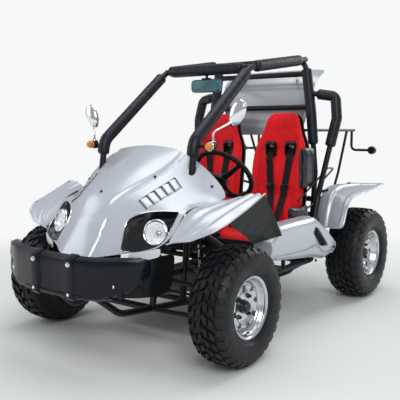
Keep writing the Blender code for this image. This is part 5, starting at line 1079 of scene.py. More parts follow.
def headlights():
    """A faceted bowl with its bulb cap and ribbed lens in a rounded chrome ring."""
    stand = toward(LAMP, LAMP_AIM)
    housing = revolved(
        [
            (0, -0.07), (0.03, -0.07), (0.052, -0.045), (0.0615, -0.02), (0.0615, -0.008),
            (0.058, -0.008), (0.05, -0.03), (0.02, -0.06), (0, -0.062)
        ],
        48
    )
    both_sides(moved(housing, stand), "lamp_housing", "gloss_black", nodes=["headlight"])
    ring = revolved([
        (0.0500, -0.012), (0.0470, 0.0005), (0.0485, 0.0060), (0.0530, 0.0085), (0.0580, 0.0065),
        (0.0608, 0.0022), (0.0618, -0.004), (0.0618, -0.014),
    ], 96, closed=True)
    both_sides(moved(ring, stand), "lamp_ring", "chrome", smooth=50)
    profile = [(0.004, -0.048), (0.016, -0.044), (0.028, -0.035), (0.039, -0.022), (0.0500, -0.006)]
    bowl = revolved(profile + [(0.0508, -0.008), (0.016, -0.047), (0.004, -0.050)], 22, closed=True)
    # The bowl's finish glows: painted light in place of the light it would reflect.
    both_sides(moved(bowl, stand), "lamp_bowl", "lamp_reflector_painted_glow", smooth=4)
    cap = revolved(
        [
            (0, -0.018), (0.006, -0.0185), (0.0105, -0.022), (0.0115, -0.028), (0.0115, -0.047),
            (0, -0.047)
        ],
        40
    )
    both_sides(moved(cap, stand), "lamp_bulb_cap", "polished_steel")
    lens = revolved([
        (0, 0.0085), (0.013, 0.0080), (0.026, 0.0064), (0.038, 0.0040), (0.0500, 0.0), (0.0500, -0.0016),
        (0.038, 0.0022), (0.026, 0.0046), (0.013, 0.0062), (0, 0.0066),
    ], 64)
    both_sides(moved(lens, stand), "lamp_lens", "clear_glass", smooth=60)
    lip = sheet_of([
        [
            (0.243, -0.9345, 0.507), (0.285, -0.9165, 0.512), (0.33, -0.893, 0.522),
            (0.368, -0.868, 0.536)
        ],
        [
            (0.243, -0.9375, 0.490), (0.285, -0.9195, 0.494), (0.33, -0.896, 0.502),
            (0.364, -0.872, 0.513)
        ],
        [
            (0.243, -0.9330, 0.474), (0.285, -0.9150, 0.478), (0.33, -0.892, 0.486),
            (0.360, -0.868, 0.496)
        ],
    ], thickness=0.004, levels=3)
    both_sides(lip, "lamp_lip", "pale_lens")


def fender_relief(across, along, _):
    """Two flutes pressed along a front fender."""
    flutes = groove(across, 0.30, 0.13) + groove(across, 0.63, 0.13)
    return -0.0075 * flutes * ease(along, 0.02, 0.2)


def rolled_edge(rows, radius=0.0035, pick="all"):
    """A bead along a panel's open edge."""
    start = [Vector(p) for p in rows[0]]
    right = [Vector(row[-1]) for row in rows]
    end = [Vector(p) for p in rows[-1]]
    path = {
        "outer": right, "front_outer": start + right[1:], "all": start + right[1:] + end[::-1][1:]
    }[pick]
    return pipe(resampled(rounded(path, 0.05, 6), 0.008), radius, 0, 10)


def firm(rows, share=0.12):
    """Rows of points with more of them near the border, so that the corners stay crisp."""
    def closer(run):
        points = [Vector(point) for point in run]
        return [points[0], points[0].lerp(points[1], share)] + points[1:-1] + [
            points[-1].lerp(points[-2], share), points[-1]
        ]

    across = [closer(row) for row in rows]
    columns = [closer(column) for column in zip(*across)]
    return [list(row) for row in zip(*columns)]


def front_fenders():
    """The front fenders with their rolled edge, stay and liner."""
    panel = sheet_of(FENDER, levels=4, relief=fender_relief)
    bead = rolled_edge(FENDER, 0.0038, "front_outer")
    stay = pipe(
        [(0.289, -0.5712, 0.6044), (0.42, -0.585, 0.612), (0.5202, -0.5961, 0.69)], 0.008, 0.03, 12
    )
    both_sides(
        joined("fender", [panel, bead]), "front_fender_panel", "silver_paint",
        nodes=["front_fender"]
    )
    both_sides(stay, "fender_stay", "powder_coat")
    liner = sheet_of(firm(LINER), thickness=0.003, levels=3)
    both_sides(liner, "fender_liner_panel", "moulded_black", nodes=["fender_liner"])


def bumper():
    """The black guard with two raised straps, their bolts, a step along its face and its struts."""
    rings = []
    stations = [(spot, size, 1) for spot, size in BUMPER_STATIONS]
    stations += [(spot, size, -1) for spot, size in BUMPER_STATIONS[-2::-1]]
    for (x, y, z), size, side in stations:
        ring = []
        for depth, height in BUMPER_SECTION:
            ring.append(Vector((side * x, y + depth * 0.035, z + height * size * 0.09)))
        rings.append(ring)
    guard = softened(ring_loft(rings), edge=0.006, segments=3)
    parts = [guard]
    for _, side in LEFT_RIGHT:
        parts.append(
            pipe([(side * 0.0952, -1.0983, 0.345), (side * 0.0952, -1.017, 0.31)], BRACE_RADIUS, 0)
        )
    show(joined("bumper_guard", parts), "bumper_guard", "bumper_black", replaces=["bumper"], smooth=32)
    shelf = sheet_of([
        [
            (0.0, -1.150, 0.352), (0.09, -1.148, 0.352), (0.135, -1.146, 0.352),
            (0.22, -1.133, 0.354), (0.30, -1.104, 0.368)
        ],
        [
            (0.0, -1.153, 0.338), (0.09, -1.151, 0.338), (0.135, -1.149, 0.338),
            (0.22, -1.136, 0.341), (0.30, -1.106, 0.354)
        ],
        [
            (0.0, -1.120, 0.330), (0.09, -1.118, 0.330), (0.135, -1.116, 0.330),
            (0.22, -1.104, 0.333), (0.30, -1.078, 0.346)
        ],
    ], thickness=0.004, levels=3, mirror=True)
    show(shelf, "bumper_lip", "bumper_black")
    bolts = []
    for _, side in LEFT_RIGHT:
        for x, y, z in ((0.110, -1.1588, 0.478), (0.110, -1.1560, 0.352), (0.315, -1.100, 0.405)):
            bolts.append(bolt((side * x, y, z), (0, -1, 0.05), 0.008, 0.007))
        block = slab((side * 0.335, -1.083, 0.405), (0.03, 0.022, 0.10), 0.005)
        show(block, "bumper_end_" + ("left" if side > 0 else "right"), "moulded_black")
    show(joined("bumper_bolts", bolts), "bumper_bolts", "chrome")


def nose_apron():
    """The black lower nose panel and its ribs."""
    apron = sheet_of(NOSE_SIDE, thickness=0.003, levels=4, mirror=True)
    show(apron, "nose_apron_panel", "moulded_black", replaces=["nose_apron"])
    ribs = []
    for _, side in LEFT_RIGHT:
        for share in (0.25, 0.5, 0.75):
            top = Vector((side * 0.2502, -0.9508, 0.4876)).lerp(
                Vector((side * 0.3352, -0.8822, 0.4949)), share
            )
            low = Vector((side * 0.2502, -0.9771, 0.3197)).lerp(
                Vector((side * 0.3148, -0.8968, 0.3154)), share
            )
            ribs.append(pipe([top.lerp(low, 0.12), top.lerp(low, 0.88)], 0.004, 0, 8))
        ribs.append(bolt((side * 0.297, -0.93, 0.36), (side * 0.6, -0.8, 0), 0.007, 0.006))
    show(joined("apron_ribs", ribs), "apron_ribs", "moulded_black")


def side_pods():
    """The silver side box with its meshed opening, lower crease and bolts."""
    rings = []
    for (_, y, z), size in POD_STATIONS:
        rings.append([
            Vector((0.5144 + across * 0.055, y, z + height * size * 0.095))
            for across, height in POD_SECTION
        ])
    box = softened(ring_loft(rings), edge=0.011, segments=4, angle=18)
    outline = soft_outline(POD_OPENING, [0.25] * len(POD_OPENING))
    box = cut_with(
        box,
        ring_loft(
            [[p + Vector((0.03, 0, 0)) for p in outline], [p - Vector((0.022, 0, 0)) for p in outline]]
        )
    )
    both_sides(box, "side_pod_box", "silver_paint", nodes=["side_pod"], smooth=30)
    middle = sum(outline, Vector()) / len(outline)
    back = ring_loft(
        [
            [middle + (p - middle) * 1.02 - Vector((depth, 0, 0)) for p in outline]
            for depth in (0.019, 0.021)
        ]
    )
    both_sides(back, "pod_backing", "moulded_black")
    wires = []
    for index in range(-14, 15):
        for lean in (1, -1):
            line = inside_part(
                outline, middle + Vector((0, index * 0.0105, 0)), Vector((0, lean, 1)).normalized()
            )
            if line:
                wires.append(
                    pipe([p - Vector((0.009 + 0.0008 * lean, 0, 0)) for p in line], 0.0011, 0, 6)
                )
    both_sides(joined("wires", wires), "pod_mesh", "dark_steel")
    trim = pipe([p + Vector((0.0004, 0, 0)) for p in outline], 0.0022, 0, 8, closed=True)
    both_sides(trim, "pod_opening_rim", "silver_paint")
    crease = pipe(
        [
            (0.566, -0.24, 0.412), (0.569, -0.06, 0.399), (0.5695, 0.10, 0.398),
            (0.5695, 0.20, 0.415), (0.5695, 0.30, 0.352), (0.567, 0.40, 0.345)
        ],
        0.0035, 0.06, 8
    )
    both_sides(crease, "pod_crease", "silver_paint")
    bolts = [
        bolt((0.5695, 0.205, 0.552), (1, 0, 0), 0.0065, 0.006),
        bolt((0.568, 0.185, 0.330), (1, 0, 0), 0.0065, 0.006)
    ]
    bolts.append(bolt((0.5695, 0.41, 0.372), (1, 0, 0), 0.0065, 0.006))
    both_sides(joined("bolts", bolts), "pod_bolts", "dark_steel")
    stays = [
        pipe(run, BRACE_RADIUS, 0, 12)
        for run in (
            [(0.448, 0.043, 0.42), (0.47, 0.043, 0.42)], [(0.448, 0.283, 0.42), (0.47, 0.283, 0.42)]
        )
    ]
    both_sides(joined("stays", stays), "pod_stays", "powder_coat")


def inside_part(outline, start, way):
    """The part of a line that lies within an outline standing in the YZ plane."""
    hits = []
    for a, b in zip(outline, outline[1:] + outline[:1]):
        side_y, side_z = b.y - a.y, b.z - a.z
        across = way.y * side_z - way.z * side_y
        if abs(across) < 1e-9:
            continue
        gap_y, gap_z = a.y - start.y, a.z - start.z
        along = (gap_y * side_z - gap_z * side_y) / across
        share = (gap_y * way.z - gap_z * way.y) / across
        if 0 <= share < 1:
            hits.append(along)
    if len(hits) < 2:
        return None
    low, high = min(hits), max(hits)
    if high - low < 0.004:
        return None
    return [start + way * low, start + way * high]


def rear_fender_relief(across, along, _):
    """The channel and the ridge pressed along a rear fender."""
    channel = ease(across, 0.40, 0.47) * (1 - ease(across, 0.80, 0.87))
    ridge = groove(across, 0.36, 0.07)
    return -0.010 * channel + 0.004 * ridge


def rear_fenders():
    """The rear fenders with their rolled edge and stays."""
    panel = sheet_of(REAR_FENDER, levels=4, relief=rear_fender_relief)
    bead = rolled_edge(REAR_FENDER, 0.0042, "all")
    both_sides(
        joined("fender", [panel, bead]), "rear_fender_panel", "silver_paint", nodes=["rear_fender"]
    )
    stays = [
        pipe([(0.3794, 0.55, 0.657), (0.4488, 0.5807, 0.674)], RACK_RADIUS, 0, 12),
        pipe([(0.2754, 1.026, 0.6278), (0.4488, 0.8873, 0.6945)], RACK_RADIUS, 0, 12),
    ]
    both_sides(joined("stays", stays), "rear_fender_stays", "powder_coat")


def panel_relief(across, along, spot):
    """The lines pressed into the panel behind the heads."""
    frame_line = groove(across, 0.9, 0.05) + groove(along, 0.12, 0.05) * (1 - ease(across, 0.88, 0.92))
    return -0.003 * frame_line - 0.003 * groove(along, 0.56, 0.06)


def rear_panel():
    """The grey panel behind the heads and the tabs that hold it."""
    panel = sheet_of(REAR_PANEL, levels=4, mirror=True, relief=panel_relief)
    tabs = []
    for x, z in ((0.207, 1.165), (0.189, 1.361)):
        for _, side in LEFT_RIGHT:
            tabs.append(
                pipe(
                    [(side * x, 0.55, z), (side * x, 0.588 if z < 1.3 else 0.645, z)], RACK_RADIUS,
                    0, 12
                )
            )
    show(panel, "rear_panel_sheet", "grey_paint", replaces=["rear_panel"])
    show(joined("tabs", tabs), "rear_panel_tabs", "powder_coat")
    screws = [bolt((side * 0.245, 0.573, 1.03), (0, -1, 0), 0.006, 0.004) for _, side in LEFT_RIGHT]
    show(joined("screws", screws), "rear_panel_screws", "dark_steel")


# Seats and harnesses


def curve_through(stations, count):
    """Values drawn smoothly through stations by Catmull and Rom's curve."""
    ends = [stations[0]] + list(stations) + [stations[-1]]
    last = len(stations) - 1
    made = []
    for index in range(count + 1):
        place = index / count * last
        cell = min(int(place), last - 1)
        t = place - cell
        a, b, c, d = ends[cell:cell + 4]
        made.append([
            0.5 * (
                2 * q + (r - p) * t + (
                    2 * p - 5 * q + 4 * r - s
                ) * t * t + (3 * q - p - 3 * r + s) * t ** 3
            )
            for p, q, r, s in zip(a, b, c, d)
        ])
    return made


def seat_rings(stations, count, inset):
    """Rings of a seat section, a little inside the finished form."""
    rings = []
    for y, z, face_y, face_z, size, rise in curve_through(stations, count):
        front = Vector((0, face_y, face_z)).normalized()
        half = size * SEAT_HALF_WIDTH - inset
        ring = []
        for across, lift in SEAT_SECTION:
            out = Vector((SEAT_X + across * half, y, z))
            ring.append(out + front * (lift * rise * 0.055 - inset * 0.8))
        for across in (0.86, 0.3, -0.3, -0.86):
            ring.append(Vector((SEAT_X + across * half, y, z)) - front * (0.065 - inset))
        rings.append(ring)
    return rings


def puffed(source, voxel, seams, cap, pressure=4.0):
    """Fill a closed form with air as cloth sewn down along its seams, and keep the result."""
    remesh = source.modifiers.new("remesh", "REMESH")
    remesh.mode = "VOXEL"
    remesh.voxel_size = voxel
    made = plain(source)
    mesh = made.data
    rest = [vertex.co.copy() for vertex in mesh.vertices]
    held = [vertex.index for vertex in mesh.vertices if seams(vertex.co, vertex.normal)]
    pins = made.vertex_groups.new(name="seams")
    pins.add(held, 1.0, "REPLACE")
    cloth = made.modifiers.new("cloth", "CLOTH")
    cloth.settings.vertex_group_mass = "seams"
    cloth.settings.quality = 3
    cloth.settings.mass = 0.3
    cloth.settings.tension_stiffness = 12
    cloth.settings.compression_stiffness = 12
    cloth.settings.shear_stiffness = 6
    cloth.settings.bending_stiffness = 0.6
    cloth.settings.use_pressure = True
    cloth.settings.uniform_pressure_force = pressure
    cloth.settings.effector_weights.gravity = 0
    cloth.collision_settings.use_collision = False
    cloth.point_cache.frame_start = 1
    cloth.point_cache.frame_end = 20
    for step in range(1, 21):
        bpy.context.scene.frame_set(step)
    bpy.context.view_layer.update()
    graph = bpy.context.evaluated_depsgraph_get()
    blown = made.evaluated_get(graph).to_mesh()
    spots = [vertex.co.copy() for vertex in blown.vertices]
    made.evaluated_get(graph).to_mesh_clear()
    made.modifiers.clear()
    made.vertex_groups.clear()
    for vertex, before, after in zip(mesh.vertices, rest, spots):
        step = after - before
        if step.length > cap:
            step *= cap / step.length
        vertex.co = before + step
    bpy.context.scene.frame_set(1)
    return made


def back_seams(spot, normal):
    """Where the backrest's cover is sewn down."""
    across = abs(spot.x - SEAT_X)
    if normal.y > 0.5:
        return True
    lines = abs(across - 0.112) < 0.004 or abs(across - 0.168) < 0.003
    level = abs(spot.z - 1.035) < 0.004 and across < 0.112
    waist = abs(spot.z - 0.655) < 0.004 and across < 0.112
    slots = abs(across - SLOT_X) < 0.042 and abs(spot.z - SLOT_Z) < 0.054
    return (lines and spot.z < 1.0) or level or waist or slots


def base_seams(spot, normal):
    """Where the seat cushion's cover is sewn down."""
    across = abs(spot.x - SEAT_X)
    if normal.z < -0.5:
        return True
    cross = abs(spot.y - 0.13) < 0.004 and across < 0.112
    return abs(across - 0.112) < 0.004 or abs(across - 0.160) < 0.003 or cross


def no_seams(spot, normal):
    """A side pad has no seams."""
    return False


def smoothed(source, rounds=2, strength=0.5):
    """Smooth a mesh a few rounds."""
    step = source.modifiers.new("smooth", "SMOOTH")
    step.iterations = rounds
    step.factor = strength
    return plain(source)


def rounded_frame(width, height, corner, steps=6):
    """A rounded rectangle in the XY plane."""
    spots = []
    for cx, cy, start in (
        (width / 2 - corner, height / 2 - corner, 0.0),
        (corner - width / 2, height / 2 - corner, pi / 2),
        (corner - width / 2, corner - height / 2, pi),
        (width / 2 - corner, corner - height / 2, 1.5 * pi),
    ):
        for step in range(steps + 1):
            angle = start + step / steps * pi / 2
            spots.append(Vector((cx + corner * cos(angle), cy + corner * sin(angle), 0)))
    return spots


def ribbon(points, width, thickness, across=(1, 0, 0), steps=10):
    """A strap: a thin band swept along a smooth run of points, its width along one direction."""
    path = [Vector(p) for p in curve_through([tuple(p) for p in points], steps * (len(points) - 1))]
    wide = Vector(across).normalized()
    rings = []
    for index, spot in enumerate(path):
        ahead = path[min(index + 1, len(path) - 1)] - path[max(index - 1, 0)]
        way = ahead.normalized()
        out = (wide - way * wide.dot(way)).normalized()
        up = way.cross(out)
        ring = []
        for a, b in (
            (-1, -0.4), (-0.96, -1), (0.96, -1), (1, -0.4), (1, 0.4), (0.96, 1), (-0.96, 1),
            (-1, 0.4)
        ):
            ring.append(spot + out * (a * width / 2) + up * (b * thickness / 2))
        rings.append(ring)
    return ring_loft(rings)


def slot_stand(way, y):
    """The upright axes in the middle of a harness slot."""
    spot = (SEAT_X + way * SLOT_X, y, SLOT_Z)
    return Matrix.Translation(spot) @ Matrix.Rotation(SLOT_TILT, 4, "X")


def slot_prism(way):
    """The two ends of the prism that cuts a harness slot."""
    stand = slot_stand(way, SLOT_Y)
    out = Vector((0, -1, SLOT_TILT)).normalized()
    hole = [stand @ Vector((p.x, 0, p.y)) for p in rounded_frame(0.055, 0.075, 0.016)]
    return [[p + out * 0.08 for p in hole], [p - out * 0.14 for p in hole]]


def slot_surround(way, y):
    """The moulded frame and tunnel of a harness slot."""
    stand = slot_stand(way, y)
    rings = []
    for width, height, corner, depth in SLOT_FRAME:
        rings.append([stand @ Vector((p.x, depth, p.y)) for p in rounded_frame(width, height, corner)])
    surround = ring_loft(rings, caps=False)
    wall = surround.modifiers.new("wall", "SOLIDIFY")
    wall.thickness = 0.003
    wall.offset = 1
    return plain(surround)


def on_back(skin, x, z, lift=0.003):
    """A spot just off the face of the backrest."""
    hit, _, _, _ = skin.ray_cast(Vector((x, -0.2, z)), Vector((0, 1, 0)))
    return Vector((x, (hit.y if hit else 0.36) - lift, z))


def on_base(skin, x, y, lift=0.003):
    """A spot just above the seat cushion."""
    hit, _, _, _ = skin.ray_cast(Vector((x, y, 1.0)), Vector((0, 0, -1)))
    return Vector((x, y, (hit.z if hit else 0.44) + lift))


def shoulder_strap(way, back, base):
    """A strap from its slot down the backrest to the buckle."""
    high = SEAT_X + way * SLOT_X
    low = SEAT_X + way * 0.030
    top, end = 0.862, 0.545
    run = [Vector((high, 0.47, 0.925)), Vector((high, 0.415, 0.905)), on_back(back, high, top, 0.012)]
    for share in (0.12, 0.3, 0.5, 0.7, 0.88):
        run.append(on_back(back, high + (low - high) * share, top - (top - end) * share, 0.004))
    run.append(Vector((low, on_back(back, low, end).y - 0.028, 0.522)))
    run.append(on_base(base, low, 0.262, 0.012))
    return ribbon(run, 0.044, STRAP_THICKNESS)


def lap_strap(way, base):
    """A strap from the buckle over the cushion to its side."""
    run = [on_base(base, SEAT_X + way * across, y, lift) for across, y, lift in LAP_RUN]
    run.append(Vector((SEAT_X + way * 0.176, 0.31, 0.44)))
    return ribbon(run, 0.042, STRAP_THICKNESS, (0, 1, 0))


def seat_back_shell():
    """The black moulding behind the backrest, with its two slots."""
    rings = []
    for y, z, face_y, face_z, size, _ in curve_through(SEAT_STATIONS[4:], 22):
        front = Vector((0, face_y, face_z)).normalized()
        half = size * SEAT_HALF_WIDTH
        rings.append([
            Vector((SEAT_X + across * half, y, z)) - front * depth for across, depth in SHELL_SECTION
        ])
    shell = sheet_of(rings, thickness=0.003, levels=1)
    for way in (-1, 1):
        shell = cut_with(shell, ring_loft(slot_prism(way)))
    return shell


def seat_mounts():
    """The box below a seat, its runners and the skirts round its cushion."""
    mount = [
        slab((SEAT_X, 0.188, 0.338), (0.25, 0.285, 0.055), 0.006),
        slab((SEAT_X, 0.188, 0.36), (0.29, 0.31, 0.012), 0.004),
    ]
    for way in (-1, 1):
        mount.append(slab((SEAT_X + way * 0.09, 0.18, 0.312), (0.035, 0.30, 0.014), 0.003))
    mount.append(slab((SEAT_X, -0.028, 0.385), (0.326, 0.008, 0.098), 0.003))
    for way in (-1, 1):
        mount.append(slab((SEAT_X + way * 0.163, 0.13, 0.380), (0.008, 0.318, 0.088), 0.003))
    return mount


def show_seat(name, side, pieces):
    """Show one seat's pieces, mirrored for the right side."""
    for piece, (parts, finish) in pieces.items():
        parts = parts if isinstance(parts, list) else [parts]
        copies = [link(piece, part.data.copy()) if side > 0 else flip(part, piece) for part in parts]
        made = joined(piece, copies)
        soft = "cushion" in piece or "pad" in piece
        nodes = ["seat_" + name] if piece == "seat_back_cushion" else ()
        show(made, piece + "_" + name, finish, replaces=nodes, smooth=60 if soft else 35)


def seats():
    """Each seat: sewn cushions on a black shell, with slots, harness, side pads and mount."""
    back = softened(ring_loft(seat_rings(SEAT_STATIONS[4:], 16, SEAT_INSET)), levels=1)
    back = smoothed(puffed(back, 0.006, back_seams, 0.020), 2)
    for way in (-1, 1):
        back = cut_with(back, ring_loft(slot_prism(way)))
    skin = skin_of(back)
    base = softened(ring_loft(seat_rings(SEAT_STATIONS[:5], 10, SEAT_INSET)), levels=1)
    base = smoothed(puffed(base, 0.006, base_seams, 0.018), 2)
    top = skin_of(base)
    straps, surrounds, clips = [], [], []
    for way in (-1, 1):
        surrounds.append(slot_surround(way, on_back(skin, SEAT_X + way * 0.100, SLOT_Z, 0).y))
        straps.append(shoulder_strap(way, skin, top))
        clips.append(
            slab(on_back(skin, SEAT_X + way * 0.047, 0.70, 0.008), (0.052, 0.010, 0.030), 0.003)
        )
        straps.append(lap_strap(way, top))
    buckle = on_base(top, SEAT_X, 0.252, 0.016)
    clips.append(slab(buckle, (0.062, 0.058, 0.020), 0.007, 4))
    button = slab(buckle + Vector((0, -0.012, 0.010)), (0.034, 0.018, 0.005), 0.002)
    shell = seat_back_shell()
    mount = seat_mounts()
    pads = []
    for centre, size in SIDE_PADS:
        pad = softened(slab(centre, size, 0.012, 2), levels=2)
        pads.append(smoothed(puffed(pad, 0.005, no_seams, 0.009), 3))
    pieces = {
        "seat_back_cushion": (back, "red_cloth"), "seat_base_cushion": (base, "red_cloth"),
        "seat_shell": (shell, "moulded_black"), "seat_slot_frames": (surrounds, "gloss_black"),
        "harness_straps": (straps, "webbing"), "harness_buckle": (clips, "gloss_black"),
        "buckle_button": (button, "red_paint"), "seat_mount": (mount, "powder_coat"),
        "side_pad_upper": (pads[0], "black_vinyl"), "side_pad_lower": (pads[1], "black_vinyl"),
    }
    for name, side in LEFT_RIGHT:
        show_seat(name, side, pieces)
    for part in [back, base, shell, button] + surrounds + straps + clips + mount + pads:
        bpy.data.objects.remove(part, do_unlink=True)


# Wheels


def block(starts, ends, reach, inner, outer, taper=0.0022, steps=3):
    """A curved tread block: angles, reach and radii of its two edges, its top drawn in a little."""
    build = bmesh.new()
    low, high = [], []
    for step in range(steps + 1):
        low_row, high_row = [], []
        for start, end, z, radius_in, radius_out in zip(starts, ends, reach, inner, outer):
            angle = start + step / steps * (end - start)
            low_row.append(build.verts.new((radius_in * cos(angle), radius_in * sin(angle), z)))
            high_row.append(build.verts.new((radius_out * cos(angle), radius_out * sin(angle), z)))
        low.append(low_row)
        high.append(high_row)
    middle = sum((vertex.co for row in high for vertex in row), Vector()) / (2 * (steps + 1))
    for row in high:
        for vertex in row:
            vertex.co += (middle - vertex.co).normalized() * taper
    for index in range(steps):
        after = index + 1
        build.faces.new((high[index][0], high[index][1], high[after][1], high[after][0]))
        build.faces.new((low[index][1], low[index][0], low[after][0], low[after][1]))
        for edge in (0, 1):
            quad = (low[index][edge], high[index][edge], high[after][edge], low[after][edge])
            build.faces.new(quad if edge == 0 else quad[::-1])
    for index in (0, steps):
        quad = (low[index][0], low[index][1], high[index][1], high[index][0])
        build.faces.new(quad if index == 0 else quad[::-1])
    bmesh.ops.recalc_face_normals(build, faces=build.faces)
    mesh = bpy.data.meshes.new("block")
    build.to_mesh(mesh)
    build.free()
    return mesh


def tyre_mesh(radius, width, rows, pitch_count):
    """A carcass with bulged walls and beads, and rows of slanted tread blocks."""
    half = width / 2
    base = radius - 0.0125
    wall = [
        (0.1275, half * 0.70), (0.1305, half * 0.735), (0.139, half * 0.76), (0.1455, half * 0.80),
        (0.150, half * 0.84), (0.162, half * 0.925), (0.1625, half * 0.935), (0.1655, half * 0.94),
        (0.178, half * 0.975), (base * 0.79, half * 0.992), (base * 0.84, half * 0.985),
        (base * 0.895, half * 0.955), (base * 0.94, half * 0.90), (base * 0.972, half * 0.80),
        (base * 0.99, half * 0.62), (base, half * 0.35), (base, 0.0),
    ]
    profile = wall + [(r, -z) for r, z in wall[-2::-1]]
    beads = [(0.1275, -half * 0.62), (0.1275, half * 0.62)]
    parts = [revolved(profile + beads, 128, closed=True)]
    step = 2 * pi / pitch_count
    for index in range(pitch_count):
        for z0, z1, start0, start1, length, drop0, drop1 in rows:
            for sign in (1, -1):
                shift = 0.5 if sign < 0 else 0.0
                angle = (index + shift) * step
                starts = (angle + start0 * step, angle + start1 * step)
                ends = (angle + (start0 + length) * step, angle + (start1 + length) * step)
                reach = (sign * z0 * half, sign * z1 * half)
                inner = (base - drop0 - 0.004, base - drop1 - 0.006)
                outer = (radius - drop0, radius - drop1)
                parts.append(link("block", block(starts, ends, reach, inner, outer)))
    return joined("tyre", parts)


# Rows of tread blocks: reach of both edges, their starts, length, and how far both edges drop
FRONT_ROWS = [
    (0.04, 0.30, 0.02, 0.34, 0.62, 0.0, 0.0006), (0.36, 0.62, 0.30, 0.62, 0.58, 0.0012, 0.0035),
    (0.68, 0.955, 0.12, 0.20, 0.60, 0.0055, 0.0285),
]
REAR_ROWS = [
    (0.03, 0.26, 0.00, 0.40, 0.60, 0.0, 0.0004), (0.32, 0.60, 0.36, 0.70, 0.56, 0.0008, 0.0032),
    (0.66, 0.955, 0.10, 0.16, 0.62, 0.0055, 0.0290),
]


def stand_wheel(centre, side=1):
    """Local Z to the outside of the kart."""
    turn = Matrix(((0, 0, side, 0), (0, side, 0, 0), (-1, 0, 0, 0), (0, 0, 0, 1)))
    return Matrix.Translation(Vector((side * centre[0], centre[1], centre[2]))) @ turn


# Centre of the left wheel, width of its tyre, rows of tread blocks and blocks round the tyre
WHEELS = {"front": (FRONT_WHEEL, 0.19, FRONT_ROWS, 30), "rear": (REAR_WHEEL, 0.22, REAR_ROWS, 28)}


def wheel_body(end, name):
    """The body that a wheel's pieces ride."""
    return "wheel_front_" + name if end == "front" else "rear_axle"


def tyres():
    """The four tyres with their tread."""
    for end, (centre, width, rows, count) in WHEELS.items():
        for name, side in LEFT_RIGHT:
            body = wheel_body(end, name)
            made = moved(tyre_mesh(centre[2], width, rows, count), stand_wheel(centre, side))
            show(
                made, "tyre_%s_%s_tread" % (end, name), "tyre_rubber", body,
                ["tyre_%s_%s" % (end, name)], 32
            )


def holed(disc, count, circle, radius, depth, turn=0.0):
    """Drill a ring of holes through a turned disc."""
    for index in range(count):
        angle = 2 * pi * (index + turn) / count
        spot = Vector((circle * cos(angle), circle * sin(angle), depth))
        disc = cut_with(disc, pipe([spot - UP * 0.03, spot + UP * 0.03], radius, 0, 20))
    return disc


def nuts(count, circle, height, radius=0.0085, turn=0.0):
    """Wheel nuts with the ends of their studs."""
    parts = []
    for index in range(count):
        angle = 2 * pi * (index + turn) / count
        spot = Vector((circle * cos(angle), circle * sin(angle), height))
        parts.append(bolt(spot, (0, 0, 1), radius, 0.011))
        parts.append(
            moved(
                revolved([(0, 0.016), (0.0035, 0.016), (0.0045, 0.014), (0.0045, 0.006)], 16),
                Matrix.Translation(spot)
            )
        )
    return parts


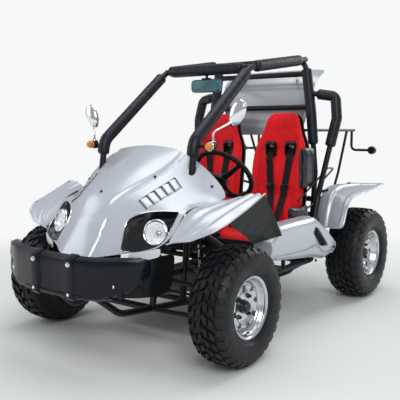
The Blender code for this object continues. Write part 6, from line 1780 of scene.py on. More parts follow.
def rims():
    """Pressed steel wheels: a stepped lip, a well, a dished disc with its holes, and nuts."""
    for end, (centre, width, _, _) in WHEELS.items():
        half = width * 0.4
        lip = half - 0.006
        barrel = [
            (0.1400, half - 0.003), (0.1385, half), (0.1350, half - 0.001), (0.1300, half - 0.006),
            (0.1270, half - 0.012), (0.1235, half - 0.016), (0.1225, half - 0.024),
            (0.1185, half - 0.029), (0.1160, 0.045), (0.1095, 0.036), (0.1075, 0.0),
            (0.1095, -0.036), (0.1225, -half + 0.02), (0.1300, -half + 0.006), (0.1385, -half),
            (0.1400, -half + 0.003), (0.1398, -lip), (0.1275, -lip), (0.1250, -half + 0.020),
            (0.1120, -0.034), (0.1120, 0.034), (0.1250, half - 0.020), (0.1275, lip), (0.1398, lip),
        ]
        face = [
            (0.031, 0.0345), (0.044, 0.0345), (0.062, 0.0355), (0.070, 0.0395), (0.080, 0.0470),
            (0.088, 0.0490), (0.097, 0.0460), (0.104, 0.0385), (0.1085, 0.030), (0.1085, 0.024),
            (0.102, 0.033), (0.096, 0.0415), (0.087, 0.0440), (0.080, 0.0425), (0.070, 0.0350),
            (0.062, 0.0310), (0.031, 0.0300),
        ]
        if end == "rear":
            face = [(r, z + (0.006 * groove(r, 0.085, 0.03))) for r, z in face]
        disc = holed(
            revolved(face, 72, closed=True), 8 if end == "front" else 5, 0.0865,
            0.0135 if end == "front" else 0.0150, 0.045, 0.25
        )
        for name, side in LEFT_RIGHT:
            body = wheel_body(end, name)
            stand = stand_wheel(centre, side)
            parts = [revolved(barrel, 128, closed=True), link("disc", disc.data.copy())]
            if end == "rear":
                for index in range(5):
                    angle = 2 * pi * (index + 0.75) / 5
                    out = Vector((cos(angle), sin(angle), 0))
                    rib = pipe(
                        [
                            out * 0.060 + UP * 0.0365, out * 0.075 + UP * 0.046,
                            out * 0.090 + UP * 0.0525, out * 0.104 + UP * 0.040
                        ],
                        0.0075, 0.02, 12
                    )
                    parts.append(rib)
            made = moved(joined("rim", parts), stand)
            show(
                made, "rim_%s_%s_wheel" % (end, name), "polished_steel", body,
                ["rim_%s_%s" % (end, name)], 40
            )
            fixings = moved(joined("nuts", nuts(4, 0.055, 0.0352, turn=0.5)), stand)
            show(fixings, "wheel_nuts_%s_%s" % (end, name), "dark_steel", body)
            cap = revolved([
                (0, 0.064), (0.012, 0.0638), (0.020, 0.0615), (0.0235, 0.057), (0.0245, 0.050),
                (0.0285, 0.047), (0.0290, 0.036), (0.0290, 0.0290),
            ], 48)
            cap = joined(
                "cap",
                [
                    cap,
                    moved(
                        revolved([(0.0, 0.0665), (0.0075, 0.0665), (0.0085, 0.065), (0.0085, 0.060)], 6),
                        Matrix.Identity(4)
                    )
                ]
            )
            show(moved(cap, stand), "hub_cap_%s_%s" % (end, name), "gloss_black", body)
            valve = pipe([(0.116, 0.0, 0.050), (0.112, 0.0, 0.066)], 0.0032, 0, 10)
            show(moved(valve, stand), "valve_%s_%s" % (end, name), "moulded_black", body)
        bpy.data.objects.remove(disc, do_unlink=True)


def hubs():
    """Front hubs with their drum barrels, and the rear axle with its hubs, sprocket and disc."""
    profile = [
        (0, 0.029), (0.067, 0.029), (0.068, 0.0282), (0.068, 0.0218), (0.067, 0.021),
        (0.046, 0.021), (0.040, 0.012), (0.034, 0.004), (0.0285, -0.004), (0.026, -0.012),
        (0.026, -0.0205), (0.0135, -0.0205), (0.0135, 0.020), (0, 0.020),
    ]
    for name, side in LEFT_RIGHT:
        made = moved(revolved(profile, 64), stand_wheel(FRONT_WHEEL, side))
        show(
            made, "hub_front_%s_casting" % name, "cast_alloy", "wheel_front_" + name,
            ["hub_front_" + name]
        )
    centre = Vector((0, REAR_AXLE_Y, REAR_AXLE_Z))
    parts = [pipe([centre - Vector((0.53, 0, 0)), centre + Vector((0.53, 0, 0))], 0.0155, 0, 40)]
    for _, side in LEFT_RIGHT:
        parts.append(moved(revolved(profile[:11] + [(0, -0.0205)], 64), stand_wheel(REAR_WHEEL, side)))
        for x in (0.150, 0.250):
            ring = revolved(
                [
                    (0.0155, -0.006), (0.024, -0.006), (0.0255, -0.004), (0.0255, 0.004),
                    (0.024, 0.006), (0.0155, 0.006)
                ],
                32
            )
            parts.append(moved(ring, toward(centre + Vector((side * x, 0, 0)), (1, 0, 0))))
    teeth = []
    count = 30
    for index in range(count * 4):
        radius = (0.0695, 0.0745, 0.0745, 0.0695)[index % 4]
        angle = 2 * pi * (index + 0.5) / (count * 4)
        teeth.append((radius * cos(angle), radius * sin(angle)))
    outline = [Vector((SPROCKET[0], SPROCKET[1] + y, SPROCKET[2] + z)) for y, z in teeth]
    sprocket = ring_loft(
        [[p - Vector((0.0023, 0, 0)) for p in outline], [p + Vector((0.0023, 0, 0)) for p in outline]]
    )
    for index in range(5):
        angle = 2 * pi * index / 5
        spot = Vector((SPROCKET[0], SPROCKET[1] + 0.048 * cos(angle), SPROCKET[2] + 0.048 * sin(angle)))
        sprocket = cut_with(
            sprocket, pipe([spot - Vector((0.02, 0, 0)), spot + Vector((0.02, 0, 0))], 0.010, 0, 20)
        )
    carrier = revolved(
        [
            (0.0155, -0.012), (0.030, -0.012), (0.032, -0.004), (0.032, 0.004), (0.030, 0.012),
            (0.0155, 0.012)
        ],
        48, closed=True
    )
    parts.append(moved(carrier, toward(SPROCKET, (1, 0, 0))))
    parts.append(sprocket)
    disc = revolved(
        [
            (0.045, -0.0023), (0.0845, -0.0023), (0.085, -0.0018), (0.085, 0.0018),
            (0.0845, 0.0023), (0.045, 0.0023)
        ],
        96, closed=True
    )
    moved(disc, toward(BRAKE_DISC, (1, 0, 0)))
    for index in range(12):
        angle = 2 * pi * index / 12
        reach = 0.058 + 0.012 * (index % 2)
        spot = Vector(
            (BRAKE_DISC[0], BRAKE_DISC[1] + reach * cos(angle), BRAKE_DISC[2] + reach * sin(angle))
        )
        disc = cut_with(
            disc, pipe([spot - Vector((0.02, 0, 0)), spot + Vector((0.02, 0, 0))], 0.004, 0, 12)
        )
    show(disc, "brake_disc", "polished_steel", "rear_axle")
    bell = revolved(
        [
            (0.0155, -0.010), (0.040, -0.010), (0.050, -0.003), (0.050, 0.003), (0.040, 0.010),
            (0.0155, 0.010)
        ],
        48, closed=True
    )
    parts.append(moved(bell, toward(BRAKE_DISC, (1, 0, 0))))
    show(joined("axle", parts), "live_axle", "dark_steel", "rear_axle", replaces=["rear_axle"])


# Suspension and steering


def tie(start, end, radius):
    """A straight round bar between two points."""
    return pipe([start, end], radius, 0, 28)


def eye(centre, axis, radius=0.013, half=0.012):
    """A rubber bushed eye: an outer ring, a rubber ring and a sleeve."""
    ring = revolved(
        [
            (radius * 0.72, -half * 0.8), (radius, -half * 0.8), (radius, half * 0.8),
            (radius * 0.72, half * 0.8)
        ],
        32, True
    )
    rubber = revolved(
        [(0.0062, -half), (radius * 0.72, -half * 0.85), (radius * 0.72, half * 0.85), (0.0062, half)],
        32, True
    )
    turn = toward(centre, axis)
    return moved(ring, turn), moved(rubber, turn)


def coil(start, end, radius, wire, turns):
    """A wound spring whose last turns lie flat."""
    way = (end - start).normalized()
    side = way.orthogonal().normalized()
    over = way.cross(side)
    length = (end - start).length
    spots = []
    count = int(turns * 20)
    for index in range(count + 1):
        share = index / count
        rise = min(max((share * turns - 0.75) / (turns - 1.5), 0), 1)
        angle = 2 * pi * share * turns
        spots.append(
            start + way * (wire + rise * (length - 2 * wire)) + (
                side * cos(angle) + over * sin(angle)
            ) * radius
        )
    return pipe(spots, wire, 0, 10)


def shocks():
    """The front and rear springs with their dampers, eyes and rubbers."""
    for end, top, low, axis in (
        ("front", (0.335, -0.571, 0.575), (0.395, FRONT_AXLE_Y, 0.1972), (0, 1, 0)),
        ("rear", (0.15, 0.569, 0.6205), REAR_SHOCK_FOOT, (1, 0, 0)),
    ):
        top, low = Vector(top), Vector(low)
        way = (low - top).normalized()
        span = (low - top).length
        ring_a, rubber_a = eye(top, (1, 0, 0))
        ring_b, rubber_b = eye(low, axis)
        rod_part = pipe([top + way * 0.012, low - way * 0.06], 0.006, 0, 24)
        turn = toward(top, way)
        body = moved(revolved([
            (0.006, span * 0.46), (0.0135, span * 0.46), (0.0155, span * 0.465), (0.0155, span - 0.050),
            (0.0120, span - 0.040), (0.0090, span - 0.026), (0.0090, span - 0.012), (0, span - 0.012),
        ], 40), turn)
        cups = [moved(revolved([
            (0.006, 0.028), (0.020, 0.030), (0.0325, 0.036), (0.0330, 0.041), (0.0310, 0.042),
            (0.020, 0.038), (0.006, 0.038),
        ], 48), turn), moved(revolved([
            (0.0155, span - 0.036), (0.0325, span - 0.040), (0.0330, span - 0.046),
            (0.0310, span - 0.047), (0.0155, span - 0.045),
        ], 48), turn)]
        notch = moved(revolved([
            (0.0155, span - 0.048), (0.0200, span - 0.048), (0.0200, span - 0.060),
            (0.0155, span - 0.060),
        ], 12), turn)
        spring = coil(top + way * 0.040, low - way * 0.044, 0.028, 0.0047, 8)
        bump = moved(
            revolved(
                [
                    (0.006, 0.044), (0.013, 0.046), (0.0145, 0.056), (0.012, 0.064),
                    (0.0135, 0.072), (0.006, 0.074)
                ],
                32
            ),
            turn
        )
        node = "shock_" + end
        both_sides(spring, node + "_spring", "gloss_black", nodes=[node])
        both_sides(joined("steel", [ring_a, ring_b, body, notch] + cups), node + "_body", "dark_steel")
        both_sides(rod_part, node + "_rod", "chrome")
        both_sides(joined("rubber", [rubber_a, rubber_b, bump]), node + "_rubber", "moulded_black")


def wishbones():
    """Each arm with its legs, ball joint housing, boot and pivots."""
    for level, inner, height, sign in (
        ("upper", ((0.212, -0.716, 0.365), (0.25, -0.507, 0.365)), 0.3358, 1),
        ("lower", ((0.188, -0.736, 0.21), (0.243, -0.497, 0.204)), 0.1972, -1),
    ):
        tip = Vector((KINGPIN[0], KINGPIN[1], height))
        parts = []
        for spot, y in zip(inner, (-0.6785, -0.5545)):
            parts.append(pipe([spot, (0.395, y, height), tip], 0.011, 0.03, 20))
        parts.append(
            tie((0.370, -0.668 if level == "lower" else -0.664, height), (0.370, -0.563, height), 0.007)
        )
        housing = revolved([
            (0, -0.0135), (0.015, -0.0135), (0.017, -0.0115), (0.017, 0.0115), (0.015, 0.0135),
            (0.008, 0.0135), (0.008, 0.016), (0, 0.016),
        ], 32)
        housing = moved(housing, toward(tip, (0, 0, sign)))
        parts.append(housing)
        if level == "lower":
            parts.append(tie((0.395, -0.6785, height), (0.395, -0.5545, height), 0.006))
            for y in (-0.6385, -0.5945):
                parts.append(slab((0.395, y, height), (0.030, 0.005, 0.030), 0.002))
        both_sides(
            joined("arm", parts), "front_arm_" + level + "_tubes", "powder_coat",
            nodes=["front_arm_" + level]
        )
        boot = revolved([(0.0095, 0.0), (0.0145, 0.0012), (0.0125, 0.0026), (0.0095, 0.0036)], 24)
        boot = moved(boot, toward(tip + Vector((0, 0, -sign * 0.0136)), (0, 0, -sign)))
        both_sides(boot, "front_arm_" + level + "_boot", "moulded_black")


def knuckles():
    """Cast uprights with the stub axle, steering arm and its taper."""
    centre = Vector(KINGPIN)
    post = revolved([
        (0, -0.055), (0.0135, -0.055), (0.0140, -0.053), (0.0140, -0.030), (0.0185, -0.022),
        (0.0185, 0.022), (0.0140, 0.030), (0.0140, 0.053), (0.0135, 0.055), (0, 0.055),
    ], 40)
    parts = [moved(post, Matrix.Translation(centre))]
    stub = revolved([
        (0, 0.0), (0.0200, 0.0), (0.0255, 0.070), (0.0260, 0.0725), (0.0260, 0.1079),
        (0.0125, 0.1079), (0.0125, 0.1570), (0.0115, 0.1579), (0, 0.1579),
    ], 48)
    parts.append(moved(stub, toward(centre, (1, 0, 0))))
    arm = [
        [
            centre + Vector((a, y, -0.035 + b))
            for a, b in ((-w, -0.005), (w, -0.005), (w, 0.005), (-w, 0.005))
        ]
        for y, w in ((0.0, 0.0138), (0.030, 0.0125), (0.060, 0.0105), (0.0845, 0.0110))
    ]
    parts.append(ring_loft(arm))
    knob = revolved(
        [
            (0, -0.0055), (0.0125, -0.0055), (0.013, -0.0045), (0.013, 0.0045), (0.0125, 0.0055),
            (0, 0.0055)
        ],
        32
    )
    parts.append(moved(knob, Matrix.Translation(centre + Vector((0, 0.0845, -0.035)))))
    both_sides(
        joined("upright", parts), "knuckle_casting", "cast_alloy",
        ("knuckle_left", "knuckle_right"), nodes=["knuckle"]
    )


def rack_and_ties():
    """The steering rack with its tie rods, and its case."""
    y, z = RACK_Y, RACK_Z
    parts = [tie((-RACK_HALF, y, z), (RACK_HALF, y, z), 0.0105)]
    ends = []
    for _, side in LEFT_RIGHT:
        inner = Vector((side * RACK_HALF, y, z))
        outer = Vector((side * KINGPIN[0], y, z))
        parts.append(tie(inner, outer, 0.0066))
        ends.append(turned([(0, -0.013), (0.0125, -0.011), (0.0125, 0.011), (0, 0.013)], 24, inner))
        hexed = revolved([(0, -0.014), (0.0105, -0.014), (0.0105, 0.014), (0, 0.014)], 6)
        ends.append(moved(hexed, toward(outer - Vector((side * 0.045, 0, 0)), (1, 0, 0))))
        ring = revolved(
            [(0.0062, -0.0080), (0.0125, -0.0075), (0.0130, 0.004), (0.0110, 0.0095), (0, 0.0095)],
            32
        )
        ends.append(moved(ring, Matrix.Translation(outer)))
    show(joined("rack", parts), "rack_bar", "dark_steel", "rack", replaces=["steering_rack"])
    show(joined("tie_ends", ends), "tie_rod_ends", "polished_steel", "rack")
    case = revolved([
        (0.0112, -0.130), (0.0190, -0.130), (0.0215, -0.127), (0.0215, -0.114), (0.0190, -0.110),
        (0.0190, 0.060), (0.0215, 0.064), (0.0215, 0.127), (0.0190, 0.130), (0.0112, 0.130),
    ], 48, True)
    parts = [moved(case, toward((0, y, z), (1, 0, 0)))]
    parts.append(slab((0, y + 0.012, z - 0.018), (0.20, 0.045, 0.018), 0.003))
    parts.append(slab((0, -0.500, z - 0.024), (0.16, 0.030, 0.008), 0.002))
    parts.append(pipe([(0.0, y + 0.002, z + 0.006), (0.060, y + 0.030, z + 0.040)], 0.015, 0, 32))
    for x in (-0.085, 0.085):
        strap = revolved(
            [(0.0215, -0.009), (0.0245, -0.009), (0.0245, 0.009), (0.0215, 0.009)], 40, True
        )
        parts.append(moved(strap, toward((x, y, z), (1, 0, 0))))
    show(joined("rack_case", parts), "rack_case", "cast_alloy", replaces=["rack_housing"])


def hand_wheel():
    """The steering wheel with its grip, hub, spokes and column."""
    centre = Vector(HAND_WHEEL)
    lean = HAND_WHEEL_LEAN * pi / 180
    axis = Vector((0, cos(lean), sin(lean)))
    turn = toward(centre, axis)
    profile = []
    for index in range(20):
        angle = 2 * pi * index / 20
        profile.append((HAND_WHEEL_RADIUS + 0.0130 * cos(angle), 0.0130 * sin(angle)))
    grip = moved(revolved(profile, 144, True), turn)
    grips = [grip]
    for index in range(24):
        angle = 2 * pi * index / 24
        if index % 8 in (0, 1, 7):
            continue
        spot = turn @ Vector((HAND_WHEEL_RADIUS * cos(angle), HAND_WHEEL_RADIUS * sin(angle), 0))
        way = turn.to_3x3() @ Vector((-sin(angle), cos(angle), 0))
        grips.append(
            turned(
                [(0.0125, -0.0045), (0.0140, -0.002), (0.0140, 0.002), (0.0125, 0.0045)], 24, spot,
                way, closed=True
            )
        )
    show(
        joined("grip", grips), "steering_wheel_rim", "moulded_black", "steering",
        replaces=["steering_wheel"]
    )
    parts = [moved(revolved([
        (0, -0.0245), (0.0300, -0.0245), (0.0345, -0.0265), (0.0350, -0.030), (0.0350, -0.052),
        (0.0300, -0.056), (0, -0.056),
    ], 48), turn)]
    for index in range(3):
        angle = 2 * pi * index / 3 - pi / 2
        out = Vector((cos(angle), sin(angle), 0))
        rows = []
        for reach, height, wide in (
            (0.028, -0.036, 0.017), (0.065, -0.034, 0.0135), (0.110, -0.020, 0.0115),
            (0.150, -0.002, 0.0115)
        ):
            over = Vector((-sin(angle), cos(angle), 0))
            spot = out * reach + UP * height
            rows.append(
                [
                    turn @ (spot + over * a * wide + UP * b * 0.0032)
                    for a, b in ((-1, -1), (1, -1), (1, 1), (-1, 1))
                ]
            )
        spoke = ring_loft(rows)
        parts.append(spoke)
    down = centre - axis * 0.045
    foot = Vector((
        HAND_WHEEL[0], COLUMN_FOOT_Y, HAND_WHEEL[2] - (HAND_WHEEL[1] - COLUMN_FOOT_Y) / axis.y * axis.z,
    ))
    parts.append(tie(down, foot, 0.0105))
    parts.append(
        turned(
            [(0.0105, 0), (0.0150, 0.004), (0.0150, 0.030), (0.0105, 0.034)], 24,
            down - axis * 0.07, axis
        )
    )
    show(joined("hub", parts), "steering_wheel_hub", "powder_coat", "steering")
    cap = moved(
        revolved(
            [
                (0, -0.0175), (0.016, -0.0180), (0.024, -0.0205), (0.0265, -0.0245),
                (0.0265, -0.030), (0, -0.030)
            ],
            40
        ),
        turn
    )
    show(cap, "horn_pad", "gloss_black", "steering")


def rear_arm():
    """The swing arm with its pivots, bearings and shock pins."""
    pivot, carrier = Vector(SWING_PIVOT), Vector(SWING_CARRIER)
    parts = []
    way = (carrier - pivot).normalized()
    for _, side in LEFT_RIGHT:
        a = Vector((side * pivot.x, pivot.y, pivot.z))
        b = Vector((side * carrier.x, carrier.y, carrier.z))
        parts.append(tie(a, b, 0.014))
        sleeve = revolved(
            [
                (0.0085, -0.022), (0.0255, -0.022), (0.027, -0.020), (0.027, 0.020),
                (0.0255, 0.022), (0.0085, 0.022)
            ],
            40, True
        )
        parts.append(moved(sleeve, toward(a, (1, 0, 0))))
        bearing = revolved([
            (0.0185, -0.022), (0.0240, -0.022), (0.0245, -0.020), (0.0335, -0.020),
            (0.0360, -0.017), (0.0360, 0.017), (0.0335, 0.020),
            (0.0245, 0.020), (0.0240, 0.022), (0.0185, 0.022),
        ], 48, True)
        parts.append(moved(bearing, toward(b, (1, 0, 0))))
        for index in range(4):
            angle = 2 * pi * (index + 0.5) / 4
            spot = b + Vector((side * 0.019, 0.0295 * cos(angle), 0.0295 * sin(angle)))
            parts.append(bolt(spot, (side, 0, 0), 0.004, 0.005))
        shock = Vector((side * REAR_SHOCK_FOOT[0], REAR_SHOCK_FOOT[1], REAR_SHOCK_FOOT[2]))
        parts.append(
            tie(shock - Vector((side * 0.018, 0, 0)), Vector((side * 0.2, shock.y, shock.z)), 0.006)
        )
        parts.append(bolt(shock - Vector((side * 0.018, 0, 0)), (-side, 0, 0), 0.009, 0.006))
        gusset = slab((side * 0.176, shock.y, shock.z + 0.002), (0.005, 0.040, 0.030), 0.002)
        parts.append(gusset)
        root = a + way * 0.05
        parts.append(slab(root + Vector((0, 0, 0.010)), (0.006, 0.050, 0.030), 0.002))
    middle = pivot.lerp(carrier, 0.45)
    parts.append(tie((-0.2, middle.y, middle.z), (0.2, middle.y, middle.z), 0.013))
    for side in (-1, 1):
        corner = pivot.lerp(carrier, 0.24)
        parts.append(tie((side * 0.2, corner.y, corner.z), (side * 0.115, middle.y, middle.z), 0.009))
    show(joined("swing", parts), "swing_arm_tubes", "powder_coat", replaces=["swing_arm"])


# Engine, exhaust and fittings


def engine_unit():
    """A finned single cylinder unit with its belt case, fan cowl, carburettor and starter."""
    centre = Vector(ENGINE)
    block_rows = []
    for z, width, length, corner in (
        (-0.085, 0.120, 0.150, 0.020), (-0.078, 0.150, 0.185, 0.028), (-0.060, 0.176, 0.214, 0.034),
        (0.0, 0.180, 0.220, 0.036),
        (0.050, 0.176, 0.214, 0.036), (0.078, 0.150, 0.180, 0.034), (0.085, 0.128, 0.150, 0.030),
    ):
        block_rows.append([centre + Vector((p.x, p.y, z)) for p in rounded_frame(width, length, corner)])
    case = [ring_loft(block_rows)]
    for z in (-0.025, 0.032):
        case.append(
            ring_loft(
                [
                    [centre + Vector((p.x, p.y, z + d)) for p in rounded_frame(0.186, 0.226, 0.038)]
                    for d in (-0.003, 0.003)
                ]
            )
        )
    for index in range(8):
        angle = 2 * pi * (index + 0.5) / 8
        case.append(
            bolt(
                centre + Vector((0.074 * cos(angle), 0.094 * sin(angle), 0.080)), (0, 0, 1), 0.005,
                0.008
            )
        )
    case.append(
        turned(
            [
                (0, 0), (0.050, 0), (0.054, 0.004), (0.054, 0.014), (0.048, 0.020), (0.020, 0.022),
                (0, 0.022)
            ],
            48, centre + Vector((-0.086, 0.02, 0)), (-1, 0, 0)
        )
    )
    case.append(
        turned(
            [(0, 0), (0.018, 0), (0.019, 0.01), (0.019, 0.060), (0.015, 0.066), (0, 0.066)], 32,
            centre + Vector((-0.045, -0.108, -0.01)), (0, -1, 0)
        )
    )
    show(joined("crankcase", case), "crankcase", "cast_alloy", replaces=["engine"])
    barrel = [
        moved(
            revolved([(0, 0.078), (0.046, 0.078), (0.046, 0.165), (0, 0.165)], 48),
            Matrix.Translation(centre)
        )
    ]
    for index in range(9):
        z = 0.093 + index * 0.0105
        size = 0.124 if index < 7 else 0.116
        rows = []
        for d, inset in ((-0.0016, 0.002), (-0.0010, 0.0), (0.0010, 0.0), (0.0016, 0.002)):
            rows.append(
                [
                    centre + Vector((p.x, p.y, z + d))
                    for p in rounded_frame(size - inset, size - inset, 0.022)
                ]
            )
        barrel.append(ring_loft(rows))
    rows = []
    for z, size in ((0.186, 0.088), (0.190, 0.092), (0.1935, 0.092), (0.1950, 0.086)):
        rows.append([centre + Vector((p.x, p.y, z)) for p in rounded_frame(size, size, 0.024)])
    barrel.append(ring_loft(rows))
    for index in range(4):
        angle = 2 * pi * (index + 0.5) / 4
        barrel.append(
            bolt(
                centre + Vector((0.044 * cos(angle), 0.044 * sin(angle), 0.187)), (0, 0, 1), 0.006,
                0.009
            )
        )
    show(joined("barrel", barrel), "cylinder_fins", "cast_alloy")
    middle = Vector(BELT_CASE)
    rings = []
    for x, size in ((-0.015, 0.075), (0.004, 0.075), (0.010, 0.072), (0.0145, 0.064)):
        ring = []
        for end, start in ((0.055, -pi / 2), (-0.055, pi / 2)):
            for step in range(17):
                angle = start + step / 16 * pi
                ring.append(middle + Vector((x, end + size * cos(angle), size * sin(angle))))
        rings.append(ring)
    belt = [ring_loft(rings)]
    for index in range(7):
        y = -0.075 + index * 0.025
        belt.append(slab(middle + Vector((0.0145, y, 0)), (0.005, 0.007, 0.082), 0.002))
    for index in range(10):
        angle = 2 * pi * index / 10
        end = 0.055 if cos(angle) >= 0 else -0.055
        belt.append(
            bolt(
                middle + Vector((0.008, end + 0.070 * cos(angle), 0.070 * sin(angle))), (1, 0, 0),
                0.0042, 0.007
            )
        )
    show(joined("belt_case", belt), "belt_case_cover", "powder_coat")
    intake = [
        pipe(
            [centre + Vector((0.0, -0.042, 0.135)), centre + Vector((0.0, -0.085, 0.140))], 0.014,
            0, 24
        ),
        slab(centre + Vector((0.0, -0.085, 0.118)), (0.044, 0.036, 0.052), 0.008),
    ]
    show(joined("intake", intake), "carburettor", "cast_alloy")
    lead = pipe(
        [
            centre + Vector((0.058, 0.0, 0.150)), centre + Vector((0.078, 0.0, 0.156)),
            centre + Vector((0.088, -0.03, 0.12)), centre + Vector((0.080, -0.05, 0.082))
        ],
        0.004, 0.02, 12
    )
    plug = turned(
        [(0, 0), (0.0095, 0), (0.0095, 0.022), (0.0065, 0.026), (0, 0.026)], 20,
        centre + Vector((0.052, 0, 0.149)), (1, 0, 0.2)
    )
    show(joined("plug", [lead, plug]), "spark_lead", "moulded_black")


def exhaust_system():
    """The exhaust pipe and the silencer with its bands."""
    run = pipe(
        [(-0.0401, 0.764, 0.4701), (-0.0401, 0.8333, 0.4701), (-0.0401, 0.9092, 0.5796)], 0.0137,
        0.045, 28
    )
    flange = turned(
        [(0.012, -0.006), (0.026, -0.006), (0.026, 0.004), (0.012, 0.004)], 32,
        (-0.0401, 0.772, 0.4701), (0, 1, 0), closed=True
    )
    show(joined("pipe", [run, flange]), "exhaust_pipe", "dark_steel", replaces=["exhaust"])
    centre = Vector(SILENCER)
    can = revolved([
        (0.012, -0.129), (0.016, -0.130), (0.018, -0.124), (0.034, -0.120), (0.045, -0.113),
        (0.0495, -0.104), (0.0495, -0.050), (0.0485, -0.047), (0.0485, -0.040), (0.0495, -0.037),
        (0.0495, 0.104), (0.045, 0.113), (0.034, 0.121), (0, 0.127),
    ], 64)
    parts = [moved(can, toward(centre, (1, 0, 0)))]
    tail = revolved([(0.0090, -0.129), (0.0105, -0.129), (0.0105, -0.112), (0.0090, -0.112)], 32, True)
    parts.append(moved(tail, toward(centre, (1, 0, 0))))
    show(joined("can", parts), "silencer", "dark_steel")
    bands = []
    for x in (-0.075, 0.075):
        bands.append(
            turned(
                [(0.0490, -0.008), (0.0500, -0.008), (0.0500, 0.008), (0.0490, 0.008)], 64,
                centre + Vector((x, 0, 0)), closed=True
            )
        )
    show(joined("bands", bands), "silencer_bands", "polished_steel")


def signals():
    """The turn signals: case, stem, lens and ring."""
    spot = Vector((SIGNAL_X, SIGNAL_Y, SIGNAL_Z))
    box = softened(slab(spot, (0.028, 0.034, 0.043), 0.006, 2), levels=1)
    cup = revolved(
        [
            (0.0, 0.0), (0.019, 0.0), (0.0215, 0.004), (0.0215, 0.016), (0.0195, 0.016),
            (0.0190, 0.006), (0, 0.006)
        ],
        40
    )
    cup = moved(cup, toward((SIGNAL_X, -0.520, SIGNAL_Z), (0, -1, 0)))
    stem = pipe([(0.291, -0.536, SIGNAL_Z), (0.33, -0.526, SIGNAL_Z), spot], 0.0075, 0.02, 20)
    both_sides(
        joined("signal", [box, cup, stem]), "turn_signal_case", "moulded_black",
        nodes=["turn_signal"]
    )
    lens = revolved([
        (0, 0.044), (0.006, 0.0435), (0.0115, 0.041), (0.0155, 0.036), (0.0180, 0.029),
        (0.0192, 0.020), (0.0192, 0.010), (0, 0.010),
    ], 48)
    both_sides(
        moved(lens, toward((SIGNAL_X, -0.524, SIGNAL_Z), (0, -1, 0))), "turn_signal_lens",
        "amber_glass"
    )
    rim = revolved([(0.0192, 0.0), (0.0212, 0.0), (0.0212, 0.006), (0.0192, 0.006)], 48, True)
    both_sides(
        moved(rim, toward((SIGNAL_X, -0.5395, SIGNAL_Z), (0, -1, 0))), "turn_signal_ring", "chrome"
    )


def mirrors():
    """The mirrors: shell, glass and stem."""
    lean = Matrix.Rotation(25 * pi / 180, 4, "Y")
    place_at = Matrix.Translation(MIRROR) @ lean
    rings = []
    for y, size, drop in (
        (-0.0175, 0.16, 0), (-0.0155, 0.48, 0), (-0.0115, 0.76, 0), (-0.0050, 0.94, 0),
        (0.0035, 1.0, 0), (0.0085, 0.985, 0), (0.0095, 0.93, 0), (0.0075, 0.90, 0),
    ):
        ring = []
        for index in range(40):
            angle = 2 * pi * index / 40
            narrow = 1 - 0.22 * (0.5 - 0.5 * sin(angle)) ** 1.5
            ring.append(
                place_at @ Vector(
                    (0.043 * size * narrow * cos(angle), y, 0.067 * size * sin(angle) + drop)
                )
            )
        rings.append(ring)
    both_sides(ring_loft(rings), "mirror_shell", "chrome", nodes=["mirror"])
    glass = []
    for y, size in ((0.0070, 0.905), (0.0082, 0.89)):
        ring = []
        for index in range(40):
            angle = 2 * pi * index / 40
            narrow = 1 - 0.22 * (0.5 - 0.5 * sin(angle)) ** 1.5
            ring.append(
                place_at @ Vector((0.043 * size * narrow * cos(angle), y, 0.067 * size * sin(angle)))
            )
        glass.append(ring)
    both_sides(ring_loft(glass), "mirror_glass", "clear_glass")
    stem = [
        pipe(
            [(SIGNAL_X, SIGNAL_Y, 0.9776), (SIGNAL_X, SIGNAL_Y, 1.0205), MIRROR_ELBOW], 0.0047,
            0.03, 20
        )
    ]
    stem.append(bolt((SIGNAL_X, SIGNAL_Y, 0.976), (0, 0, 1), 0.009, 0.010))
    stem.append(
        moved(
            revolved([(0, -0.008), (0.0075, -0.006), (0.0095, 0), (0.0075, 0.006), (0, 0.008)], 24),
            Matrix.Translation(MIRROR_ELBOW)
        )
    )
    both_sides(joined("stem", stem), "mirror_stem", "chrome")


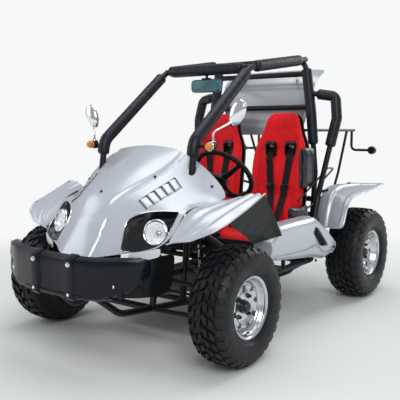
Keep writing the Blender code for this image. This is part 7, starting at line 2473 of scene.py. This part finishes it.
def centre_pod():
    """The teal pod below the roof bar and its stem."""
    centre = Vector(CENTRE_POD)
    rows = []
    for x, size in (
        (-0.094, 0.72), (-0.088, 0.90), (-0.075, 0.99), (0.075, 0.99), (0.088, 0.90), (0.094, 0.72)
    ):
        rows.append(
            [centre + Vector((x, p.x * size, p.y * size)) for p in rounded_frame(0.043, 0.073, 0.017)]
        )
    body = ring_loft(rows)
    ribs = []
    for index in range(5):
        z = -0.026 + index * 0.013
        ribs.append(slab(centre + Vector((0, -0.0205, z)), (0.150, 0.0035, 0.0055), 0.0015))
    show(joined("pod", [body] + ribs), "centre_pod", "teal_gloss", replaces=["centre_mirror"])
    stem = [
        pipe([centre + UP * 0.033, (0, -0.034, 1.335)], 0.0075, 0, 20),
        slab(centre + UP * 0.039, (0.050, 0.030, 0.008), 0.003)
    ]
    show(joined("pod_stem", stem), "centre_pod_stem", "moulded_black")


def side_rails():
    """The looped double rods beside each seat and the lower step tube."""
    rods = []
    for run in (
        ((0.2525, 0.636), (0.6295, 0.803), (0.7145, 0.799), (0.5915, 0.745)),
        ((0.1745, 0.533), (0.6375, 0.657), (0.6535, 0.613), (0.5325, 0.563)),
    ):
        rods.append(pipe([(0.42, y, z) for y, z in run], 0.0055, 0.03, 14))
    both_sides(joined("rods", rods), "side_hoops", "gloss_black")
    step = pipe([(0.45, -0.0785, 0.329), (0.45, 0.0605, 0.283), (0.45, 0.2315, 0.292)], 0.011, 0.06, 20)
    both_sides(step, "step_tube", "powder_coat")


def carried_nodes():
    """The floor pan keeps its CAD shape and gets its finish."""
    dress("floor_pan", "floor_plate")


camera_and_stage()
carried_nodes()
frame_and_cage()
foam_pads()
luggage_rack()
hood()
headlights()
front_fenders()
bumper()
nose_apron()
side_pods()
rear_fenders()
rear_panel()
seats()
tyres()
rims()
hubs()
shocks()
wishbones()
knuckles()
rack_and_ties()
hand_wheel()
rear_arm()
engine_unit()
exhaust_system()
signals()
mirrors()
centre_pod()
side_rails()

bpy.context.scene.view_settings.view_transform = "Standard"
bpy.context.view_layer.update()
